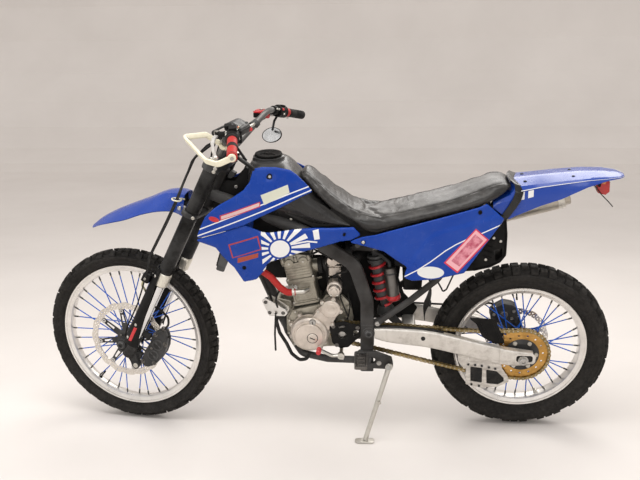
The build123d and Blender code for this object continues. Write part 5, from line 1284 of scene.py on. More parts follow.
def smooth_hull(k, table_, fine_x=6, fine_r=6, shrink=0.6, mat=0, close_bottom=True, feat=None):
    """Smooth body through sections of half outlines (bottom edge to the top middle)."""
    cols = []
    for x, half in table_:
        pts = spline([(y, z) for y, z in half], fine_r)
        cols.append([Vector((x, p.x, p.y)) for p in pts])
    m = len(cols[0])
    lines = []
    for j in range(m):
        lines.append(spline([c[j] for c in cols], fine_x))
    n = len(lines[0])
    rings = []
    for i in range(n):
        half = [lines[j][i] for j in range(m)]
        half = [Vector((p.x, max(0.0, p.y - shrink), p.z - (shrink if j > m * 0.3 else -shrink * 0.3))) for j, p in enumerate(half)]
        if feat:
            half = [feat(p, i / (n - 1), j / (m - 1)) for j, p in enumerate(half)]
        half[-1].y = 0.0
        ring = half + [Vector((p.x, -p.y, p.z)) for p in reversed(half[:-1])]
        rings.append(ring)
    base = len(k.v)
    cnt = len(rings[0])
    verts = [p for r in rings for p in r]
    faces = []
    for i in range(n - 1):
        for j in range(cnt - 1):
            faces.append((i * cnt + j, (i + 1) * cnt + j, (i + 1) * cnt + j + 1, i * cnt + j + 1))
        if close_bottom:
            faces.append((i * cnt + cnt - 1, (i + 1) * cnt + cnt - 1, (i + 1) * cnt, i * cnt))
    if close_bottom:
        faces.append(tuple(range(cnt)))
        faces.append(tuple((n - 1) * cnt + j for j in range(cnt - 1, -1, -1)))
    k.add(verts, faces, mat)
    return rings


def m_tank():
    k = Nodes("tank_vinyl")
    c = k.mix(k.ramp(k.noise(9.0, 4.0), [(0.3, 0.0), (0.75, 1.0)]), (0.012, 0.0115, 0.0115), (0.028, 0.027, 0.027))
    scuff = k.ramp(k.noise(55.0, 6.0, 0.7), [(0.58, 0.0), (0.75, 1.0)])
    c = k.mix(k.math("MULTIPLY", scuff, 0.12), c, (0.22, 0.21, 0.20))
    # painted light: faces that look up are mixed a little lighter, standing in for light from above
    up = k.ramp(k.upward(), [(0.55, 0.0), (0.98, 1.0)])
    c = k.mix(k.math("MULTIPLY", up, 0.06), c, (0.25, 0.24, 0.23))
    r = k.ramp(k.noise(22.0, 4.0), [(0.3, 0.20), (0.75, 0.42)])
    n1 = k.bump(k.noise(38.0, 3.0, 0.5), 0.22, 0.004)
    return k.done(c, r, 0.0, k.bump(k.noise(500.0, 2.0), 0.05, 0.0003, n1), 0.12, 0.12, spec=0.30)


M["tank_skin"] = m_tank()
k = Kit()


def tank_feat(p, u, v):
    # knee scallop on the flank and a flat top round the filler
    x, y, z = p
    s = math.exp(-((x - 95) / 60) ** 2) * math.exp(-((z - 935) / 30) ** 2)
    y2 = y - 3.5 * s if y > 40 else y
    d = math.hypot(x - 178, y)
    if z > 1000 and d < 58:
        z = min(z, 1046.0)
    return Vector((x, y2, z))


smooth_hull(k, TANK, 7, 6, 0.4, 0, True, tank_feat)
CAPP = Vector((178, 0, 1044))
k.lathe([(41.0, 0.0), (41.0, 6.2), (42.0, 7.6), (52.0, 7.6), (53.6, 6.4), (53.8, 0.5), (57.0, -3.5), (50.0, -8.0)], CAPP, (0, 0, 1), 72, 0)
k.make("FuelTank", "chassis", M["tank_skin"], replaces="fuel_tank", slot="tank_plastic", sharp=48)
# cap: ribbed edge and domed top
k = Kit()
prof = [(39.0, -20.0), (39.0, 7.2), (47.2, 8.4), (47.8, 9.4), (47.8, 14.4), (46.4, 16.2), (42.0, 16.9), (36.0, 16.6), (33.0, 15.2), (0.01, 15.0)]
k.lathe(prof, CAPP, (0, 0, 1), 96, 0, wave=lambda a, r: -1.3 * (0.5 + 0.5 * math.cos(a * 24)) if r > 47 else 0.0)
k.lathe([(0.01, 15.0), (10.0, 15.0), (10.0, 16.6), (0.01, 16.8)], CAPP, (0, 0, 1), 24, 0)
for i in range(3):
    a = 2 * math.pi * i / 3 + 0.4
    k.tube([CAPP + V(12 * math.cos(a), 12 * math.sin(a), 15.6), CAPP + V(31 * math.cos(a), 31 * math.sin(a), 15.4)], 1.3, seg=8)
k.make("FuelCap", "chassis", M["black"], replaces="fuel_cap", slot="black_plastic", sharp=35)

# ------------------------------------------------------------------ seat
SEAT = [
    (60, [(58, 986), (64, 991), (56, 999), (38, 1003), (0, 1004)]),
    (37, [(72, 962), (80, 976), (74, 992), (50, 1000), (0, 1002)]),
    (-9, [(88, 920), (97, 935), (92, 950), (62, 961), (0, 964)]),
    (-48, [(92, 884), (102, 900), (98, 916), (68, 926), (0, 930)]),
    (-116, [(96, 842), (106, 855), (102, 868), (74, 878), (0, 882)]),
    (-152, [(98, 812), (109, 834), (105, 856), (78, 866), (0, 869)]),
    (-196, [(100, 802), (112, 824), (108, 848), (82, 858), (0, 861)]),
    (-243, [(102, 814), (115, 832), (112, 852), (86, 862), (0, 865)]),
    (-336, [(104, 842), (120, 858), (116, 876), (90, 885), (0, 888)]),
    (-451, [(104, 874), (120, 890), (116, 906), (90, 915), (0, 919)]),
    (-545, [(100, 902), (114, 918), (110, 936), (86, 948), (0, 956)]),
    (-600, [(90, 925), (102, 938), (98, 958), (76, 970), (0, 974)]),
    (-640, [(72, 951), (84, 956), (80, 964), (62, 970), (0, 973)]),
    (-656, [(55, 956), (62, 958), (58, 962), (46, 966), (0, 966)]),
]


def m_seat():
    """Grained vinyl, pale along the sat-on ridge from wear and from a painted sheen on the upward faces, with fine
    wrinkles across it.
    """
    k = Nodes("seat_vinyl")
    base = k.mix(k.ramp(k.noise(7.0, 4.0), [(0.3, 0.0), (0.75, 1.0)]), (0.014, 0.013, 0.0125), (0.030, 0.028, 0.0265))
    up = k.ramp(k.upward(), [(0.45, 0.0), (0.95, 1.0)])
    wearn = k.ramp(k.noise(14.0, 6.0, 0.65), [(0.36, 0.0), (0.64, 1.0)])
    # painted sheen and wear: upward-facing faces, broken up by noise, are mixed paler, standing partly for light from
    # above and partly for real wear
    wear_and_sheen = k.math("MULTIPLY", up, wearn)
    c = k.mix(k.math("MULTIPLY", wear_and_sheen, 0.30), base, (0.19, 0.183, 0.176))
    scuff = k.ramp(k.noise(90.0, 6.0, 0.7), [(0.60, 0.0), (0.74, 1.0)])
    c = k.mix(k.math("MULTIPLY", k.math("MULTIPLY", scuff, up), 0.40), c, (0.50, 0.49, 0.47))
    dust = k.ramp(k.noise(40.0, 7.0, 0.7), [(0.5, 0.0), (0.9, 1.0)])
    c = k.mix(k.math("MULTIPLY", dust, 0.12), c, (0.30, 0.27, 0.23))
    r = k.ramp(k.noise(20.0, 4.0), [(0.3, 0.24), (0.75, 0.42)])
    grain = k.noise(1500.0, 3.0, 0.6)
    v = k.n("ShaderNodeTexVoronoi")
    k.link(k.co, v.inputs["Vector"])
    v.inputs["Scale"].default_value = 620.0
    n1 = k.bump(v.outputs["Distance"], 0.18, 0.0004)
    wr = k.noise(26.0, 4.0, 0.6, stretch=(1.0, 0.35, 1.0), dist=0.6)
    n2 = k.bump(wr, 0.30, 0.005, n1)
    return k.done(c, r, 0.0, k.bump(grain, 0.08, 0.0002, n2), 0.0, spec=0.36)


M["seat"] = m_seat()


def upper_surface(ob, pts=None):
    return ob


def seat_piece():
    k = Kit()
    rings = smooth_hull(k, SEAT, 4, 3, 2.2, 0, True)
    name = "Saddle"
    me = bpy.data.meshes.new(name)
    me.from_pydata([tuple(p * 0.001) for p in k.v], [], k.f)
    ob = bpy.data.objects.new(name, me)
    SCENE.collection.objects.link(ob)
    bm = bmesh.new()
    bm.from_mesh(me)
    bmesh.ops.recalc_face_normals(bm, faces=bm.faces)
    bmesh.ops.triangulate(bm, faces=[f for f in bm.faces if len(f.verts) > 4])
    bm.to_mesh(me)
    bm.free()
    bpy.context.view_layer.objects.active = ob
    ob.select_set(True)
    md = ob.modifiers.new("remesh", "REMESH")
    md.mode = "VOXEL"
    md.voxel_size = 0.0065
    bpy.ops.object.modifier_apply(modifier=md.name)
    base = [v.co.copy() for v in ob.data.vertices]
    # the foam presses the cover out between its stitched lower edge; the lower edge is held
    vg = ob.vertex_groups.new(name="held")
    for v in ob.data.vertices:
        x, y, z = v.co * 1000
        edge = lerp_table([-656, -640, -600, -545, -451, -336, -243, -196, -152, -116, -48, -9, 37, 60],
                          [958, 955, 931, 910, 882, 850, 822, 812, 822, 848, 892, 927, 968, 988], x)
        w = 1.0 if z < edge + 2 else max(0.0, 1.0 - (z - edge - 2) / 14.0)
        if w > 0:
            vg.add([v.index], min(1.0, w), "REPLACE")
    cl = ob.modifiers.new("cloth", "CLOTH")
    st = cl.settings
    st.quality = 5
    st.mass = 0.35
    st.tension_stiffness = 28
    st.compression_stiffness = 10
    st.shear_stiffness = 8
    st.bending_stiffness = 0.6
    st.use_pressure = True
    st.uniform_pressure_force = 4.0
    st.effector_weights.gravity = 0.0
    st.vertex_group_mass = "held"
    st.shrink_min = -0.035
    cl.collision_settings.use_collision = False
    cl.collision_settings.use_self_collision = False
    cl.point_cache.frame_start = 1
    cl.point_cache.frame_end = 20
    for f in range(1, 21):
        SCENE.frame_set(f)
    dg = bpy.context.evaluated_depsgraph_get()
    ev = ob.evaluated_get(dg)
    co = [v.co.copy() for v in ev.data.vertices]
    ob.modifiers.remove(cl)
    SCENE.frame_set(1)
    if len(co) == len(base):
        for v, a, b in zip(ob.data.vertices, base, co):
            d = b - a
            if d.length > 0.004:
                d = d.normalized() * 0.004
            v.co = a + d
    me = ob.data
    # smooth it, and press the cross wrinkles in
    bm = bmesh.new()
    bm.from_mesh(me)
    for _ in range(3):
        bmesh.ops.smooth_vert(bm, verts=bm.verts, factor=0.5, use_axis_x=True, use_axis_y=True, use_axis_z=True)
    bm.normal_update()
    for v in bm.verts:
        x, y, z = v.co * 1000
        n = v.normal
        d = 0.0
        if n.z > 0.2:
            d -= 0.7 * max(0.0, math.sin(x * 0.21 + 1.5 * math.sin(y * 0.05))) * math.exp(-((x + 260) / 150) ** 2) * (0.4 + 0.6 * abs(y) / 100)
            d -= 0.5 * max(0.0, math.sin(x * 0.31 + y * 0.03)) * math.exp(-((x + 90) / 50) ** 2)
            # stitched seam lines along the shoulders
            ws = lerp_table([-656, -600, -451, -336, -196, -116, -9, 60], [44, 66, 80, 80, 74, 66, 56, 34], x)
            d -= 1.6 * math.exp(-((abs(y) - ws) / 3.2) ** 2)
        v.co += n * d * 0.001
    bm.to_mesh(me)
    bm.free()
    uv = me.uv_layers.new(name="side")
    for lp in me.loops:
        co = me.vertices[lp.vertex_index].co
        uv.data[lp.index].uv = (co.x, co.z)
    me.transform(CH @ Matrix.Scale(1000, 4))
    me.materials.append(M["seat"])
    me.shade_smooth()
    md = ob.modifiers.new("sub", "SUBSURF")
    md.levels = md.render_levels = 1
    ob.select_set(False)
    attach(ob, "chassis")
    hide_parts("seat")
    # stitching along the seams
    t = Kit()
    for sg in (1, -1):
        pts = []
        for i in range(150):
            x = 40 - i * 4.5
            if x < -622:
                break
            ws = lerp_table([-656, -600, -451, -336, -196, -116, -9, 60], [44, 66, 80, 80, 74, 66, 56, 34], x)
            pts.append((x, sg * ws))
        t_pts = []
        inv = CH.inverted()
        dg = bpy.context.evaluated_depsgraph_get()
        from mathutils.bvhtree import BVHTree
        bvh = BVHTree.FromObject(ob, dg)
        for x, y in pts:
            o = CH @ Vector((x, y, 1100))
            dwn = (CH.to_3x3() @ Vector((0, 0, -1))).normalized()
            hit = bvh.ray_cast(ob.matrix_world.inverted() @ o, dwn)
            if hit[0] is not None:
                t_pts.append(inv @ (ob.matrix_world @ hit[0]))
        for a, b in zip(t_pts[::1], t_pts[1::1]):
            d = b - a
            t.tube([a + d * 0.15 + V(0, 0, 0.25), a + d * 0.5 + V(0, 0, 0.75), a + d * 0.85 + V(0, 0, 0.25)], 0.55, seg=6, bend=1.0, arc=2)
    t.make("SeatStitching", "chassis", M["thread"], slot="seat_cover", sharp=None)
    return ob


seat_piece()


# ------------------------------------------------------------------ helpers for blocks and sections
def rrect(w, d, r, n=4):
    """Rounded rectangle outline, centred."""
    pts = []
    for cx, cy, a0 in ((w / 2 - r, d / 2 - r, 0), (-w / 2 + r, d / 2 - r, 90), (-w / 2 + r, -d / 2 + r, 180), (w / 2 - r, -d / 2 + r, 270)):
        for i in range(n + 1):
            a = math.radians(a0 + 90 * i / n)
            pts.append((cx + r * math.cos(a), cy + r * math.sin(a)))
    return pts


def block(k, o, n, x, w, d, h, r=6.0, bev=1.5, mat=0, w2=None, d2=None):
    """Rounded block: base centre o, height h along n, w along x, d across."""
    o, n, x = Vector(o), Vector(n).normalized(), Vector(x)
    x = (x - n * x.dot(n)).normalized()
    y = n.cross(x)
    w2, d2 = w2 or w, d2 or d
    rings = []
    for t, inset in ((0.0, bev), (bev / h, 0.0), (1 - bev / h, 0.0), (1.0, bev)):
        ww, dd = w + (w2 - w) * t - 2 * inset, d + (d2 - d) * t - 2 * inset
        rr = max(0.4, min(r, ww / 2 - 0.1, dd / 2 - 0.1) - inset * 0.5)
        rings.append([o + x * a + y * b + n * (h * t) for a, b in rrect(ww, dd, rr)])
    k.loft(rings, mat)


def section_sweep(k, path, half_w, half_h, r, side=(0, 1, 0), mat=0, n=3):
    """Sweeps a rounded rectangle along a path, its width kept along the side direction."""
    rings = []
    sd = Vector(side)
    for i, p in enumerate(path):
        t = (path[min(i + 1, len(path) - 1)] - path[max(i - 1, 0)]).normalized()
        s = (sd - t * sd.dot(t)).normalized()
        u = t.cross(s)
        hw = half_w[i] if isinstance(half_w, list) else half_w
        hh = half_h[i] if isinstance(half_h, list) else half_h
        rings.append([p + s * a + u * b for a, b in rrect(2 * hw, 2 * hh, r, n)])
    k.loft(rings, mat)


def bend_path(points, bend, arc=8, step=None):
    kk = Kit()
    path = kk.tube(points, 1.0, bend=bend, seg=3, arc=arc, cap=False)
    return path


def weld(k, centre, n, r, mat=0, wob=0.35, rr=1.6, seg=60):
    """A ring of weld ripples round a joint."""
    c, n = Vector(centre), Vector(n).normalized()
    u, w = basis(n)
    pts = []
    radii = []
    for i in range(seg + 1):
        a = 2 * math.pi * i / seg
        pts.append(c + (u * math.cos(a) + w * math.sin(a)) * r)
        radii.append(rr * (1.0 + wob * math.sin(i * 2.1)))
    k.sweep(pts, rr, 6, mat, cap=False, radii=radii)


# ------------------------------------------------------------------ main frame
PIV = (-172.0, 420.0)
STAND_PIN = Vector((-246.0, 146.0, 302.0))
k = Kit()
k.lathe([(15.4, 0), (26.2, 0), (27.4, 1.5), (27.4, 12), (26.2, 14), (26.2, 150), (27.4, 152), (27.4, 162), (26.2, 164), (15.4, 164)], head(0, 0, 610), AXIS, 40, 0, closed=True)
for sg in (1, -1):
    k.rod(head(-6, sg * 16, 668), V(24, sg * 97, 794), 22.0, 28, 0)
    path = bend_path([V(46, sg * 97, 796.5), V(-122, sg * 97, 684), V(-166, sg * 97, 540), V(-166, sg * 97, 262)], 90, arc=14)
    fine = []
    for a, b in zip(path, path[1:]):
        nn = max(1, int((b - a).length / 22))
        for i in range(nn):
            fine.append(a.lerp(b, i / nn))
    fine.append(path[-1])
    section_sweep(k, fine, 12.8, 23.8, 7.0, mat=0, n=5)
    # weld seam where the cast lower plate meets the pressed spar
    ring = [V(-166 + p[0], sg * 97 + p[1], 452) for p in rrect(49.0, 27.0, 7.0, 5)]
    ring.append(ring[0])
    ring2 = []
    for a, b in zip(ring, ring[1:]):
        m = max(1, int((b - a).length / 3.0))
        for i in range(m):
            ring2.append(a.lerp(b, i / m))
    ring2.append(ring2[0].copy())
    k.sweep(ring2, 1.3, 6, 0, cap=False, radii=[1.2 * (1 + 0.35 * math.sin(i * 2.0)) for i in range(len(ring2))])
    # gusset plate over the pivot, with the bolt's boss
    k.lathe([(0.01, 0.0), (22, 0.0), (22, 2.5), (19, 3.5), (14, 3.5), (14, 5.0), (0.01, 5.0)], V(PIV[0], sg * 109.6, PIV[1]), (0, sg, 0), 32, 0)
    weld(k, (5, sg * 92, 790), V(24, sg * 97, 794) - head(-6, sg * 16, 668), 22.5, 0)
k.tube([head(-20, 0, 668), V(292, 0, 728), V(212, 0, 590), V(152, 0, 432), V(134, 0, 392)], 19.5, bend=120, seg=28, arc=10)
for sg in (1, -1):
    k.tube([V(150, 0, 430), V(128, sg * 34, 382), V(72, sg * 78, 316), V(-20, sg * 86, 299), V(-160, sg * 94, 300)], 13.2, bend=34, seg=20, arc=7)
k.rod((-160, -97, 300), (-160, 97, 300), 13.8, 24)
k.rod((-98, -97, 705), (-98, 97, 705), 13.8, 24)
for y in (28, -22.5):
    k.plate(rounded([(-102, 717), (-126, 734), (-196, 730), (-206, 716), (-196, 704), (-126, 708), (-102, 702)], 5), (0, y, 0), (1, 0, 0), (0, 0, 1), 5.5, bevel=0.8)
k.make("MainFrame", "chassis", [M["frame"]], replaces="main_frame", slot="frame_paint", sharp=42)

k = Kit()
for sg in (1, -1):
    # triangular engine hangers with three bolts
    out = rounded([(170, 474), (196, 540), (186, 548), (118, 500), (116, 488), (126, 474)], 6)
    holes = [circle(184, 533, 5.0, 12), circle(132, 486, 5.0, 12), circle(164, 486, 5.0, 12)]
    k.plate(out, (0, sg * 66 if sg > 0 else -62, 0), (1, 0, 0), (0, 0, 1), 4.0, mat=0, bevel=0.7)
    for hx, hz in ((184, 533), (132, 486), (162, 486)):
        k.lathe([(0.01, 0), (9.0, 0), (9.0, 1.2), (0.01, 1.2)], V(hx, sg * 66, hz), (0, sg, 0), 18, 1)
        k.hex(V(hx, sg * 67, hz), (0, sg, 0), 7.2, 5.0, mat=1, socket=False)
    k.rod((170, 0, 498), (170, sg * 62, 498), 8.8, 16, 0)
k.make("EngineHangers", "chassis", [M["zinc"], M["steel"]], slot="steel", sharp=35)

k = Kit()
# swingarm pivot bolt with its nuts
k.rod((PIV[0], -114, PIV[1]), (PIV[0], 114, PIV[1]), 7.9, 20, 0)
for sg in (1, -1):
    k.lathe([(0.01, 0), (15.5, 0), (15.5, 1.6), (13.5, 2.0), (0.01, 2.0)], V(PIV[0], sg * 114.4, PIV[1]), (0, sg, 0), 28, 0)
    k.hex(V(PIV[0], sg * 116, PIV[1]), (0, sg, 0), 12.5, 7.0, mat=0, socket=True)
k.make("PivotBolt", "chassis", [M["black_alloy"]], slot="steel", sharp=35)

# side stand bracket
FOLD = Vector(J["side_stand_fold"]["axis"])
FOLD = (CH.to_3x3().inverted() @ FOLD).normalized()
k = Kit()
k.plate(rounded([(-120, 345), (-120, 285), (-236, 280), (-262, 296), (-256, 326), (-196, 350)], 9), (0, 124, 0), (1, 0, 0), (0, 0, 1), 16, bevel=2.0,
        holes=[circle(-185, 315, 12, 20)])
k.rod((-160, 94, 315), (-160, 122, 315), 21.5, 28)
k.rod(STAND_PIN - FOLD * 32, STAND_PIN - FOLD * 10, 10.8, 20)
k.rod(STAND_PIN - FOLD * 34, STAND_PIN + FOLD * 12, 4.9, 16, 1)
k.hex(STAND_PIN + FOLD * 10, FOLD, 9.2, 6.0, mat=1, socket=False)
for sg in (1, -1):
    k.rod((-146, sg * 100, 334), (-146, sg * 125, 334), 15.6, 24, 0, chamfer=1.5)
for hx, hz in ((-146, 332), (-146, 298), (-210, 305)):
    k.hex(V(hx, 124.2, hz), (0, 1, 0), 7.0, 4.5, mat=1, socket=False, washer=9.0)
k.make("StandBracket", "chassis", [M["frame"], M["steel"]], slot="frame_paint", sharp=38)

# ------------------------------------------------------------------ subframe
k = Kit()
for sg in (1, -1):
    k.tube([V(-128, sg * 72, 752), V(-250, sg * 72, 778), V(-585, sg * 70, 878)], 10.8, bend=60, seg=20)
    k.tube([V(-200, sg * 96.5, 453), V(-317, sg * 88, 541), V(-412, sg * 81, 622), V(-578, sg * 70, 870)], 11.9, bend=60, seg=22)
    weld(k, (-566, sg * 70.8, 856), (-158, -8 * sg, 220), 10.2, 0, rr=1.4)
    k.plate(rounded([(-552, 872), (-552, 830), (-580, 850), (-584, 880)], 5), (0, sg * 74 + (3 if sg > 0 else 0), 0), (1, 0, 0), (0, 0, 1), 3.0, bevel=0.5)
    k.plate(rounded([(-176, 462), (-176, 436), (-200, 436), (-232, 462), (-222, 480), (-204, 474)], 6), (0, sg * 93 + 2.5, 0), (1, 0, 0), (0, 0, 1), 5.0, bevel=0.8)
    k.lathe([(0.01, 0), (11, 0), (11, 3.0), (9.6, 4.0), (0.01, 4.0)], V(-203, sg * 102.5, 456), (0, sg, 0), 24, 0)
    k.hex(V(-203, sg * 106.5, 456), (0, sg, 0), 7.2, 4.5, mat=1, socket=True, washer=9.0)
k.rod((-585, -78, 876), (-585, 78, 876), 9.8, 18)
k.rod((-330, -72, 802), (-330, 72, 802), 8.8, 16)
k.rod((-132, -84, 750), (-132, 84, 750), 8.8, 16)
k.make("Subframe", "chassis", [M["frame"], M["steel"]], replaces="subframe", slot="subframe_paint", sharp=40)

# ------------------------------------------------------------------ swingarm
ARM = [(-193, 87, 110, 396, 436), (-225, 87, 112, 386, 437), (-391, 88, 116, 364, 429), (-560, 89, 122, 326, 392), (-655, 90, 122, 304, 368),
       (-705, 90, 122, 300, 360), (-760, 90, 120, 308, 352)]


def m_arm():
    """Bare alloy, dirty and stained along the lower edge."""
    k = Nodes("swingarm_alloy")
    c = k.mix(k.ramp(k.noise(9.0, 4.0), [(0.3, 0.0), (0.75, 1.0)]), (0.56, 0.53, 0.49), (0.74, 0.71, 0.66))
    grime = k.ramp(k.noise(26.0, 8.0, 0.74), [(0.48, 0.0), (0.74, 1.0)])
    c = k.mix(k.math("MULTIPLY", grime, 0.55), c, (0.20, 0.17, 0.13))
    u, v = k.uv()
    low = k.math("MULTIPLY_ADD", k.math("SUBTRACT", k.math("MULTIPLY_ADD", u, 0.16, 0.437), v), 60.0, 0.0, clamp=True)
    streak = k.ramp(k.noise(60.0, 6.0, 0.7, stretch=(0.3, 1, 1)), [(0.42, 0.0), (0.66, 1.0)])
    c = k.mix(k.math("MULTIPLY", k.math("MULTIPLY", low, streak), 0.45), c, (0.13, 0.10, 0.075))
    scr = k.noise(700.0, 2.0, 0.5, stretch=(0.04, 1, 1))
    r = k.ramp(k.noise(30.0, 4.0), [(0.3, 0.32), (0.75, 0.52)])
    return k.done(c, r, 0.6, k.bump(scr, 0.07, 0.0003))


M["arm"] = m_arm()
k = Kit()
for sg in (1, -1):
    xs = [a[0] for a in ARM]
    rings = []
    n = 40
    for i in range(n + 1):
        x = -193 - (760 - 193) * i / n
        y0, y1, z0, z1 = (smooth_table([-v for v in xs], [a[j] for a in ARM], -x) for j in (1, 2, 3, 4))
        w, h = y1 - y0 - 0.6, z1 - z0 - 0.6
        rings.append([V(x, sg * (y0 + y1) / 2 + a, (z0 + z1) / 2 + b) for a, b in rrect(w, h, 7.0, 4)])
    k.loft(rings, 0)
    # weld seams at both ends of the extrusion
    for xx in (-236, -640):
        y0, y1, z0, z1 = (smooth_table([-v for v in xs], [a[j] for a in ARM], -xx) for j in (1, 2, 3, 4))
        ring = [V(xx, sg * (y0 + y1) / 2 + a, (z0 + z1) / 2 + b) for a, b in rrect(y1 - y0, z1 - z0, 7.0, 4)]
        ring2 = []
        for a, b in zip(ring, ring[1:] + ring[:1]):
            m = max(1, int((b - a).length / 3.0))
            ring2 += [a.lerp(b, i / m) for i in range(m)]
        ring2.append(ring2[0].copy())
        k.sweep(ring2, 1.4, 6, 0, cap=False, radii=[1.3 * (1 + 0.35 * math.sin(i * 2.0)) for i in range(len(ring2))])
    # chain adjuster: slot recess, block, bolt and lock nut
    yo = sg * 121.8
    slot = rrect(58, 26, 9, 5)
    k.plate([(REAR.x - 6 + a, REAR.z + 7 + b) for a, b in rrect(74, 40, 12, 5)], V(0, yo + (2.2 if sg > 0 else 0.0), 0), (1, 0, 0), (0, 0, 1), 2.4,
            holes=[[(REAR.x - 4 + a, REAR.z + 7 + b) for a, b in slot]], bevel=0.6)
    k.plate([(REAR.x - 4 + a, REAR.z + 7 + b) for a, b in slot], V(0, yo + (0.1 if sg > 0 else 0.3), 0), (1, 0, 0), (0, 0, 1), 0.8, mat=2)
    k.box((REAR.x + 1, yo + sg * 1.5, REAR.z + 5), (24, 4.5, 21), mat=1)
    k.rod((-770, sg * 106, 331), (-748, sg * 106, 331), 4.0, 12, 1)
    k.hex(V(-761, sg * 106, 331), (-1, 0, 0), 7.5, 5.0, mat=1, socket=False)
    k.hex(V(-772, sg * 106, 331), (1, 0, 0), 6.2, 5.0, mat=1, socket=False)
    k.rod((PIV[0], sg * 60, PIV[1]), (PIV[0], sg * 82, PIV[1]), 11.9, 24, 0)
    y_in = 83.5 if sg > 0 else -75.5
    k.plate(rounded([(-166, 408), (-166, 431), (-214, 428), (-214, 388), (-194, 390)], 6), (0, y_in, 0), (1, 0, 0), (0, 0, 1), 8, bevel=1.4)
    k.plate(rounded([(-194, 400), (-194, 426), (-214, 426), (-214, 392)], 4), (0, 90 if sg > 0 else -82, 0), (1, 0, 0), (0, 0, 1), 8, bevel=0.8)
k.rod((PIV[0], -60, PIV[1]), (PIV[0], 60, PIV[1]), 11.9, 24, 0)
block(k, (-318, -92, 389), (0, 1, 0), (1, 0, 0), 50, 42, 184, 9, 1.0)
# rubber rub strip over the left beam under the chain, and a brake hose clip
k.tube([V(-196, 92, 437.5), V(-225, 92, 438.5), V(-300, 94, 436.0), V(-391, 96, 430.8), V(-440, 98, 420)], 4.2, bend=50, seg=12, mat=2, flat=1.6)
k.lathe([(0.01, 0), (8, 0), (8, 3.0), (6.5, 4.2), (0.01, 4.2)], V(-367, 113.4, 404), (0, 1, 0), 20, 2)
k.make("Swingarm", "chassis", [M["arm"], M["zinc"], M["rubber"]], replaces="swingarm", slot="arm_alloy", sharp=40)

k = Kit()
k.rod(REAR + V(0, -127, 0), REAR + V(0, 127, 0), 9.8, 20, 0)
k.rod(REAR + V(0, 74.4, 0), REAR + V(0, 88, 0), 15.8, 24, 0, chamfer=1)
k.rod(REAR + V(0, -88, 0), REAR + V(0, -62.8, 0), 15.8, 24, 0, chamfer=1)
for sg in (1, -1):
    k.lathe([(9.0, 0), (18.5, 0), (18.5, 2.2), (9.0, 2.2)], REAR + V(0, sg * 123.2, 0), (0, sg, 0), 28, 0, closed=True)
    k.hex(REAR + V(0, sg * 125.4, 0), (0, sg, 0), 14.5, 9.5, mat=0, socket=True)
k.make("RearAxle", "chassis", [M["steel"]], replaces="rear_axle", slot="steel", sharp=35)

# ------------------------------------------------------------------ chain
CY = 76.0
fs, rs = V(-76, 0, 404), REAR
R1, R2 = 39.5, 99.0
loop = []
# over the front sprocket, anticlockwise seen from the right: front half
for i in range(13):
    a = math.radians(-104 + i * (104 + 97) / 12)
    loop.append((fs.x + R1 * math.cos(a), fs.z + R1 * math.sin(a)))
loop += [(-200, 440.5), (-400, 427), (-580, 417)]
for i in range(25):
    a = math.radians(75 + i * (360 - 75 - 78) / 24)
    loop.append((rs.x + R2 * math.cos(a), rs.z + R2 * math.sin(a)))
loop += [(-640, 229), (-526, 255), (-380, 292), (-190, 342)]
P = [Vector((x, z)) for x, z in loop]
segs = [(P[i], P[(i + 1) % len(P)]) for i in range(len(P))]
total = sum((b - a).length for a, b in segs)
links = int(round(total / 15.875 / 2)) * 2
pitch = total / links


def along_loop(s):
    s = s % total
    for a, b in segs:
        L = (b - a).length
        if s <= L:
            return a.lerp(b, s / L)
        s -= L
    return P[0]


k = Kit()


def link_plate(k, a, b, y, t, w, waist, mat):
    d = (b - a)
    L = d.length
    d = d.normalized()
    nrm = Vector((-d.y, d.x))
    pts = []
    for c, s in ((b, 1), (a, -1)):
        for i in range(5):
            ang = math.radians(-72 + 36 * i)
            pts.append(c + (d * math.cos(ang) + nrm * math.sin(ang)) * w * s)
        pts.append((a + b) / 2 + nrm * waist * s)
    m = len(pts)
    vs = [V(p.x, y + t / 2, p.y) for p in pts] + [V(p.x, y - t / 2, p.y) for p in pts]
    fs_ = [tuple(range(m)), tuple(range(2 * m - 1, m - 1, -1))] + [(i, m + i, m + (i + 1) % m, (i + 1) % m) for i in range(m)]
    k.add(vs, fs_, mat)


for i in range(links):
    a, b = along_loop(i * pitch), along_loop((i + 1) * pitch)
    off = 6.4 if i % 2 else 4.4
    for sg in (1, -1):
        link_plate(k, a, b, CY + sg * off, 1.8, 6.6, 4.6, 0)
    k.rod((a.x, CY - 7.4, a.y), (a.x, CY + 7.4, a.y), 2.3, 8, 1)
    k.rod((a.x, CY - 4.0, a.y), (a.x, CY + 4.0, a.y), 4.6, 10, 1)
k.make("DriveChain", "chassis", [M["chain"], M["steel"]], replaces="drive_chain", slot="chain_steel", sharp=35, recalc=True)

# front sprocket on the output shaft
k = Kit()
out = []
for i in range(14 * 8):
    a = 2 * math.pi * i / (14 * 8)
    t = (i % 8) / 8
    rr = R1 - 4.4 + 8.0 * max(0.0, 0.5 + 0.5 * math.cos(2 * math.pi * (t - 0.5)))
    out.append((fs.x + rr * math.cos(a), fs.z + rr * math.sin(a)))
k.plate(out, (0, CY + 2.5, 0), (1, 0, 0), (0, 0, 1), 5.0, bevel=0.4, holes=[circle(fs.x + 20 * math.cos(a), fs.z + 20 * math.sin(a), 4, 10) for a in (0.5, 2.6, 4.7)])
k.rod((fs.x, 44, fs.z), (fs.x, 89, fs.z), 11.8, 24, 0, chamfer=1.0)
k.hex(V(fs.x, CY + 3, fs.z), (0, 1, 0), 18, 8, mat=0, socket=False)
k.make("FrontSprocket", "chassis", [M["steel"]], slot="steel", sharp=35)

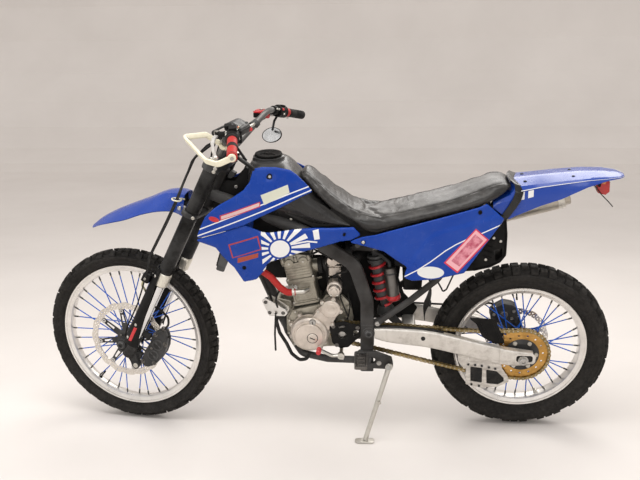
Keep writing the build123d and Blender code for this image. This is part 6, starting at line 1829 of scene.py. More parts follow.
# ------------------------------------------------------------------ chain guide and guard
k = Kit()
out = rounded([(-525, 303), (-528, 205), (-583, 192), (-643, 196), (-684, 218), (-682, 236), (-656, 276), (-652, 299)], 5)
w1 = rounded([(-542, 280), (-545, 219), (-587, 212), (-585, 274)], 4)
w2 = rounded([(-600, 268), (-604, 210), (-645, 206), (-666, 220), (-665, 234), (-638, 262)], 4)
k.plate(out, (0, 93.2, 0), (1, 0, 0), (0, 0, 1), 4.4, holes=[w1, w2], bevel=0.9)
for hx, hz in ((-534, 289), (-559, 287), (-583, 284), (-609, 278), (-632, 273), (-549, 206), (-577, 200)):
    k.lathe([(0.01, 0), (6.4, 0), (6.4, 1.0), (0.01, 1.0)], V(hx, 93.2, hz), (0, 1, 0), 16, 1)
    k.lathe([(0.01, 0), (4.2, 0), (3.6, 2.6), (0.01, 2.6)], V(hx, 94.0, hz), (0, 1, 0), 12, 2)
k.plate(rounded([(-535, 297), (-535, 328), (-600, 310), (-646, 300), (-646, 293)], 4), (0, 93, 0), (1, 0, 0), (0, 0, 1), 3.6, bevel=0.6)
# front bracket up to the arm
k.plate(rounded([(-496, 352), (-496, 302), (-520, 268), (-534, 276), (-534, 336)], 5), (0, 92.4, 0), (1, 0, 0), (0, 0, 1), 3.2, bevel=0.6)
# dark slider behind both windows
k.plate(rounded([(-536, 286), (-538, 212), (-585, 204), (-643, 201), (-672, 219), (-670, 236), (-640, 268)], 4), (0, 89.0, 0), (1, 0, 0), (0, 0, 1), 2.6, mat=2)
k.plate(rounded([(-536, 286), (-538, 212), (-585, 204), (-643, 201), (-672, 219), (-670, 236), (-640, 268)], 4), (0, 68.0, 0), (1, 0, 0), (0, 0, 1), 2.6, mat=2)
k.make("ChainGuide", "chassis", [M["arm"], M["steel"], M["rubber"]], replaces="chain_guards", slot="arm_alloy", sharp=38)
k = Kit()
out = rounded([(-526, 478), (-622, 474), (-664, 373), (-600, 388), (-578, 404), (-556, 452)], 8)
k.plate(out, (0, 92.2, 0), (1, 0, 0), (0, 0, 1), 4.4, bevel=1.4)
k.plate(rounded([(-560, 470), (-612, 467), (-646, 376), (-618, 376), (-596, 410), (-576, 450)], 6), (0, 93.6, 0), (1, 0, 0), (0, 0, 1), 1.6, bevel=0.7)
k.hex(V(-634, 93, 370), (0, 1, 0), 5.0, 3.0, mat=1, socket=False, washer=7.0)
k.make("ChainGuard", "chassis", [M["black"], M["steel"]], slot="black_plastic", sharp=38)

# ------------------------------------------------------------------ footpegs and foot controls
k = Kit()
for sg in (1, -1):
    c = V(-146, sg * 126, 340)
    # cast frame of the peg
    outl = rrect(46, 91, 8, 5)
    holes = [[(a, b - 24) for a, b in rrect(30, 15, 4, 3)], [(a, b) for a, b in rrect(30, 15, 4, 3)], [(a, b + 24) for a, b in rrect(30, 15, 4, 3)]]
    k.plate(outl, c + V(0, sg * 46, -9.5), (1, 0, 0), (0, 1, 0), 13.0, holes=holes, bevel=1.0)
    # teeth
    for i in range(12):
        y = sg * (126 + 4 + i * 7.4)
        for x in (-146 - 20, -146 + 20):
            vs = [(x - 2.6, y - 2.4, 343), (x + 2.6, y - 2.4, 343), (x + 2.6, y + 2.4, 343), (x - 2.6, y + 2.4, 343), (x - 1.4, y - 0.7, 349.5), (x + 1.4, y - 0.7, 349.5),
                  (x + 1.4, y + 0.7, 349.5), (x - 1.4, y + 0.7, 349.5)]
            k.add(vs, [(3, 2, 1, 0), (4, 5, 6, 7), (0, 1, 5, 4), (1, 2, 6, 5), (2, 3, 7, 6), (3, 0, 4, 7)], 0)
    for yy in (126 + 12 + 2, 126 + 36, 126 + 60 - 1, 126 + 84):
        for j in range(5):
            x = -146 - 13 + j * 6.5
            y = sg * yy
            vs = [(x - 2.0, y - 2.4, 343), (x + 2.0, y - 2.4, 343), (x + 2.0, y + 2.4, 343), (x - 2.0, y + 2.4, 343), (x - 0.8, y - 1.2, 349.2), (x + 0.8, y - 1.2, 349.2),
                  (x + 0.8, y + 1.2, 349.2), (x - 0.8, y + 1.2, 349.2)]
            k.add(vs, [(3, 2, 1, 0), (4, 5, 6, 7), (0, 1, 5, 4), (1, 2, 6, 5), (2, 3, 7, 6), (3, 0, 4, 7)], 0)
    # hinge pin and clevis
    k.rod((-168, sg * 131, 334), (-124, sg * 131, 334), 5.5, 16, 1, chamfer=0.8)
k.make("Footpegs", "chassis", [M["steel_dark"], M["zinc"]], replaces="footpegs", slot="steel", sharp=35)

k = Kit()
k.rod((-72, 44.5, 335), (-72, 131, 335), 6.8, 18, 0, chamfer=1)
k.lathe([(6.5, 0), (12.5, 0), (12.5, 14), (6.5, 14)], V(-72, 119, 335), (0, 1, 0), 24, 0, closed=True)
for i in range(24):
    a = 2 * math.pi * i / 24
    k.box(V(-72 + 12.6 * math.cos(a), 126, 335 + 12.6 * math.sin(a)), (1.2, 12, 1.4), x=(math.cos(a), 0, math.sin(a)))
k.hex(V(-82, 126, 322), (1, 0, 0.2), 4.6, 16, mat=1)
k.tube([V(-66, 126, 336), V(-40, 130, 336), V(4, 139, 365)], 6.0, bend=24, seg=14, flat=1.25)
k.rod((6, 135, 366), (6, 176, 371.5), 8.6, 18, 2, chamfer=2)
for i in range(7):
    a = V(6, 139 + i * 5.2, 366.6 + i * 0.66)
    k.lathe([(8.4, -1.0), (9.0, -0.6), (9.0, 0.6), (8.4, 1.0)], a, (0, 1, 0.13), 18, 2)
k.rod((-128, -111, 318), (-128, -144, 318), 7.8, 18, 0, chamfer=1)
k.tube([V(-128, -140, 318), V(-60, -142, 312), V(40, -148, 340)], 6.2, bend=22, seg=14, flat=1.3)
k.plate(rrect(39, 35, 5, 4), V(52, -150, 342.5), (1, 0, 0), (0, 1, 0), 8.0, holes=[rrect(20, 16, 4, 4)], bevel=0.8, mat=0)
for i in range(5):
    for sgx in (1, -1):
        x, y = 52 + sgx * 15, -150 - 12 + i * 6
        k.lathe([(0.01, 0), (2.2, 0), (0.6, 2.6), (0.01, 2.6)], V(x, y, 350), (0, 0, 1), 6, 0)
k.make("FootControls", "chassis", [M["zinc"], M["steel"], M["red"]], replaces="foot_controls", slot="arm_alloy", sharp=38)

# ------------------------------------------------------------------ side stand
inv = CH.inverted()
foot_row = Vector((-0.160 - 0.00427, 0.237 - 0.23252, 0.0))
FOOT = inv @ foot_row
UPF = ((inv @ Vector((0, 0, 0.001))) - (inv @ Vector((0, 0, 0)))).normalized()
XF = ((inv @ Vector((0.001, 0, 0))) - (inv @ Vector((0, 0, 0)))).normalized()
LEG = FOOT - STAND_PIN
down = LEG.normalized()
k = Kit()
k.lathe([(5.2, -9), (11.6, -9), (12.8, -7.8), (12.8, 7.8), (11.6, 9), (5.2, 9)], STAND_PIN, FOLD, 28, 0, closed=True)
pth = [STAND_PIN + down * 6, STAND_PIN + down * 30, STAND_PIN + down * 60, FOOT - down * 26, FOOT - down * 7]
k.sweep(pth, 9, 20, 0, radii=[9.4, 9.4, 9.3, 8.6, 8.2])
k.plate(rrect(69, 39, 11, 5), FOOT + UPF * 0.3, XF, UPF.cross(XF) * 1.0, 5.4, bevel=1.6)
weld(k, FOOT + UPF * 6.2, UPF, 9.6, 0, rr=1.5)
bend_c = STAND_PIN + down * 128
k.tube([bend_c, bend_c + V(-6, 25, 4)], 4.3, seg=14)
k.lathe([(0.01, 0), (5.0, 0), (5.4, 1.5), (4.6, 3.0), (0.01, 3.0)], bend_c + V(-6, 24, 4), (-0.22, 0.94, 0.15), 16, 0)
# spring lug
lug = STAND_PIN + down * 42
k.rod(lug - FOLD * 10, lug - FOLD * 22, 4.0, 12, 0)
k.make("SideStand", "stand", [M["stand"] if "stand" in M else M["zinc"]], replaces="side_stand", slot="arm_alloy", sharp=38)


# ------------------------------------------------------------------ fork
FO, SP = 10.0, 97.0


def hd(u, v, s):
    return head(u, v, s)


k = Kit()
for v in (SP, -SP):
    sg = 1 if v > 0 else -1
    k.rod(hd(FO, v, 50), hd(FO, v, 300), 21.3, 40, 0)
    k.lathe([(21.0, 54), (24.4, 54), (24.6, 58), (23.4, 61.5), (21.4, 62)], hd(FO, v, 0), AXIS, 36, 1)
    k.lathe([(0.01, -36), (15, -36), (21.6, -31), (23.8, -24), (23.8, 50), (24.6, 52), (24.6, 55), (21.0, 57)], hd(FO, v, 0), AXIS, 36, 1)
    k.lathe([(0.01, 0), (11, 0), (11, 3), (6, 3), (6, -1), (0.01, -1)], hd(FO, v, -36), -AXIS, 6, 2, start=0.3)
    inner, outer = v - 20 * sg, v + 14 * sg
    k.lathe([(8.7, 0), (19.6, 0), (20.8, 1.4), (20.8, 32.6), (19.6, 34), (8.7, 34)], hd(45, inner, 0), (0, sg, 0), 36, 1, closed=True)
    block(k, hd(28, (inner + outer) / 2, -23), AXIS, AHEAD, 37, 33, 46, 6, 1.6, 1)
    for s in (-14, 12):
        k.hex(hd(47, outer - sg * 4, s), AHEAD, 5.0, 6.0, mat=2, socket=True)
# caliper lugs and the eye below them on the left foot
for s in (-28, 62):
    block(k, hd(-20, 84, s), AXIS, AHEAD, 37, 13.6, 24, 4, 1.2, 1)
k.rod(hd(FO, 86, 58), hd(FO, 86, 88), 19.8, 28, 1)
eye = [(16, -32), (2, -40), (-28, -61), (-42, -60), (-46, -50), (-38, -36), (-12, -4), (6, 2)]
k.plate(rounded(eye, 5), hd(0, 104, 0), AHEAD, AXIS, 26, mat=1, bevel=1.8)
k.lathe([(0.01, -1), (13.6, -1), (14.2, 0.4), (14.2, 28), (13.2, 29.2), (9.6, 29.2), (9.0, 27.6), (0.01, 27.6)], hd(-35, 78, -50), (0, 1, 0), 28, 1)
k.lathe([(9.2, 0), (9.2, 1.6), (5.0, 2.0), (4.6, 0.6), (0.01, 0.6)], hd(-35, 105.6, -50), (0, 1, 0), 24, 2)
k.make("ForkLegs", "steering", [M["chrome"], M["fork_black"], M["zinc"]], replaces="fork_legs", slot="chrome", sharp=38)

k = Kit()
for v in (SP, -SP):
    sg = 1 if v > 0 else -1
    k.lathe([(22.4, 348), (25.6, 348), (25.8, 350), (25.8, 800), (26.0, 801), (26.0, 805), (25.4, 807), (24.6, 810), (14, 810.5)], hd(FO, v, 0), AXIS, 48, 0)
    k.lathe([(22.2, 296.5), (26.4, 296.5), (28.4, 299), (28.8, 302), (28.8, 340), (28.0, 345), (25.9, 348.6), (25.6, 348.6)], hd(FO, v, 0), AXIS, 48, 1)
    k.lathe([(21.5, 293.5), (24.0, 293.5), (24.4, 296.5), (22.0, 296.8)], hd(FO, v, 0), AXIS, 40, 2, closed=True)
    k.lathe([(0.01, 811), (24.2, 811), (24.6, 812), (24.6, 813), (14, 813.5), (14, 817), (9, 817.5), (8.6, 815), (0.01, 815)], hd(FO, v, 0), AXIS, 40, 3)
    k.hex(hd(FO, v, 813.5), AXIS, 9.5, 5.0, mat=1, socket=True)
k.make("ForkOuterTubes", "steering", [M["fork_black"], M["collar"] if "collar" in M else M["alloy"], M["rubber"], M["zinc"]], replaces="fork_outer_tubes", slot="black_alloy", sharp=36)

# guards: half shells whose back edge slants down to wrap the foot
k = Kit()


def rear_edge(s):
    pts = [(26, -22.0), (40, -16.0), (70, -10.0), (120, -4.8), (320, 15.6), (350, 18.0), (362, 21.0)]
    return lerp_table([p[0] for p in pts], [p[1] for p in pts], s)


for sgn in (1, -1):
    rows = []
    for i in range(30):
        s = 27 + (359 - 27) * i / 29
        ro = 36.0 - 2.4 * sstep(60, 27, s) if s < 60 else 36.0
        ro -= 3.0 * sstep(330, 359, s)
        e = rear_edge(s)
        c = max(-0.97, min(0.97, e / 36.0 - 0.0))
        a_end = math.acos(max(-0.95, min(0.98, (e - FO) / 36.0)))
        ring_o, ring_i = [], []
        n = 22
        for j in range(n + 1):
            a = -a_end + 2 * a_end * j / n
            rr = ro + 0.0 * math.cos(a)
            ring_o.append(hd(FO + rr * math.cos(a), sgn * SP + rr * math.sin(a) * sgn, s))
            ring_i.append(hd(FO + (rr - 3.0) * math.cos(a), sgn * SP + (rr - 3.0) * math.sin(a) * sgn, s))
        rows.append(ring_o + ring_i[::-1])
    k.loft(rows, 0)
    block(k, hd(FO + 27, sgn * SP, 30), AXIS, AHEAD, 13, 26, 30, 4, 1.0, 0)
    # fixing screws on the outer face
    for s, a in ((52, 0.9), (52, 1.9), (118, 1.25), (330, 0.95)):
        d = AHEAD * math.cos(a) + V(0, 1, 0) * math.sin(a) * sgn
        if s == 52 and a == 1.9:
            continue
        k.lathe([(0.01, 1.8), (3.4, 1.8), (5.2, 1.0), (5.6, -0.6), (0.01, -0.6)], hd(FO, sgn * SP, s) + d * 35.8, d, 16, 1)
    # raised rib round the top edge
    pts = []
    for j in range(23):
        a_end = math.acos((rear_edge(340) - FO) / 36.0)
        a = -a_end + 2 * a_end * j / 22
        pts.append(hd(FO + 35.4 * math.cos(a), sgn * SP + 35.4 * math.sin(a) * sgn, 340))
    k.sweep(pts, 1.6, 8, 0)
# plain red strip near the foot of the left guard
vs, n = [], 6
for t in range(n + 1):
    for q in range(2):
        a = 1.20 + 0.34 * t / n
        vs.append(hd(FO + 36.25 * math.cos(a), SP + 36.25 * math.sin(a), (46, 106)[q] + (a - 1.2) * 10))
k.add(vs, [(2 * t, 2 * t + 1, 2 * t + 3, 2 * t + 2) for t in range(n)], 2)
k.make("ForkGuards", "steering", [M["black"], M["zinc"], M["red"]], replaces="fork_guards", slot="black_plastic", sharp=40)

# ------------------------------------------------------------------ clamps
k = Kit()
k.rod(hd(0, 0, 589), hd(0, 0, 805), 14.9, 28, 2)


def clamp_outline(w):
    pts = [(-22, -18), (-18, -60), (-16, -97), (-14, -112), (0, -126), (20, -130), (38, -120), (45, -102), (40, -76), (30, -58), (33, -24), (34, 0)]
    return pts + [(a, -b) for a, b in pts[::-1][1:]]


for s, t in ((588, 20), (776, 28)):
    holes = [circle(FO, SP, 26.1, 40), circle(FO, -SP, 26.1, 40)]
    out = rounded(clamp_outline(35), 6)
    # plate in the plane square to the steering axis
    k.plate([(u, v) for u, v in out], hd(0, 0, s), AHEAD, (0, 1, 0), t, holes=[[(u, v) for u, v in h] for h in holes] +
            ([[(u, v) for u, v in rounded([(4, 22), (4, 56), (22, 52), (24, 24)], 5)], [(u, v) for u, v in rounded([(4, -22), (4, -56), (22, -52), (24, -24)], 5)]] if s > 700 else []),
            mat=0, bevel=2.2)
    for sg in (1, -1):
        # pinch bolts at the back of each clamp
        for q in ((0.3, 0.75) if t > 22 else (0.5,)):
            k.lathe([(0.01, 0), (6.0, 0), (6.2, 0.8), (6.2, 7.0), (5.6, 7.6), (3.4, 7.6), (3.2, 4.0), (0.01, 4.0)], hd(-6, sg * 117.5, s + t * q), (-AHEAD * 0.25 + V(0, sg, 0)).normalized(), 18, 1)
k.lathe([(14.8, 805), (19, 805), (19.4, 806), (19.4, 812), (18, 814), (9, 814.5), (8.5, 812), (0.01, 812)], hd(0, 0, 0), AXIS, 8, 1, start=0.2)
for v in (40, -40):
    block(k, hd(8, v, 803), AXIS, AHEAD, 31, 19.6, 18, 5, 1.2, 0)
    block(k, hd(8, v, 845 - 12), AXIS, AHEAD, 37, 21, 14, 7, 1.6, 0)
    block(k, hd(8, v, 818), AXIS, AHEAD, 37, 21, 12, 5, 1.2, 0)
    for u in (-7.0, 23.0):
        k.hex(hd(u, v, 846), AXIS, 4.6, 3.5, mat=1, socket=True)
# dark web hung under the upper clamp behind the stem
k.plate(rounded([(-32, 775.8), (-52, 775.8), (-53, 765), (-46, 751), (-33, 749)], 3), hd(0, 0, 0), AHEAD, AXIS, 24, mat=0, centred=True, bevel=1.0)
k.make("ForkClamps", "steering", [M["black_alloy"], M["zinc"], M["steel"]], replaces="fork_clamps", slot="black_alloy", sharp=36)

# ------------------------------------------------------------------ handlebar and grips
KNEE = V(230.5, 193.0, 1185.2)
TIP = V(163, 391, 1136)
MID = hd(8, 0, 832)


def mir(p, sg):
    return V(p[0], sg * p[1], p[2])


k = Kit()
bar_pts = [TIP, KNEE, V(MID.x, 84, MID.z), V(MID.x, -84, MID.z), mir(KNEE, -1), mir(TIP, -1)]
k.tube(bar_pts, 10.95, bend=60, seg=24, arc=10)
k.rod((266, 150.5, 1140), (266, -150.5, 1140), 5.8, 18, 2)
for sg in (1, -1):
    d = (mir(KNEE, sg) - V(MID.x, sg * 84, MID.z)).normalized()
    c = V(MID.x, sg * 84, MID.z) + d * ((150 - 84) / d.dot(V(0, sg, 0)) if abs(d.y) > 0.01 else 0)
    k.lathe([(11.0, -9), (14.4, -9), (15.0, -7.6), (15.0, 7.6), (14.4, 9), (11.0, 9)], c, d, 24, 1)
    k.lathe([(5.6, -4), (8.4, -4), (8.4, 6), (5.6, 6)], V(266, sg * 138, 1140), (0, sg, 0), 18, 1)
    k.hex(V(266, sg * 146, 1148), (0, 0, 1), 4.0, 4, mat=1)
k.make("Handlebar", "steering", [M["bar"], M["black_alloy"], M["zinc"]], replaces="handlebar", slot="arm_alloy", sharp=38)

k = Kit()
for sg in (1, -1):
    tip, knee = mir(TIP, sg), mir(KNEE, sg)
    d = (tip - knee).normalized()
    prof = [(11.2, -118), (15.9, -118)]
    h = -116.0
    while h < 2:
        q = (h + 118) / 120
        if 0.10 < q < 0.30 or 0.56 < q < 0.90:
            prof += [(15.9, h), (15.9, h + 1.5), (15.0, h + 1.8), (15.0, h + 2.6)]
            h += 2.9
        else:
            prof += [(15.8, h), (15.8, h + 3.0)]
            h += 3.0
    prof += [(15.8, 4.5), (14.0, 6.0), (0.01, 6.0)]
    segs = [p for p in prof]
    c0 = tip
    # black rubber body
    k.lathe(segs, c0, d, 36, 0)
    k.lathe([(11.2, -121), (20.4, -121), (22.0, -119.6), (22.0, -117.6), (20.0, -116.2), (15.8, -115.5)], c0, d, 36, 0)
    # red bands of the two-colour grip
    for a, b in ((-115.0, -93),) if sg < 0 else ((-114.0, -70), (-46.0, 2.0)):
        k.lathe([(15.6, a), (16.15, a + 0.4), (16.15, b - 0.4), (15.6, b)], c0, d, 36, 1)
k.make("Grips", "steering", [M["rubber"], M["red_rubber"]], replaces="grips", slot="rubber", sharp=42)

# ------------------------------------------------------------------ hand guard bar


def m_bone():
    """Cream powder coat, chipped to dark specks along the bar."""
    k = Nodes("bone_coat")
    spots = k.ramp(k.noise(420.0, 5.0, 0.75), [(0.60, 0.0), (0.66, 1.0)])
    patch = k.ramp(k.noise(36.0, 3.0), [(0.45, 0.0), (0.62, 1.0)])
    c = k.mix(k.ramp(k.noise(20.0, 4.0), [(0.3, 0.0), (0.8, 1.0)]), (0.80, 0.76, 0.60), (0.70, 0.65, 0.47))
    c = k.mix(k.math("MULTIPLY", spots, patch), c, (0.10, 0.09, 0.06))
    return k.done(c, 0.42, 0.0, k.bump(k.noise(500.0, 3.0), 0.08, 0.0004))


M["bone"] = m_bone()
k = Kit()
d = (TIP - KNEE).normalized()
inner = KNEE.lerp(V(MID.x, 84, MID.z), 0.61)
gp = [TIP + d * 14, V(203, 409, 1112), V(246, 394, 1118), V(346, 318, 1172), V(324, 190, 1158), inner + V(12, 12, 8)]
path = bend_path(gp, 30, arc=8)
fine = []
for a, b in zip(path, path[1:]):
    nn = max(1, int((b - a).length / 10))
    fine += [a.lerp(b, i / nn) for i in range(nn)]
fine.append(path[-1])
section_sweep(k, fine, [9.6] * len(fine), [4.6] * len(fine), 3.4, side=(0.35, 0.2, 0.9), mat=0, n=3)
k.lathe([(0.01, 17.4), (5.4, 17.4), (6.0, 19.8), (4.0, 20.2), (3.6, 18.8), (0.01, 18.8)], TIP, d, 18, 1)
k.lathe([(0.01, 9.0), (12.2, 9.0), (12.6, 10.0), (12.6, 17.0), (11.6, 17.8), (0.01, 17.8)], TIP, d, 32, 0)
k.lathe([(12.4, 6.2), (16.4, 6.2), (16.8, 7.0), (16.8, 9.2), (16.0, 10.0), (12.4, 10.0)], TIP, d, 36, 2)
dd = (V(MID.x, 84, MID.z) - KNEE).normalized()
k.lathe([(11.0, -8), (16.4, -8), (17.0, -6.6), (17.0, 6.6), (16.4, 8), (11.0, 8)], inner, dd, 28, 0)
k.hex(inner + V(4, 14, 12), (0.2, 0.4, 0.9), 4.4, 6, mat=1)
# corner where the two strips are bolted together
cx = V(346, 318, 1172)
k.lathe([(0.01, -7), (6, -7), (6.4, -6), (6.4, 6), (6, 7), (0.01, 7)], cx + V(-14, 6, -6), (0.35, 0.2, 0.9), 18, 1)
k.make("HandGuardBar", "steering", [M["bone"], M["steel"], M["red_rubber"]], replaces="left_hand_guard", slot="cream_alloy", sharp=36)

# ------------------------------------------------------------------ controls
k = Kit()
for sg in (1, -1):
    tip, knee = mir(TIP, sg), mir(KNEE, sg)
    d = (tip - knee).normalized()
    root = tip - d * 122
    fwd = (V(1, 0, 0) - d * d.x).normalized()
    upv = d.cross(fwd) * (1 if sg > 0 else -1)
    upv = upv if upv.z > 0 else -upv
    # switch or throttle housing: split shell with screws
    prof = [(11.4, -40), (20.6, -40), (22.6, -38), (22.9, -35), (22.9, -22.2), (22.2, -21.6), (22.2, -20.4), (22.9, -19.8), (22.9, -8), (22.0, -4), (19.5, -2), (11.4, -2)]
    k.lathe(prof, root, d, 40, 0)
    for a, h in ((0.6, -30), (0.6, -12), (3.6, -21)):
        dir_ = (fwd * math.cos(a) + upv * math.sin(a)).normalized()
        k.lathe([(0.01, 2.2), (3.6, 2.2), (4.2, 1.2), (4.2, -1.5), (0.01, -1.5)], root + d * h + dir_ * 22.4, dir_, 14, 3)
    # perch clamp
    k.lathe([(11.2, -66), (15.2, -66), (16.0, -64.6), (16.0, -45.4), (15.2, -44), (11.2, -44)], root, d, 32, 0)
    pv = root - d * 55 + V(50, 0, -10)
    path = [root - d * 54 + V(8, 0, -3), root - d * 54 + V(30, 0, -7), pv + V(2, 0, 0)]
    k.sweep(path, 9, 16, 0, radii=[11.5, 9.5, 10.5])
    k.lathe([(0.01, -11), (8.4, -11), (9.0, -10), (9.0, 10), (8.4, 11), (0.01, 11)], pv, upv, 22, 0)
    k.hex(pv + upv * 11, upv, 5.0, 3.0, mat=3, socket=True)
    for h in (-61, -49):
        k.hex(root + d * h + fwd * -15.5 + upv * 4, -fwd, 4.0, 4.0, mat=3, socket=True)
    # blade of the lever, flattened and thickened at its ball end
    p0 = root - d * 56 + V(50, 0, -10)
    p1 = root + d * 10 + V(66, 0, -14)
    p2 = tip - d * 6 + V(52, 0, -10)
    lp = bend_path([p0, p0.lerp(p1, 0.4) + V(6, 0, 0), p1, p1.lerp(p2, 0.55) + V(3, 0, 0), p2], 50, arc=8)
    n = len(lp)
    section_sweep(k, lp, [3.8] * n, [7.6 - 2.6 * sstep(0.0, 0.9, i / (n - 1)) for i in range(n)], 2.8, side=tuple(upv), mat=(1 if sg > 0 else 1), n=3)
    k.lathe([(0.01, -5.5), (4.6, -5.0), (7.2, -2.4), (7.6, 0), (7.2, 2.4), (4.6, 5.0), (0.01, 5.5)], p2 + d * 2, d, 20, 1)
    if sg > 0:
        # cable adjuster and boot of the clutch
        a0 = pv + V(6, -8, 2)
        k.lathe([(0.01, 0), (6.5, 0), (6.5, 9), (5.0, 10), (5.0, 18), (3.4, 19), (3.4, 26), (0.01, 26)], a0, (0.5, -0.85, 0.1), 18, 3)
        k.lathe([(11.4, -41), (16, -41), (16, -45), (11.4, -45)], root, d, 28, 0, closed=True)
        # switch block standing proud of the housing, with three plain buttons
        block(k, root + d * -34 + fwd * -4 + upv * 14, upv, d, 30, 26, 15, 4, 1.6, 0)
        for q, m_, rr in ((-10, 2, 3.6), (0, 4, 3.2), (9, 0, 4.2)):
            k.lathe([(0.01, 3.4), (rr - 0.6, 3.4), (rr, 2.6), (rr, 0), (0.01, 0)], root + d * (-34 + q) + fwd * -19 + upv * 20, -fwd, 14, m_)
        block(k, root + d * -56 + fwd * 10 + upv * 12, upv, d, 24, 26, 16, 5, 1.6, 0)
    else:
        k.lathe([(11.4, -40), (16, -40), (16, -44), (11.4, -44)], root, d, 28, 0, closed=True)
        # master cylinder body, reservoir and red lid
        o = root - d * 58 + V(52, 0, -26)
        block(k, o, (0, 0, 1), (1, 0, 0), 43, 49, 17, 7, 1.4, 0)
        block(k, o + V(0, 0, 17), (0, 0, 1), (1, 0, 0), 44, 50, 7, 8, 1.6, 2)
        block(k, o + V(0, 0, 24), (0, 0, 1), (1, 0, 0), 34, 40, 2.0, 6, 0.7, 2)
        for sx in (-1, 1):
            k.lathe([(0.01, 1.6), (2.6, 1.6), (3.0, 0.8), (3.0, 0), (0.01, 0)], o + V(sx * 17, sx * 20, 24), (0, 0, 1), 12, 3)
        k.rod(root - d * 60 + V(16, 0, -12), root - d * 60 + V(52, 0, -16), 10.8, 20, 0, chamfer=1.4)
        k.rod(o + V(-6, -30, -2), o + V(-6, 34, -2), 10.5, 22, 0, chamfer=2)
        # red knob, throttle cable elbows, red corner piece
        k.lathe([(0.01, 0), (8.0, 0), (9.0, 1.2), (9.0, 12), (8.2, 13.5), (0.01, 13.5)], o + V(-24, 14, 6), (-0.9, 0.3, 0.1), 20, 2)
        for q in (0, 9):
            k.tube([root + d * (-30 + q) + fwd * 16 - upv * 12, root + d * (-36 + q) + fwd * 34 - upv * 14, root + d * (-62 + q) + fwd * 44 - upv * 12,
                    V(300, -120 + q, 1128)], 3.4, bend=26, seg=12, mat=5 if q else 6)
        block(k, root + d * -22 + fwd * -8 + upv * 15.5, upv, d, 24, 22, 7.5, 4, 1.6, 0)
        k.add([root + d * -6 + upv * 23.4 + fwd * 2, root + d * -16 + upv * 23.4 + fwd * 2, root + d * -7 + upv * 22.6 - fwd * 8], [(0, 1, 2)], 2)
        k.lathe([(0.01, 4), (4.2, 4), (5, 3), (5, 0), (0.01, 0)], root + d * -30 - fwd * 21 + upv * 6, -fwd, 16, 2)
k.make("HandControls", "steering", [M["black"], M["alloy"], M["red"], M["zinc"], M["amber"], M["rubber"], M["steel"]],
       replaces="hand_controls", slot="black_plastic", sharp=36)

# ------------------------------------------------------------------ mirrors


def mirror(k, o, x, n, rx, ry, t):
    """Oval shell with a bright glass on its back face."""
    o, n, x = Vector(o), Vector(n).normalized(), Vector(x)
    x = (x - n * x.dot(n)).normalized()
    y = n.cross(x)
    seg = 48

    def ring(q, h):
        return [o + x * (rx * q * math.cos(2 * math.pi * i / seg)) + y * (ry * q * math.sin(2 * math.pi * i / seg)) + n * h for i in range(seg)]
    k.loft([ring(0.02, t), ring(0.55, t), ring(0.86, t * 0.86), ring(0.97, t * 0.55), ring(1.0, t * 0.22), ring(1.0, 0.6), ring(0.985, 0.0), ring(0.93, 0.0), ring(0.92, 0.8)], 0, cap=False)
    k.loft([ring(0.93, 0.7), ring(0.02, 0.7)], 1, cap=False)


k = Kit()
d = (TIP - KNEE).normalized()
fl = TIP - d * 150 + V(-4, 0, -20)
k.tube([fl + V(0, 0, 2), fl + V(-16, 14, -14), V(148, 316, 1112)], 4.4, bend=14, seg=14)
nl = Vector((0.53, 0.33, -0.78)).normalized()
mirror(k, V(143, 318, 1106) + V(nl.x * 11, nl.y * 11, nl.z * 11), (-0.8274, 0, -0.5622), -nl, 37, 50, 11)
k.lathe([(0.01, -3), (7, -3), (7.6, 0), (7, 8), (0.01, 8)], V(148, 316, 1112), (0.53, 0.33, -0.78), 18, 0)
dr = mir(d, -1)
fr = mir(TIP, -1) - dr * 150 + V(6, 0, -20)
k.tube([fr + V(0, 0, 2), fr + V(16, -14, -20), V(262, -338, 1084)], 4.4, bend=14, seg=14)
nr = V(0.25, 0.80, 0.52).normalized()
mirror(k, V(262, -344, 1059) + nr * 11, (0.93, -0.35, -0.1), -nr, 44, 31, 11)
k.make("Mirrors", "steering", [M["black"], M["mirror"]], replaces="mirrors", slot="black_plastic", sharp=38)

# ------------------------------------------------------------------ dash
k = Kit()
zd = V(-0.45, 0, 0.89).normalized()
yd = V(0, 1, 0)
xd = yd.cross(zd) * -1
o = V(286, 0, 1140)
block(k, o, zd, yd, 116, 64, 24, 12, 3.0, 0, w2=112, d2=60)
block(k, o + zd * 24, zd, yd, 100, 50, 6, 9, 2.0, 1, w2=94, d2=44)
k.plate([(a, b) for a, b in rrect(62, 26, 3, 4)], o + zd * 30.2 + yd * 6, yd, xd, 0.8, mat=2, centred=True)
for q in (-44, -34, 46):
    k.lathe([(0.01, 2.0), (3.4, 2.0), (4.0, 1.2), (4.0, 0), (0.01, 0)], o + zd * 30 + yd * q + xd * 12, zd, 14, 3 if q > 0 else 0)
block(k, (284, 0, 1096), (0, 0, 1), (0, 1, 0), 12, 34, 46, 3, 1.0, 0)
block(k, (279, 46, 1128), (0, 0, 1), (0, 1, 0), 14, 20, 16, 3, 1.0, 0)
# ignition lock and its bracket
k.lathe([(0.01, 0), (13, 0), (14, 1.5), (14, 26), (12, 28), (0.01, 28)], V(300, -46, 1106), (0.1, 0, 1), 24, 0)
k.lathe([(0.01, 0), (8, 0), (8, 2), (2, 2), (0.01, 1)], V(302.8, -46, 1134), (0.1, 0, 1), 18, 4)
k.lathe([(0.01, 0), (7.5, 0), (7.5, 9), (0.01, 9)], V(262, -66, 1132), (-0.8, 0.4, 0.3), 18, 5)
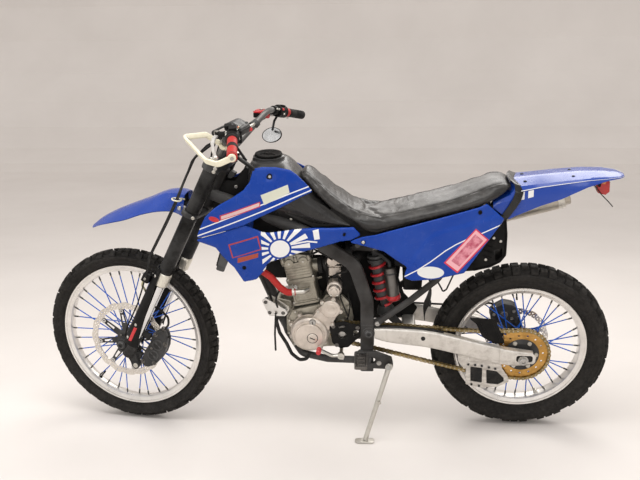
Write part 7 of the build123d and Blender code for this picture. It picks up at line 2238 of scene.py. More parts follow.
# wires from the dash, down in front of the head
for i, (a, b) in enumerate(((12, 20), (-8, 4), (-26, -14), (30, 40))):
    k.tube([V(300, a, 1134), V(336 + 3 * i, a + 6, 1120), V(352 + 4 * i, b, 1066), V(362 + 4 * i, b, 1010), V(388 + 3 * i, b * 0.8, 960)], 2.8 + 0.5 * (i % 2), bend=28, seg=10, mat=6)
# hoop that carries the cables in front of the clamps
k.tube([V(330, -70, 1110), V(352, -66, 1142), V(352, 66, 1142), V(330, 70, 1110)], 4.2, bend=30, seg=12, mat=0)
k.make("Dash", "steering", [M["black"], M["black_alloy"], M["black_alloy"], M["amber"], M["zinc"], M["red"], M["rubber"]],
       replaces="dash", slot="black_plastic", sharp=38)

# ------------------------------------------------------------------ front mudguard
FEN = [(474, [(60, 836), (38, 908), (0, 914)]), (503, [(68, 853), (40, 914), (0, 919)]), (545, [(78, 857), (40, 911), (0, 917)]),
       (622, [(84, 842), (40, 878), (0, 886)]), (690, [(82, 817), (38, 851), (0, 859)]), (760, [(66, 796), (32, 822), (0, 829)]),
       (815, [(42, 777), (22, 794), (0, 799)]), (858, [(14, 757), (8, 763), (0, 766)])]
FX = [f[0] for f in FEN]
k = Kit()
n_x, outer_rows = 48, []
for i in range(n_x + 1):
    x = 474.5 + (857 - 474.5) * i / n_x
    pts = []
    for j in range(3):
        pts.append((smooth_table(FX, [f[1][j][0] for f in FEN], x), smooth_table(FX, [f[1][j][1] for f in FEN], x)))
    (ye, ze), (ym, zm), (yc, zc) = pts
    half = []
    for q in range(7):
        t = q / 6
        bulge = math.sin(math.pi * t) * 2.2 * min(1.0, ye / 60)
        half.append((ye + (ym - ye) * t + bulge, ze + (zm - ze) * t + bulge * 0.3))
    for q in range(1, 7):
        t = q / 6
        half.append((ym * (1 - t), zm + (zc - zm) * (1 - (1 - t) ** 2)))
    row = half + [(-a, b) for a, b in half[::-1][1:]]
    outer_rows.append((x, row))
rings = []
for x, row in outer_rows:
    top = [V(x, a, b) for a, b in row]
    m_ = len(row)
    low = []
    for a, b in row:
        s = 1 - 3.0 / max(6.0, abs(row[0][0]))
        low.append(V(x, a * s, b - 3.0))
    rings.append(top + low[::-1])
k.loft(rings, 0)
k.plate([(a, b) for a, b in rounded([(-20, -31), (-20, 31), (84, 31), (84, -31)], 9)], hd(0, 0, 584.8), AHEAD, (0, 1, 0), 5.6, mat=1, centred=True, bevel=0.8)
block(k, (489, 0, 866), (0, 0, 1), (0, 1, 0), 54, 8, 46, 3, 1.0, 1)
for sx in (12, 66):
    for sy in (-20, 20):
        k.hex(hd(sx, sy, 581.6), -AXIS, 5.0, 4.0, mat=2, socket=False, washer=8.0)
k.make("FrontFender", "steering", [M["blue"], M["black"], M["zinc"]], replaces="front_fender", slot="blue_plastic", sharp=26)

# ------------------------------------------------------------------ front brake caliper
k = Kit()
cal = [(-42, -32), (-41, 20), (-46, 60), (-42, 92), (-52, 116), (-66, 124), (-79, 122), (-98, 98), (-108, 66), (-110, 36), (-104, 4), (-94, -20), (-78, -38), (-62, -44)]
slot_in = [(-46, -6), (-58, -28), (-84, -20)]
o92 = hd(0, 92, 0)
outl = rounded(cal, 8)
k.plate(outl, o92, AHEAD, AXIS, 29.0, mat=0, bevel=2.6)
inn = [(u, s) for u, s in cal]
# inner half, clear of the spokes
kk = [(-62, -40), (-60, -10), (-66, 20), (-66, 60), (-60, 92), (-66, 118), (-79, 118), (-98, 96), (-108, 66), (-110, 36), (-104, 4), (-92, -18), (-78, -36)]
k.plate(rounded(kk, 6), hd(0, 53.5, 0), AHEAD, AXIS, 12.0, mat=0, bevel=1.6)
# two piston bosses, ribs, pins and bolts on the outer face
for u, s, r in ((-76, 66, 21), (-76, 18, 21)):
    k.lathe([(0.01, 2.2), (r - 6, 2.2), (r - 5, 3.6), (r - 1.5, 3.6), (r, 1.6), (r, -2), (0.01, -2)], hd(u, 92, s), (0, 1, 0), 32, 0)
for u, s in ((-52, 100), (-50, -26), (-100, 84), (-92, -10)):
    k.lathe([(0.01, 0), (8.6, 0), (8.6, 1.4), (0.01, 1.4)], hd(u, 92, s), (0, 1, 0), 18, 1)
    k.hex(hd(u, 93.2, s), (0, 1, 0), 5.8, 5.0, mat=1, socket=True)
k.rod(hd(-60, 92, 42), hd(-60, 96.5, 42), 5.2, 16, 1, chamfer=0.8)
for q in range(5):
    k.box(hd(-108 + q * 2, 78, 24 + q * 14), (3, 26, 5), x=tuple(AHEAD), z=tuple(AXIS), mat=0)
# banjo bolt and fitting on top
k.lathe([(0.01, 0), (8.5, 0), (8.5, 8), (0.01, 8)], hd(-66, 76, 122), AXIS, 20, 1)
k.hex(hd(-66, 76, 130), AXIS, 7.0, 6.0, mat=1, socket=False)
k.rod(hd(-92, 70, 96), hd(-98, 70, 110), 3.6, 12, 2, chamfer=1)
k.make("FrontCaliper", "steering", [M["black_alloy"], M["steel_dark"], M["rubber"]], replaces="front_brake_caliper", slot="black_alloy", sharp=34)

k = Kit()
k.tube([V(292, -200, 1130), V(345, -165, 1112), V(396, -70, 1080), V(432, 30, 1045), V(452, 66, 985), V(478, 100, 908), V(516, 112, 828), V(586, 116, 697), hd(66, 122, 340), hd(66, 114, 300)],
       4.5, bend=34, seg=16, arc=7, mat=0)
k.tube([hd(66, 114, 302), hd(66, 110, 262), hd(54, 70, 226)], 4.0, bend=34, seg=16, arc=7, mat=1)
k.tube([hd(55, 78, 232), hd(52, 58, 216), hd(0, 55, 184), hd(-62, 62, 172), hd(-78, 74, 150), hd(-70, 76, 130)], 4.2, bend=26, seg=16, arc=8, mat=0)
# thinner speedometer cable beside it
k.tube([V(312, -20, 1126), V(384, 34, 1090), V(430, 62, 1040), V(446, 86, 985), V(470, 110, 908), V(508, 122, 828), V(580, 126, 697), hd(62, 128, 342), hd(60, 126, 300), hd(56, 118, 250), hd(58, 86, 170),
        hd(60, 82, 60), hd(50, 84, 16)], 2.9, bend=34, seg=12, arc=7, mat=0)
# guide ring on the mudguard's flank
ring = [V(478, 100, 908) + Vector((math.cos(a) * 16, math.sin(a) * 16, math.cos(a) * 3)) for a in [2 * math.pi * i / 28 for i in range(29)]]
k.sweep(ring, 2.6, 10, 2)
k.tube([V(478, 84, 908), V(474, 62, 902), V(470, 48, 896)], 2.6, bend=8, seg=10, mat=2)
k.lathe([(0.01, 0), (6.5, 0), (7.0, 1), (7.0, 5), (6.0, 6), (0.01, 6)], V(466, 104, 880), (0.2, 0.9, 0), 18, 3)
# black clip bracket on the guard's front
c = hd(60, 112, 300)
block(k, c - AXIS * 16, AXIS, AHEAD, 30, 26, 32, 6, 2.0, 4)
k.tube([hd(40, 112, 318), hd(54, 114, 326), hd(70, 114, 322)], 4.4, bend=8, seg=12, mat=4, flat=1.6)
k.hex(c + V(0, 14, 0), (0, 1, 0), 4.6, 4, mat=3, socket=True)
k.make("FrontHoses", "steering", [M["rubber"], M["hose_yellow"] if "hose_yellow" in M else M["cream"], M["cream"], M["zinc"], M["black"]], replaces="front_brake_hose", slot="rubber", sharp=40)

k = Kit()
k.rod(FRONT + V(0, -111, 0), FRONT + V(0, 111, 0), 8.4, 20, 0)
k.rod(FRONT + V(0, 55.8, 0), FRONT + V(0, 76.8, 0), 13.8, 24, 0, chamfer=1)
k.rod(FRONT + V(0, -76.8, 0), FRONT + V(0, -48.8, 0), 13.8, 24, 0, chamfer=1)
for sg in (1, -1):
    k.lathe([(0.01, 0), (15.6, 0), (16.0, 1.0), (16.0, 2.6), (0.01, 2.6)], FRONT + V(0, sg * 111.2, 0), (0, sg, 0), 28, 1)
    k.hex(FRONT + V(0, sg * 113.6, 0), (0, sg, 0), 13.6, 6.0, mat=1, socket=True)
k.make("FrontAxle", "steering", [M["steel"], M["black_alloy"]], replaces="front_axle", slot="steel", sharp=35)


# ------------------------------------------------------------------ engine
BASE = V(53, 0, 505)
UPV = Vector((math.sin(math.radians(12)), 0, math.cos(math.radians(12))))
FWD = Vector((UPV.z, 0, -UPV.x))


def cyl(f, v, t):
    """Point by distance ahead of the bore, to the left, and up the bore (mm)."""
    p = FWD * f + UPV * t
    return V(BASE.x + p.x, v, BASE.z + p.z) if False else BASE + (FWD * f + UPV * t) + V(0, v, 0)


def sp(k, pts, y, t, mat=0, bevel=1.0, r=4, holes=()):
    k.plate(rounded(pts, r), (0, y, 0), (1, 0, 0), (0, 0, 1), t, holes=list(holes), mat=mat, bevel=bevel)


def boss(k, x, z, y, r=7.5, h=6, mat=0, bolt=True, bm=1):
    k.lathe([(0.01, 0), (r, 0), (r - 0.8, -0.8 + 0.0), (r, -h), (0.01, -h)], V(x, y, z), (0, 1, 0), 20, mat)
    if bolt:
        k.hex(V(x, y, z), (0, 1, 0), 4.3, 4.2, mat=bm, socket=True)


k = Kit()
case = [(-110, 360), (-60, 328), (60, 324), (114, 346), (131, 395), (131, 448), (106, 491), (60, 504), (0, 514), (-16, 538), (-74, 538), (-106, 505), (-114, 430)]
sp(k, case, 44, 43.5, 0, 2.4, 8)
sp(k, case, 0.8, 1.6, 3, 0.4, 9)
sp(k, case, -0.5, 67, 0, 2.4, 8)
flange = [(-24, 342), (60, 329), (110, 354), (125, 400), (123, 446), (104, 488), (0, 512), (-18, 470)]
sp(k, flange, 70, 29, 0, 2.0, 9)
sp(k, [(x * 1.01, z) for x, z in flange], 69.6, 3.0, 0, 0.8, 10)
k.lathe([(0.01, 0), (29.5, 0), (30, 1), (30, -28), (0.01, -28)], V(-40, 67.6, 508), (0, 1, 0), 36, 0)
# gearbox bulge, bearing ring and ribs behind the sprocket
k.lathe([(0.01, 6), (30, 6), (33, 3), (36, 0), (38, -6), (0.01, -6)], V(-76, 46, 404), (0, 1, 0), 40, 0)
k.lathe([(11.8, 0), (24, 0), (26, -2), (26, -6), (11.8, -6)], V(-76, 54.5, 404), (0, 1, 0), 36, 2, closed=True)
for a in range(8):
    c_, s_ = math.cos(a * math.pi / 4 + 0.3), math.sin(a * math.pi / 4 + 0.3)
    k.box(V(-76 + 45 * c_, 44.5, 404 + 45 * s_), (22, 9, 4.5), x=(c_, 0, s_), z=(-s_, 0, c_), mat=0)
# case bolts around the edge, left and right
for x, z in ((-98, 372), (-58, 338), (-102, 430), (-97, 492), (-70, 528), (-24, 526), (100, 350), (119, 396), (118, 446), (95, 482), (40, 336), (4, 336)):
    boss(k, x, z, 52 if x < -30 else 71.5, 7.5, 10)
for x, z in ((-98, 372), (-58, 340), (-102, 430), (-97, 492), (-70, 526), (100, 356), (119, 400), (116, 446), (90, 482)):
    k.lathe([(0.01, 0), (7.4, 0), (7.4, 8), (0.01, 8)], V(x, -74, z), (0, 1, 0), 18, 0)
    k.hex(V(x, -74, z), (0, -1, 0), 4.3, 4.2, mat=1)
# webs under the gearbox and the drain plug
for q in range(5):
    k.box(V(-94 + q * 20, 46, 350 + (q % 2) * 3), (3.2, 8, 26), mat=0)
k.lathe([(0.01, 0), (12, 0), (12, 3), (9, 3.5), (0.01, 3.5)], V(20, 20, 325.0), (0, 0, -1), 6, 1)
k.lathe([(0.01, 0), (10, 0), (10, 3), (0.01, 3)], V(-40, 10, 329.0), (0, 0, -1), 6, 1)
# front lug and its ribs
k.lathe([(9.0, -30), (17, -30), (18, -29), (18, 29), (17, 30), (9.0, 30)], V(170, 0, 498), (0, 1, 0), 30, 0, closed=True)
for y in (-22, 22):
    sp(k, [(170, 514), (178, 508), (180, 490), (166, 482), (110, 470), (112, 500)], y + 4, 8, 0, 1.2, 4)
# rear mount lugs and the output shaft
for y in (36, -40):
    sp(k, [(-104, 506), (-112, 470), (-116, 440), (-100, 440), (-92, 500)], y + 6, 12, 0, 1.2, 4)
k.rod((-76, 40, 404), (-76, 87.5, 404), 11.8, 24, 2, chamfer=1.2)
# kick-start shaft boss and neutral switch
k.lathe([(0.01, 4), (7, 4), (8, 3), (8, -6), (0.01, -6)], V(-92, 48, 446), (0, 1, 0), 20, 1)
k.tube([V(-92, 52, 446), V(-98, 58, 462), V(-104, 54, 500), V(-96, 44, 548)], 2.4, bend=14, seg=10, mat=3)
k.make("Crankcase", "chassis", [M["cast"], M["zinc"], M["steel"], M["rubber"]], replaces="crankcase", slot="cast_alloy", sharp=32)

k = Kit()
# generator cover
k.lathe([(0.01, 0), (30, 0), (49.2, 0), (50, -1), (50, -13), (51.5, -13.4), (57, -14.2), (63.5, -16.5), (66.5, -20), (67.6, -25), (68, -40), (70.2, -40.5), (70.2, -44), (0.01, -44)], V(42, 125, 408), (0, 1, 0), 72, 0)
for i in range(9):
    a = 0.35 + i * 2 * math.pi / 9
    x, z = 42 + 71.0 * math.cos(a), 413 + 71.0 * math.sin(a)
    if z > 468 and x < 30:
        continue
    k.lathe([(0.01, 0), (7.6, 0), (8.2, -1), (8.6, -14), (0.01, -14)], V(x, 88, z), (0, 1, 0), 20, 0)
    k.hex(V(x, 88, z), (0, 1, 0), 4.4, 4.4, mat=1)
# caps in the generator cover
k.lathe([(0.01, 2.8), (12, 2.8), (16.5, 1.8), (17.6, 0.4), (18.2, -0.6), (0.01, -0.6)], V(30, 125.4, 403), (0, 1, 0), 40, 0)
k.lathe([(18.2, -0.4), (19.4, 0.2), (20.2, -0.4)], V(30, 125.4, 403), (0, 1, 0), 40, 3)
k.box(V(30, 128.4, 403), (20, 1.4, 3.2), x=(0.9, 0, 0.4), z=(-0.4, 0, 0.9), mat=3)
k.lathe([(0.01, 2.4), (8, 2.4), (11.2, 1.6), (12, 0.2), (12, -8), (0.01, -8)], V(29, 118.5, 462), (0, 1, 0), 32, 2)
k.box(V(29, 121.2, 462), (13, 1.0, 2.6), x=(0.2, 0, 0.98), z=(-0.98, 0, 0.2), mat=3)
k.lathe([(54, -0.2), (56, 0.6), (58, -0.2)], V(42, 111.2, 410), (0, 1, 0), 60, 0)
# starter gear cover and the web to the generator cover
k.lathe([(0.01, 0), (22, 0), (31.5, -0.8), (34.6, -3), (35, -6), (35, -36), (0.01, -36)], V(-36, 108, 510), (0, 1, 0), 56, 0)
k.lathe([(12, 0.0), (14, 1.2), (22, 1.2), (24, 0.0)], V(-36, 108, 510), (0, 1, 0), 40, 0)
sp(k, [(-60, 486), (-30, 428), (-14, 396), (26, 352), (60, 420), (32, 472), (6, 512), (-20, 538)], 99.6, 28, 0, 2.2, 8)
for x, z in ((-40, 448), (-71, 500), (-46, 546), (-6, 534), (10, 500)):
    k.lathe([(0.01, 0), (7.6, 0), (8.2, -1), (8.2, -16), (0.01, -16)], V(x, 103, z), (0, 1, 0), 20, 0)
    k.hex(V(x, 103, z), (0, 1, 0), 4.4, 4.4, mat=1)
# gasket lines
sp(k, [(x * 1.006, z) for x, z in flange], 58.0, 1.0, 3, 0.2, 9)
# clutch cover, water pump and oil filter on the right
k.lathe([(0.01, 0), (52, 0), (59, -0.6), (60, -2), (60, -12), (66, -13), (78, -16), (81.6, -22), (82, -30), (82, -60), (0.01, -60)], V(-24, -130, 405), (0, -1, 0), 72, 0)
k.lathe([(0.01, 0), (30, 0), (42, -2), (45.6, -8), (46, -14), (46, -36), (0.01, -36)], V(84, -104, 400), (0, -1, 0), 48, 0)
for i in range(10):
    a = 0.2 + i * 2 * math.pi / 10
    k.lathe([(0.01, 0), (7.4, 0), (8, -1), (8.2, -30), (0.01, -30)], V(-20 + 82 * math.cos(a), -100, 405 + 82 * math.sin(a)), (0, -1, 0), 18, 0)
    k.hex(V(-20 + 82 * math.cos(a), -100, 405 + 82 * math.sin(a)), (0, -1, 0), 4.4, 4.2, mat=1)
for i in range(5):
    a = i * 2 * math.pi / 5
    k.hex(V(84 + 36 * math.cos(a), -102, 400 + 36 * math.sin(a)), (0, -1, 0), 4.2, 4.2, mat=1)
k.lathe([(0.01, 2), (12, 2), (13, 1), (13, -2), (0.01, -2)], V(-66, -128, 440), (0, -1, 0), 24, 1)
k.make("EngineCovers", "chassis", [M["cover_alloy"] if "cover_alloy" in M else M["cast_clean"], M["zinc"], M["steel"], M["black"]], replaces="engine_covers", slot="cast_alloy", sharp=30)

# sprocket cover, black plastic with a window over the teeth
k = Kit()
sc = [(-56, 456), (-30, 440), (-34, 408), (-40, 372), (-68, 352), (-98, 356), (-124, 384), (-142, 400), (-150, 428), (-146, 446), (-110, 452), (-84, 462)]
win = [circle(-76, 404, 15, 26), rounded([(-118, 424), (-136, 424), (-132, 404), (-116, 396)], 3), rounded([(-60, 440), (-84, 446), (-88, 438), (-64, 432)], 3)]
sp(k, sc, 101.5, 3.6, 0, 1.0, 8, [w for w in win])
for x, z in ((-44, 440), (-56, 364), (-132, 436)):
    k.rod((x, 60, z), (x, 98.5, z), 6.0, 18, 0)
    k.hex(V(x, 101.4, z), (0, 1, 0), 4.6, 4.0, mat=1, washer=7.5)
k.make("SprocketCover", "chassis", [M["black"], M["steel_dark"]], slot="black_plastic", sharp=32)

# ------------------------------------------------------------------ cylinder and head


def bore_block(k, w, d, t0, t1, r=10, mat=0, bevel=1.4, dx=0):
    """Rounded block w ahead by d across, between two heights on the bore."""
    pts = rrect(w, d, r, 5)
    k.plate([(a + dx, b) for a, b in pts], BASE + UPV * t1, FWD, (0, 1, 0), t1 - t0, mat=mat, bevel=bevel, centred=False)


def bore_ok(k):
    return True


k = Kit()
block(k, BASE, UPV, FWD, 105.5, 111.5, 9, 12, 1.0, 0)
block(k, BASE + UPV * 9, UPV, FWD, 95, 97, 74, 12, 1.5, 0)
block(k, BASE + UPV * 83, UPV, FWD, 105, 109, 9, 12, 1.0, 0)
block(k, BASE - UPV * 1.6, UPV, FWD, 107, 113, 1.6, 12, 0.3, 3)
# recessed panels on both flanks, framed by ribs
for sg in (1, -1):
    for f in (-40, 40):
        k.box(cyl(f, sg * 49.5, 46), (6, 4.5, 74), x=tuple(FWD), z=tuple(UPV), mat=0)
    for t in (12, 80):
        k.box(cyl(0, sg * 49.5, t), (84, 4.5, 5), x=tuple(FWD), z=tuple(UPV), mat=0)
    k.box(cyl(-2, sg * 49.2, 48), (50, 3.2, 34), x=tuple(FWD), z=tuple(UPV), mat=0)
    k.box(cyl(-2, sg * 50.6, 48), (40, 1.6, 24), x=tuple(FWD), z=tuple(UPV), mat=0)
    for f, t in ((-45, 4.5), (45, 4.5), (-45, 88), (45, 88)):
        k.hex(cyl(f, sg * 48, 9.2 if t < 20 else 92.2), UPV, 5.6, 5.0 if t < 20 else 0.6, mat=1, socket=False)
# coolant inlet stub
a, b = V(98, 40, 558), V(122, 80, 578)
k.rod(a, b, 11.6, 28, 2)
dirn = (b - a).normalized()
k.lathe([(11.6, 0), (20, 0), (21, 1.2), (21, 8), (20, 9), (11.6, 9)], a + dirn * 8, dirn, 30, 2, closed=True)
for sg in (1, -1):
    k.hex(a + dirn * 14 + V(0, 0, sg * 17), dirn, 4.4, 4, mat=1)
# cam-chain tensioner on the back
k.rod(cyl(-46, -32, 60), cyl(-66, -32, 62), 11, 22, 0, chamfer=1.5)
k.hex(cyl(-66, -32, 62), -FWD, 7, 5, mat=1, socket=False)
k.make("Cylinder", "chassis", [M["cast"], M["zinc"], M["alloy"], M["rubber"], M["cast_dark"]], replaces="cylinder", slot="cast_alloy", sharp=32)

k = Kit()
block(k, BASE + UPV * 92, UPV, FWD, 109, 113, 12, 12, 1.2, 0)
block(k, BASE + UPV * 104, UPV, FWD, 100, 106, 58, 12, 2.0, 0)
block(k, BASE + UPV * 162, UPV, FWD, 111, 117, 8, 13, 1.0, 0)
block(k, BASE + UPV * 170, UPV, FWD, 108, 114, 32, 16, 5.0, 0, w2=92, d2=98)
block(k, BASE + UPV * 169.4, UPV, FWD, 112, 118, 1.4, 13, 0.3, 3)
for sg in (1, -1):
    # cooling ribs and the cam end caps
    for t in (116, 126, 136, 146):
        k.box(cyl(0, sg * 53.2, t), (88, 3.4, 3.0), x=tuple(FWD), z=tuple(UPV), mat=0)
    for f in (-26, 26):
        k.lathe([(0.01, 0), (15, 0), (16.5, -1.2), (16.5, -8), (0.01, -8)], cyl(f, sg * 60.0, 170), (0, sg, 0), 32, 0)
        k.hex(cyl(f, sg * 60.0, 170), (0, sg, 0), 4.6, 3.6, mat=1)
    for f in (-48, 0, 48):
        k.lathe([(0.01, 0), (7, 0), (7.6, -1), (7.6, -18), (0.01, -18)], cyl(f, sg * 52, 190), UPV, 18, 0)
        k.hex(cyl(f, sg * 52, 190), UPV, 4.6, 4.0, mat=1)
    for f in (-46, 46):
        k.hex(cyl(f, sg * 50, 104), UPV, 5.4, 5.0, mat=1, socket=False, washer=8)
# spark plug cap and lead, on the left of the rocker cover
k.tube([cyl(6, 10, 200), cyl(2, 34, 214), cyl(-12, 62, 206), V(30, 88, 716), V(-20, 84, 742)], 4.0, bend=18, seg=12, mat=3)
a, b = BASE + UPV * 132 + V(-40, 0, 0), BASE + UPV * 132 + V(-78, 0, 4)
k.rod(a, b, 25.6, 32, 0)
k.lathe([(24, -4), (29, -4), (29.6, -3), (29.6, 10), (29, 11), (24, 11)], b, (a - b).normalized(), 32, 3, closed=True)
a, b = BASE + UPV * 118 + V(30, -14, 0), BASE + UPV * 118 + V(60, -16, -8)
k.rod(a, b, 22, 28, 0)
for q in (-1, 1):
    k.rod(b + V(-4, q * 24, 0), b + V(7, q * 24, -2), 4, 14, 1)
k.make("CylinderHead", "chassis", [M["cast"], M["zinc"], M["alloy"], M["rubber"]], replaces="cylinder_head", slot="cast_alloy", sharp=32)

k = Kit()
sm = V(-48, 0, 575)
k.lathe([(0.01, -20), (25, -20), (26.8, -18), (26.8, 66), (25.6, 67), (25.6, 69), (26.8, 70), (26.8, 73), (24, 75), (22.2, 76), (22.0, 90), (20, 93), (13, 94), (12, 97), (10, 98), (0.01, 98)], sm, (0, 1, 0), 44, 0)
for a in (0.6, 2.2, 4.0, 5.4):
    k.lathe([(0.01, 2), (3.6, 2), (4, 1), (4, -2), (0.01, -2)], sm + V(17.5 * math.cos(a), 93.5, 17.5 * math.sin(a)), (0, 1, 0), 14, 1)
for a in (1.0, 4.1):
    k.rod(sm + V(27.2 * math.cos(a), -10, 27.2 * math.sin(a)), sm + V(27.2 * math.cos(a), 72, 27.2 * math.sin(a)), 2.6, 12, 1)
k.box(V(-44, 40, 548), (22, 38, 16), mat=0)
k.rod(sm + V(0, 30, 22), sm + V(0, 30, 34), 6, 16, 2)
k.lathe([(0.01, 8), (6, 8), (9, 4), (9.6, 0), (0.01, 0)], sm + V(0, 30, 30), (0, 0, 1), 18, 2)
k.tube([sm + V(0, 30, 34), V(-60, 40, 622), V(-92, 60, 640), V(-118, 70, 700)], 3.8, bend=16, seg=12, mat=2)
k.make("StarterMotor", "chassis", [M["cast_clean"], M["zinc"], M["rubber"]], replaces="starter_motor", slot="cast_alloy", sharp=34)

k = Kit()
c0 = BASE + UPV * 132 + V(-88, 0, 6)
c1 = V(-100, 0, 668)
k.rod(c0, c1, 22.8, 36, 0)
k.lathe([(22.5, 0), (27, 0), (27.6, 1), (27.6, 9), (27, 10), (22.5, 10)], c0, (c1 - c0).normalized(), 32, 2, closed=True)
block(k, V(-48, 0, 606), (0, 0, 1), (1, 0, 0), 50, 62, 38, 10, 4, 0)
block(k, V(-48, 0, 646), (0, 0, 1), (1, 0, 0), 55, 69, 4, 10, 0.8, 0)
block(k, V(-48, 0, 652), (0, 0, 1), (1, 0, 0), 50, 60, 40, 12, 3, 0)
block(k, V(-48, 0, 694), (0, 0, 1), (1, 0, 0), 55, 69, 6, 14, 1.2, 3)
block(k, V(-48, 0, 700), (0, 0, 1), (1, 0, 0), 50, 62, 17, 16, 6, 3, w2=38, d2=46)
k.rod((-48, 0, 716), (-48, 0, 741.5), 19.4, 28, 3, chamfer=3)
for sx in (-1, 1):
    for sy in (-1, 1):
        k.hex(V(-48 + sx * 21, sy * 28, 699), (0, 0, 1), 3.4, 3, mat=1)
        k.hex(V(-48 + sx * 20, sy * 26, 606), (0, 0, -1), 3.2, 3, mat=1)
k.lathe([(0.01, 6), (18, 6), (20, 4), (20, 0), (0.01, 0)], V(-40, 34, 668), (0, 1, 0), 28, 0)
k.tube([V(-40, 40, 676), V(-20, 60, 700), V(20, 74, 730), V(70, 80, 790)], 3.2, bend=20, seg=10, mat=2)
k.tube([V(-60, 34, 612), V(-66, 60, 590), V(-70, 74, 540), V(-96, 76, 470)], 2.8, bend=16, seg=10, mat=2)
k.rod((-48, 20, 600), (-48, 20, 607), 8, 6, 1)
k.make("Carburettor", "chassis", [M["cast_clean"], M["zinc"], M["rubber"], M["black"]], replaces="carburettor", slot="cast_alloy", sharp=34)

# ------------------------------------------------------------------ hoses, pipes and brackets round the engine
k = Kit()
hp = [V(90, 91, 571), V(118, 95, 570), V(143, 99, 592), V(176, 100, 634), V(214, 98, 662), V(262, 92, 680), V(316, 92, 694)]
path = k.tube(hp, 12.2, bend=26, seg=28, arc=8)
d0 = (hp[1] - hp[0]).normalized()
for c, d in ((hp[0] + d0 * 8, d0), (V(296, 92, 690), (hp[6] - hp[5]).normalized())):
    k.lathe([(12.0, -4.5), (13.8, -4.5), (13.8, 4.5), (12.0, 4.5)], c, d, 30, 1, closed=True)
    k.rod(c + V(0, 6, 15), c + V(0, -4, 15), 3.4, 12, 1)
k.tube([V(100, 91.5, 571), V(62, 88, 571), V(46, 70, 573)], 9.6, bend=14, seg=22, arc=6, mat=1)
k.make("RadiatorHose", "chassis", [M["red_rubber"], M["zinc"]], replaces="radiator_hose", slot="red_rubber", sharp=50)

k = Kit()
for sg in (1, -1):
    o = V(318, sg * 98, 765)
    ux, uz = V(0.951, 0, 0.309), V(-0.309, 0, 0.951)
    block(k, o - uz * 99, uz, ux, 24, 76, 198, 3, 1.0, 0)
    block(k, o - uz * 99.5, uz, ux, 29.5, 81, 22, 5, 2.5, 1)
    block(k, o + uz * 77.5, uz, ux, 29.5, 81, 22, 5, 2.5, 1)
    # tubes and fins of the core as fine slats
    for q in range(26):
        k.box(o + uz * (-74 + q * 6.0), (26.4, 78, 1.1), x=tuple(ux), z=tuple(uz), mat=0)
    for q in (-1, 1):
        k.box(o + V(0, q * 39.4, 0), (28, 2.4, 158), x=tuple(ux), z=tuple(uz), mat=1)
    # louvred guard in front
    for q in range(9):
        k.box(o + uz * (-72 + q * 18) + ux * 16.2, (5.5, 80, 2.2), x=tuple((ux + uz * 0.5).normalized()), z=tuple((uz - ux * 0.5).normalized()), mat=2)
    for q in (-1, 1):
        k.box(o + ux * 16.0 + V(0, q * 39, 0), (4.5, 4, 164), x=tuple(ux), z=tuple(uz), mat=2)
k.make("Radiators", "chassis", [M["radiator"], M["black_alloy"], M["black"]], replaces="radiators", slot="cast_alloy", sharp=36)

k = Kit()
# triangular steel mount plate with holes, at the engine's front
tri = [(213, 536), (198, 545), (128, 500), (120, 486), (130, 474), (188, 474)]
sp(k, tri, 92.0, 4.0, 0, 0.9, 6, [circle(199, 529, 7.0, 20), circle(137, 486, 7.0, 20), circle(186, 487, 7.0, 20), circle(164, 488, 7.0, 20)])
for x, z in ((199, 529), (137, 486), (186, 487)):
    k.rod((x, 62, z), (x, 90.5, z), 6.6, 18, 2)
    k.hex(V(x, 90.0, z), (0, 1, 0), 5.0, 3.0, mat=3)
# vent hoses and the loop under the case
k.tube([V(164, 88, 486), V(165, 92, 470), V(170, 92, 400), V(170, 90, 332)], 3.6, bend=18, seg=12, mat=2)
k.tube([V(160, 84, 478), V(162, 92, 452), V(152, 94, 408), V(128, 96, 366), V(110, 98, 324), V(82, 97, 298), V(56, 94, 300), V(44, 86, 322)], 6.4, bend=18, seg=18, mat=2)
k.tube([V(150, 60, 560), V(158, 84, 556), V(162, 92, 530), V(156, 90, 508)], 3.6, bend=12, seg=12, mat=2)
k.tube([V(214, 84, 648), V(204, 88, 620), V(186, 76, 560), V(176, 60, 500)], 4.6, bend=26, seg=14, mat=2)
k.make("EngineBrackets", "chassis", [M["alloy"], M["zinc"], M["rubber"], M["steel_dark"]], slot="steel", sharp=34)

k = Kit()
p0 = BASE + UPV * 118 + V(50, -15.2, -4)
hp = [p0 + V(6, -0.6, -1), p0 + V(36, -4, -11), V(192, -96, 556), V(100, -134, 545), V(-120, -139, 590), V(-330, -141, 704), V(-426, -140, 744)]
path = k.tube(hp, 16.8, bend=44, seg=32, arc=7)
for i in range(6, len(path) - 4, 9):
    d = (path[i + 1] - path[i - 1]).normalized()
    k.lathe([(16.6, -1.6), (17.4, -0.8), (17.4, 0.8), (16.6, 1.6)], path[i], d, 28, 0)
d = (hp[1] - hp[0]).normalized()
k.lathe([(17.5, 0), (30, 0), (31, 1), (31, 5), (30, 6), (17.5, 6)], p0 + d * 4, d, 30, 0, closed=True)
d = (hp[-1] - hp[-2]).normalized()
k.lathe([(17, 0), (20.5, 0), (21, 1), (21, 26), (20, 27), (17, 27)], hp[-1] - d * 34, d, 30, 1, closed=True)
k.rod(hp[-1] - d * 22 + V(0, 12, 20), hp[-1] - d * 22 + V(0, -12, 20), 3.6, 14, 1)
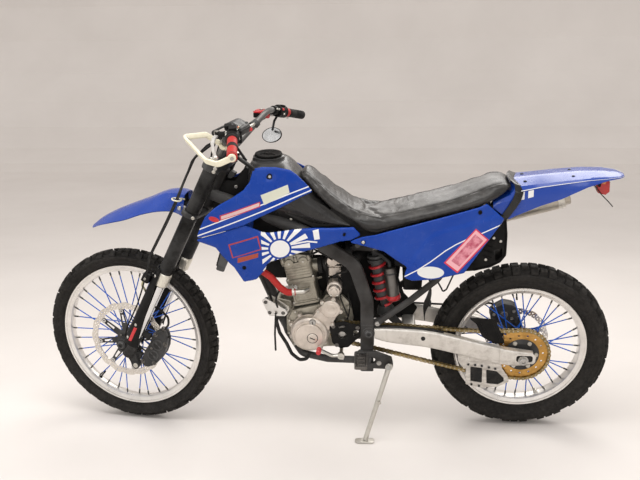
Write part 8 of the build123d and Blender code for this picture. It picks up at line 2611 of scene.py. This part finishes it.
# shield on the pipe below the seat
rows = []
for i in range(10):
    t = i / 9
    c = V(-140, -139, 600.5).lerp(V(-320, -141, 699), t)
    dd = (V(-330, -141, 704) - V(-120, -139, 590)).normalized()
    up_ = Vector((-dd.z, 0, dd.x))
    rows.append([c + (V(0, -1, 0) * math.cos(a) + up_ * math.sin(a)) * rr for rr in (23.5,) for a in [(-1.3 + 2.6 * j / 12) for j in range(13)]] +
                [c + (V(0, -1, 0) * math.cos(a) + up_ * math.sin(a)) * 21.8 for a in [(1.3 - 2.6 * j / 12) for j in range(13)]])
k.loft(rows, 1)
k.make("ExhaustHeader", "chassis", [M["header"], M["steel"]], replaces="exhaust_header", slot="exhaust_steel", sharp=42)

k = Kit()
MA, MB = V(-433, -140, 746), V(-884, -132, 876)
d = (MB - MA).normalized()
L = (MB - MA).length
prof = [(17, -2), (23.6, 0), (25, 4), (49.6, 58), (50.6, 60), (50.9, 61)]
for h in (64, 68):
    prof += [(50.9, h), (51.0, h)]
k.lathe([(0.01, -2)] + prof + [(51.0, 92), (50.4, 92.6), (50.4, 94), (51.0, 94.6), (51.0, L - 46), (50.2, L - 45), (50.2, L - 43), (51.0, L - 42), (51.0, L - 24), (50.0, L - 20), (45, L - 19.4), (43.8, L - 18), (43.6, L - 3),
        (41, L - 0.4), (26, L), (23, L + 0.6), (22, L), (21.6, L - 28), (0.01, L - 28)], MA, d, 72, 0)
# end bands with rivets
for h in (78, L - 34):
    k.lathe([(51.0, -12), (52.0, -11), (52.0, 11), (51.0, 12)], MA + d * h, d, 72, 1)
    x1 = V(0, 1, 0)
    y1 = d.cross(x1).normalized()
    for i in range(16):
        a = 2 * math.pi * i / 16
        nn = x1 * math.cos(a) + y1 * math.sin(a)
        k.lathe([(0.01, 1.4), (1.6, 1.3), (2.8, 0.6), (3.2, -0.6), (0.01, -0.6)], MA + d * h + nn * 52, nn, 10, 1)
# hanging strap with its clamp bolt and bracket
k.lathe([(51.2, -13), (53.4, -13), (53.8, -12), (53.8, 12), (53.4, 13), (51.2, 13)], MA + d * 150, d, 72, 2)
block(k, V(-560, -100, 802), (0, 1, 0), (1, 0, 0), 26, 62, 15, 3, 1.2, 2)
k.hex(V(-560, -84.6, 822), (0, 1, 0), 6, 4, mat=1)
k.hex(V(-560, -84.6, 786), (0, 1, 0), 6, 4, mat=1)
k.make("Muffler", "chassis", [M["muffler"], M["zinc"], M["black_alloy"]], replaces="muffler", slot="muffler_alloy", sharp=38)


# ------------------------------------------------------------------ shock
k = Kit()
A, B = V(-230, 0, 484), V(-200, 0, 658)
d = (B - A).normalized()
L = (B - A).length
x1 = V(0, 1, 0)
y1 = d.cross(x1).normalized()
k.rod(V(-236, 0, 448), V(-190, 0, 716), 14.6, 28, 1)
k.rod(A + d * 26, B, 25, 32, 1)
pts, turns = [], 5.3
for i in range(int(turns * 26) + 1):
    a = 2 * math.pi * i / 26
    h = 6 + (L - 12) * i / (turns * 26)
    pts.append(A + d * h + (x1 * math.cos(a) + y1 * math.sin(a)) * 29.2)
k.sweep(pts, 5.2, 12, 0)
k.lathe([(15, 0), (32, 0), (33.8, 2), (33.8, 12), (26, 30), (24, 34), (15, 34)], V(-236, 0, 448) + (A - V(-236, 0, 448)).normalized() * 2, d, 40, 1)
k.lathe([(22, 0), (33, 0), (34, 1.5), (34, 12), (30, 14), (30, 18), (32, 19.5), (32, 26), (22, 27)], B, d, 40, 1)
for i in range(10):
    a = 2 * math.pi * i / 10
    k.box(B + d * 22 + (x1 * math.cos(a) + y1 * math.sin(a)) * 31.6, (3, 5, 6), x=tuple(x1 * math.cos(a) + y1 * math.sin(a)), z=tuple(d), mat=1)
# reservoir with its red clamp and end cap
ra, rb = V(-262, 40, 520), V(-244, 40, 652)
rd = (rb - ra).normalized()
rl = (rb - ra).length
k.lathe([(0.01, 0), (18, 0), (21.5, 1.5), (22.6, 4), (22.8, 6), (22.8, rl - 6), (21.6, rl - 2), (17, rl), (0.01, rl)], ra, rd, 44, 2)
k.lathe([(22.8, 5), (24.6, 5.5), (25.2, 7), (25.2, 21), (24.6, 22.5), (22.8, 23)], ra, rd, 44, 0)
k.lathe([(0.01, -1.2), (12, -1.2), (13, -0.2), (13, 2), (0.01, 2)], ra, rd, 28, 3)
k.lathe([(22.9, rl - 26), (23.6, rl - 25), (23.6, rl - 20), (22.9, rl - 19)], ra, rd, 40, 1)
k.tube([V(-194, 10, 694), V(-216, 26, 690), V(-244, 40, 668), V(-245, 40, 650)], 6.8, bend=16, seg=16, mat=1)
for c, w in ((V(-190, 0, 716), 22), (V(-236, 0, 446), 18)):
    k.lathe([(5, -w), (13, -w), (14, -w + 1), (14, w - 1), (13, w), (5, w)], c, (0, 1, 0), 28, 1, closed=True)
    k.rod(c - V(0, w + 3, 0), c + V(0, w + 3, 0), 5, 16, 3)
    k.hex(c + V(0, w, 0), (0, 1, 0), 8, 6, mat=3, socket=False, washer=11)
for y in (8, -3.6):
    k.plate(rounded([(-226, 440), (-234, 456), (-250, 454), (-296, 406), (-296, 384), (-286, 382)], 5), (0, y, 0), (1, 0, 0), (0, 0, 1), 4.6, mat=1, bevel=1.0)
k.make("RearShock", "chassis", [M["red"], M["black_alloy"], M["steel_dark"], M["zinc"]], replaces="rear_shock", slot="red_metal", sharp=38)

# ------------------------------------------------------------------ airbox and inner mudguard
k = Kit()
hp = [V(-104, 0, 668), V(-126, 0, 671), V(-176, -66, 700), V(-262, -66, 716)]
path = k.tube(hp, 20.2, bend=24, seg=28, arc=7, mat=0)
for i in range(3, len(path) - 3, 3):
    dd = (path[i + 1] - path[i - 1]).normalized()
    k.lathe([(19.6, -1.8), (21, -0.9), (21, 0.9), (19.6, 1.8)], path[i], dd, 28, 0)
box_o = [(-262, 664), (-262, 768), (-330, 785), (-518, 840), (-556, 802), (-472, 694), (-402, 642), (-330, 642)]
sp(k, box_o, 55.5, 111, 0, 3.5, 12)
sp(k, [(-272, 676), (-272, 760), (-334, 774), (-512, 826), (-538, 800), (-464, 700), (-398, 654), (-330, 654)], 57, 1.8, 0, 0.9, 10)
for q in range(6):
    x = -292 - q * 36
    k.box(V(x, 57.2, 712 + q * 6), (3, 2.6, 76 - q * 2), mat=0)
for x, z in ((-282, 752), (-282, 684), (-380, 668), (-452, 714), (-520, 812), (-380, 784)):
    k.lathe([(0.01, 1.6), (3.4, 1.6), (4.6, 0.6), (4.8, -1), (0.01, -1)], V(x, 57.4, z), (0, 1, 0), 16, 1)
# rear part: plates joined by ribs, with the open corner towards the tyre
gd = [(-486, 642), (-498, 745), (-518, 834), (-638, 866), (-650, 790), (-650, 706), (-634, 682), (-599, 662), (-547, 647)]
hole = rounded([(-606, 726), (-634, 734), (-637, 702), (-614, 680)], 6)
sp(k, gd, 58, 4, 0, 1.2, 8, [hole])
sp(k, gd, -54, 4, 0, 1.2, 8, [hole])
sp(k, gd, 53.8, 107.6, 0, 0.4, 8, [hole])
rim_ = [(-608, 740), (-640, 748), (-643, 700), (-616, 672)]
k.tube([V(x, 59.5, z) for x, z in [(-600, 850), (-640, 848), (-647, 780), (-647, 712), (-630, 684), (-596, 664), (-540, 650)]], 3.2, bend=10, seg=12, mat=0)
for q in range(5):
    k.box(V(-520 - q * 3, 59.4, 668 + q * 15), (52 - 3 * q, 2.2, 3), x=(1, 0, -0.1), z=(0.1, 0, 1), mat=0)
for q in range(4):
    k.box(V(-586, 59.6, 700 + q * 20), (34, 2.4, 3.2), x=(1, 0, 0.28), z=(-0.28, 0, 1), mat=0)
for x, z in ((-604, 772), (-628, 760), (-580, 690), (-512, 660), (-616, 820)):
    k.lathe([(0.01, 2.0), (3.8, 2.0), (5.2, 0.8), (5.4, -1), (0.01, -1)], V(x, 58.4, z), (0, 1, 0), 18, 1)
# thin wire guide loop below the cover
k.tube([V(-404, 62, 640), V(-409, 80, 622), V(-426, 82, 592), V(-434, 80, 574), V(-446, 80, 584), V(-470, 72, 640)], 3.0, bend=9, seg=10, mat=3)
# block at the front bottom of the box
block(k, V(-327, 0, 566), (0, 0, 1), (1, 0, 0), 66, 108, 82, 8, 3, 0, w2=74, d2=112)
# rubber flap in front of the tyre
fr = [(-374, 645), (-397, 560), (-391, 500), (-376, 440)]
rows = []
for i in range(13):
    t = i / 12
    x = -366 - 26 * math.sin(math.pi * min(1, t * 1.15)) - 8 * t
    z = 645 - 205 * t
    w = 44 - 3 * math.sin(math.pi * t)
    rows.append([V(x - 1.4, w * (1 - 2 * j / 8), z) for j in range(9)] + [V(x + 1.6, -w * (1 - 2 * j / 8), z) for j in range(9)])
k.loft(rows, 3)
k.make("Airbox", "chassis", [M["black"], M["zinc"], M["steel"], M["rubber"]], replaces="airbox", slot="black_plastic", sharp=34)

# ------------------------------------------------------------------ black inner panels, one of them partly a dark sheet in place of shade
# behind the steering head, in front of the tank: partly the black inner shroud, partly a dark sheet put where there is
# only shade between the fork and the shrouds
k = Kit()
for y in (23.5, -20.5):
    k.plate(rounded([(332, 967), (380, 888), (385, 864), (330, 850), (252, 884), (232, 900), (236, 1006), (260, 1016), (272, 994), (298, 965)], 10), (0, y, 0), (1, 0, 0), (0, 0, 1), 3, mat=0, bevel=0.8)
k.plate(rounded([(258, 1012), (268, 994), (262, 984), (240, 984), (240, 1003)], 4), (0, 20, 0), (1, 0, 0), (0, 0, 1), 40, mat=0)
k.lathe([(0.01, 2.4), (4.8, 2.4), (6.2, 1.2), (6.6, -1), (0.01, -1)], V(294, 23.6, 944), (0, 1, 0), 20, 1)
# dark plates low inside the frame: battery carrier, splash guard and seat base
k.plate(rounded([(70, 790), (24, 720), (-20, 610), (-60, 520), (-120, 500), (-170, 500), (-182, 392), (-330, 398), (-352, 440), (-300, 500), (-280, 560), (-290, 650), (-300, 700), (-300, 840), (-110, 838), (-60, 800)], 8), (0, -62, 0), (1, 0, 0), (0, 0, 1), 2.4, mat=0, bevel=0.6)
for sg in (1, -1):
    k.plate(rounded([(-20, 838), (-20, 812), (-100, 786), (-160, 768), (-300, 800), (-470, 848), (-590, 896), (-590, 906), (-545, 900), (-451, 872), (-336, 844), (-243, 820), (-196, 812), (-150, 826), (-112, 852), (-70, 880), (-40, 890)], 4), (0, sg * 92 + 1, 0), (1, 0, 0), (0, 0, 1), 2.2, mat=0, bevel=0.5)
k.plate(rounded([(214, 702), (214, 612), (172, 600), (112, 598), (100, 650), (98, 720), (160, 716)], 6), (0, 30, 0), (1, 0, 0), (0, 0, 1), 2.4, mat=0, bevel=0.6)
k.plate(rounded([(-14, 700), (-20, 560), (-90, 520), (-92, 420), (-152, 420), (-152, 560), (-110, 640), (-96, 650)], 6), (0, 28, 0), (1, 0, 0), (0, 0, 1), 2.4, mat=0, bevel=0.6)
k.plate(rounded([(44, 668), (-140, 668), (-126, 596), (-96, 570), (-90, 455), (-46, 450), (-30, 490), (18, 490), (26, 560), (30, 610)], 5), (0, -22, 0), (1, 0, 0), (0, 0, 1), 2.2, mat=0, bevel=0.6)
# coils of harness between head and tank
for i, (y0, y1_) in enumerate(((30, 44), (34, 52), (-30, -48), (26, 58))):
    k.tube([V(306 - 6 * i, y0, 880), V(270 - 4 * i, y0 + 4, 884), V(240, y1_, 872), V(190 - 6 * i, y1_, 846), V(120, y1_ + 2, 812 + 3 * i)], 3.6 + 0.6 * (i % 3), bend=26, seg=12, mat=2)
for sg in (1, -1):
    # liner behind each lower shroud
    k.plate(rounded([(226, 858), (204, 898), (120, 866), (20, 846), (-70, 838), (-92, 812), (-40, 792), (60, 760), (170, 742), (236, 800)], 10), (0, sg * 77 + 1, 0), (1, 0, 0), (0, 0, 1), 2.4, mat=0, bevel=0.6)
    for x, z in ((112, 838), (98, 846)):
        k.lathe([(0.01, 3), (3.6, 2.6), (5, 1), (5, 0), (0.01, 0)], V(x, sg * 79.5, z), (0, sg, 0), 16, 1)
k.make("InnerPanelsAndShadeSheet", "chassis", [M["black"], M["zinc"], M["rubber"]], slot="black_plastic", sharp=36)

# ------------------------------------------------------------------ rear brake
k = Kit()
outl = rounded([(-724, 404), (-722, 420), (-719, 452), (-700, 463), (-668, 469), (-640, 452), (-620, 431), (-622, 410), (-634, 386), (-668, 394)], 7)
k.plate(outl, (0, -42, 0), (1, 0, 0), (0, 0, 1), 12, mat=0, bevel=2.2)
k.plate(outl, (0, -70, 0), (1, 0, 0), (0, 0, 1), 20, mat=0, bevel=3)
k.plate(rounded([(-719, 452), (-700, 463), (-668, 469), (-640, 452), (-644, 444), (-670, 458), (-700, 452)], 3), (0, -50, 0), (1, 0, 0), (0, 0, 1), 24, mat=0, bevel=1)
k.lathe([(0.01, 0), (17, 0), (20, 1.4), (20.6, 4), (20.6, 8), (0.01, 8)], V(-672, -41.0, 424), (0, -1, 0), 32, 0)
k.lathe([(0.01, 2), (12, 2), (14, 0), (14, -2), (0.01, -2)], V(-672, -41.6, 424), (0, 1, 0), 28, 1)
for x, z in ((-706, 440), (-634, 426), (-700, 410)):
    k.hex(V(x, -42, z), (0, 1, 0), 6.4, 5, mat=1)
    k.hex(V(x, -90, z), (0, -1, 0), 6.4, 5, mat=1, socket=False)
k.plate(rounded([(-740, 330), (-728, 404), (-690, 402), (-634, 392), (-682, 362), (-708, 322)], 6), (0, -68.6, 0), (1, 0, 0), (0, 0, 1), 6.6, mat=0, bevel=1.2, holes=[circle(REAR.x, REAR.z, 16.2, 36)])
hb = [V(-640, -60, 452), V(-622, -64, 462), V(-600, -78, 452), V(-560, -100, 430), V(-440, -104, 434), V(-300, -104, 440), V(-214, -106, 436), V(-176, -110, 402)]
k.tube(hb, 3.9, bend=24, seg=14, arc=8, mat=2)
for x in (-540, -400, -280):
    k.tube([V(x, -100, 420), V(x, -106, 440), V(x, -98, 446)], 5.2, bend=6, seg=12, mat=0, flat=1.5)
k.lathe([(0.01, 0), (8, 0), (8, 7), (0.01, 7)], V(-640, -60, 446), (0, 0, 1), 18, 1)
k.make("RearCaliper", "chassis", [M["black_alloy"], M["zinc"], M["rubber"]], replaces="rear_brake_caliper", slot="black_alloy", sharp=34)

# ------------------------------------------------------------------ tail
TAIL = [(-590, [(93, 896), (92, 904), (84, 911), (0, 915)]), (-646, [(91, 854), (87, 922), (78, 936), (0, 942)]), (-668, [(90, 866), (84, 950), (74, 966), (0, 971)]),
        (-749, [(88, 902), (80, 966), (72, 975), (0, 982)]), (-818, [(86, 926), (78, 976), (70, 984), (0, 989)]), (-901, [(82, 966), (74, 987), (66, 992), (0, 996)]),
        (-970, [(70, 986), (66, 991), (58, 994), (0, 997)]), (-1015, [(50, 988), (46, 990), (38, 992), (0, 994)]), (-1034, [(22, 985), (20, 987), (14, 988), (0, 989)])]
TX = [-t[0] for t in TAIL]
k = Kit()
rings, fold = [], {1: [], -1: []}
NX = 64
for i in range(NX + 1):
    x = 591 + (1033 - 591) * i / NX
    p = [(lerp_table(TX, [t[1][j][0] for t in TAIL], x), lerp_table(TX, [t[1][j][1] for t in TAIL], x)) for j in range(4)]
    half = []
    for a, b, n in ((0, 1, 6), (1, 2, 3), (2, 3, 6)):
        for q in range(n):
            t = q / n
            y = p[a][0] + (p[b][0] - p[a][0]) * t
            z = p[a][1] + (p[b][1] - p[a][1]) * t
            if a == 2:
                z += 1.6 * math.sin(math.pi * t * 0.5)
            if a == 0:
                y += 1.4 * math.sin(math.pi * t)
            half.append((y, z))
    half.append((0, p[3][1] + 1.6))
    row = half + [(-y, z) for y, z in half[::-1][1:]]
    tot = len(row)
    inner_ = []
    for y, z in row:
        sgn = 1 if y >= 0 else -1
        s = max(0.0, abs(y) - 2.8)
        inner_.append((sgn * s, z - 2.8 if abs(y) < p[1][0] - 1 else z - 0.6))
    rings.append([V(-x, y, z) for y, z in row] + [V(-x, y, z) for y, z in inner_[::-1]])
    for sg in (1, -1):
        if x > 668:
            fold[sg].append(V(-x, sg * (p[1][0] + 0.6), p[1][1] + 0.4))
k.loft(rings, 0)
for sg in (1, -1):
    k.sweep(fold[sg], 1.3, 8, 1, radii=[1.5 - 1.0 * i / (len(fold[sg]) - 1) for i in range(len(fold[sg]))])
    k.rod((-592, sg * 60, 893), (-600, sg * 60, 912), 8, 18, 2)
# plain pale patches along each flank, no lettering
for sg in (1, -1):
    for x0, x1_ in ((668, 694), (706, 724)):
        vs, n = [], 6
        for q in range(n + 1):
            x = x0 + (x1_ - x0) * q / n
            p = [(lerp_table(TX, [t[1][j][0] for t in TAIL], x), lerp_table(TX, [t[1][j][1] for t in TAIL], x)) for j in range(2)]
            for t in (0.62, 0.95):
                vs.append(V(-x, sg * (p[0][0] + (p[1][0] - p[0][0]) * t + 1.4 * math.sin(math.pi * t) + 0.35), p[0][1] + (p[1][1] - p[0][1]) * t))
        k.add(vs, [(2 * q, 2 * q + 1, 2 * q + 3, 2 * q + 2) for q in range(n)], 1)
for x, y in ((-700, 40), (-700, -40), (-860, 36), (-860, -36)):
    z = lerp_table(TX, [t[1][3][1] for t in TAIL], -x)
    k.lathe([(0.01, 1.8), (4.6, 1.8), (6, 0.8), (6.2, -2), (0.01, -2)], V(x, y, z - 1.5), (0, 0, 1), 18, 2)
k.make("RearFender", "chassis", [M["blue"], M["white"], M["black"]], replaces="rear_fender", slot="blue_plastic", sharp=24)

k = Kit()
tl = [(-938, 983), (-945, 932), (-972, 925), (-985, 937), (-983, 971), (-966, 984)]
k.plate(rounded(tl, 5), (0, 41.5, 0), (1, 0, 0), (0, 0, 1), 83, mat=0, bevel=3.5)
k.plate(rounded([(-936, 985), (-943, 958), (-952, 952), (-955, 985)], 3), (0, 43.5, 0), (1, 0, 0), (0, 0, 1), 87, mat=1, bevel=1.2)
for q in range(5):
    k.box(V(-984.6, 0, 940 + q * 7), (1.6, 66, 1.4), mat=0)
for sg in (1, -1):
    k.lathe([(0.01, 2.4), (6, 2.4), (7, 1.4), (7, -1), (0.01, -1)], V(-962, sg * 41.6, 972), (0, sg, 0), 18, 2)
k.make("TailLight", "chassis", [M["lens"], M["black"], M["amber_lens"]], replaces="tail_light", slot="red_lens", sharp=34)

k = Kit()
# strap over the rear of the seat, down each flank to the inner mudguard
for sg in (1, -1):
    pts = [V(-655, 0, 974.5), V(-662, sg * 40, 974), V(-674, sg * 72, 970), V(-676, sg * 88, 950), V(-668, sg * 93.5, 925), V(-654, sg * 95.5, 900), V(-634, sg * 95, 868), V(-616, sg * 72, 838), V(-606, sg * 58, 828)]
    path = bend_path(pts, 16, arc=8)
    n = len(path)
    section_sweep(k, path, [15.5 - 3.5 * i / (n - 1) for i in range(n)], [1.5] * n, 1.0, side=(0.93, 0, 0.36), mat=0, n=2)
# wires under the tail
k.tube([V(-930, 46, 962), V(-958, 46, 928), V(-984, 42, 902), V(-1000, 40, 884)], 1.7, bend=20, seg=8, mat=1)
k.tube([V(-640, 20, 860), V(-700, 24, 900), V(-800, 24, 940), V(-900, 24, 962), V(-940, 20, 962)], 3.0, bend=26, seg=10, mat=1)
k.tube([V(-640, -20, 860), V(-700, -24, 904), V(-800, -24, 946), V(-900, -24, 966), V(-940, -20, 966)], 2.4, bend=26, seg=10, mat=1)
# matt grey panel under the seat's front, each side
for sg in (1, -1):
    k.plate(rounded([(128, 878), (26, 926), (-20, 900), (-104, 832), (22, 822)], 8), (0, sg * 93 + (1.2 if sg > 0 else 1.2), 0), (1, 0, 0), (0, 0, 1), 2.4, mat=2, bevel=0.8)
k.make("StrapAndWires", "chassis", [M["black_gloss"], M["rubber"], M["grey_plastic"]], slot="black_plastic", sharp=36)

# ------------------------------------------------------------------ finish on the CAD pieces
def cad_mat(node, mat):
    ob = NODES[node]
    ob.data.materials.clear()
    ob.data.materials.append(mat)


KEEP = {
    "main_frame": "frame", "subframe": "frame", "swingarm": "alloy", "rear_axle": "steel", "crankcase": "cast", "cylinder": "cast_clean",
    "cylinder_head": "cast", "engine_covers": "cast_clean", "starter_motor": "cast_dark", "carburettor": "cast", "airbox": "black",
    "exhaust_header": "header", "muffler": "muffler", "radiators": "radiator", "radiator_hose": "red_rubber", "fuel_tank": "tank",
    "fuel_cap": "black", "seat": "seat", "rear_fender": "blue", "tail_light": "lens", "left_shroud": "blue", "right_shroud": "blue",
    "left_side_cover": "blue", "right_side_cover": "blue", "rear_shock": "red", "drive_chain": "chain", "chain_guards": "alloy",
    "footpegs": "steel", "foot_controls": "alloy", "rear_brake_caliper": "black_alloy", "rear_tyre": "rear_tyre", "rear_rim": "rim",
    "rear_hub": "spoke", "rear_sprocket": "gold", "rear_brake_disc": "disc", "side_stand": "alloy", "fork_clamps": "black_alloy",
    "fork_outer_tubes": "fork_black", "fork_legs": "chrome", "fork_guards": "black", "front_axle": "steel", "front_fender": "blue",
    "front_brake_caliper": "black_alloy", "front_brake_hose": "rubber", "handlebar": "zinc", "grips": "rubber", "left_hand_guard": "cream",
    "hand_controls": "black", "mirrors": "black", "dash": "black", "front_tyre": "front_tyre", "front_rim": "rim", "front_hub": "spoke",
    "front_brake_disc": "disc",
}
for node_name, mat_name in KEEP.items():
    cad_mat(node_name, M[mat_name])

# ------------------------------------------------------------------ floor, light and camera
k = Kit()
floor = bpy.data.meshes.new("Floor")
N, S = 60, 30.0
fv, ff = [], []
for j in range(N + 1):
    for i in range(N + 1):
        x, y, z = (i / N - 0.5) * S, (j / N - 0.5) * S, -0.0012
        # the floor sweeps up into a backdrop well behind the machine
        run = -7.5 - y
        if run > 0:
            ang = min(math.pi / 2, run / 2.5)
            y, z = -7.5 - 2.5 * math.sin(ang), 2.5 - 2.5 * math.cos(ang) - 0.0012
            z += max(0.0, run - 2.5 * math.pi / 2) * 1.6
        fv.append((x, y, z))
for j in range(N):
    for i in range(N):
        a = j * (N + 1) + i
        ff.append((a, a + 1, a + N + 2, a + N + 1))
floor.from_pydata(fv, [], ff)
floor_ob = bpy.data.objects.new("Floor", floor)
SCENE.collection.objects.link(floor_ob)
fl = Nodes("pale_floor")
fc = fl.mix(fl.ramp(fl.noise(1.1, 4.0), [(0.3, 0.0), (0.75, 1.0)]), (0.74, 0.70, 0.67), (0.80, 0.76, 0.73))
floor.materials.append(fl.done(fc, fl.ramp(fl.noise(3.0, 3.0), [(0.3, 0.55), (0.75, 0.75)]), 0.0, fl.bump(fl.noise(300.0, 2.0), 0.05, 0.0005)))

world = bpy.data.worlds.new("Studio")
SCENE.world = world
world.use_nodes = True
wt = world.node_tree
bg = wt.nodes["Background"]
bg.inputs["Color"].default_value = (0.80, 0.765, 0.735, 1)
bg.inputs["Strength"].default_value = 1.0


def area(name, loc, aim, size, size_y, power, color=(1, 1, 1)):
    li = bpy.data.lights.new(name, "AREA")
    li.shape = "RECTANGLE"
    li.size, li.size_y = size, size_y
    li.energy = power
    li.color = color
    ob = bpy.data.objects.new(name, li)
    ob.location = loc
    ob.rotation_euler = (Vector(aim) - Vector(loc)).to_track_quat("-Z", "Y").to_euler()
    SCENE.collection.objects.link(ob)
    return ob


area("KeyCeiling", (0.2, 0.9, 3.3), (0, -0.1, 0.4), 3.4, 1.6, 62.0, (1.0, 0.985, 0.96))
area("FrontFill", (-0.6, 3.6, 1.9), (0, -0.2, 0.55), 2.6, 1.6, 26.0, (0.97, 0.985, 1.0))
area("BackStrip", (-1.0, -2.4, 2.6), (0, -0.2, 0.6), 2.8, 1.0, 34.0, (1.0, 0.98, 0.95))
area("NoseStrip", (3.0, 0.6, 1.9), (0.3, -0.2, 0.6), 1.0, 1.8, 16.0)

cam = bpy.data.cameras.new("PhotoCamera")
cam.sensor_width = 36.0
cam.lens = 50.16
cam.clip_start, cam.clip_end = 0.05, 60
cam_ob = bpy.data.objects.new("PhotoCamera", cam)
yaw, pitch, roll = math.radians(4.116), math.radians(11.737), math.radians(-0.43)
Rz = Matrix.Rotation(yaw, 3, "Z")
fwd, right, up = Rz @ Vector((0, -1, 0)), Rz @ Vector((-1, 0, 0)), Vector((0, 0, 1))
f2 = fwd * math.cos(pitch) - up * math.sin(pitch)
u2 = fwd * math.sin(pitch) + up * math.cos(pitch)
r3 = right * math.cos(roll) + u2 * math.sin(roll)
u3 = u2 * math.cos(roll) - right * math.sin(roll)
mw = Matrix((r3, u3, -f2)).transposed().to_4x4()
mw.translation = Vector((-0.22527, 3.02938, 1.3763))
cam_ob.matrix_world = mw
SCENE.collection.objects.link(cam_ob)
SCENE.camera = cam_ob
SCENE.view_settings.view_transform = "Standard"
SCENE.view_settings.look = "None"
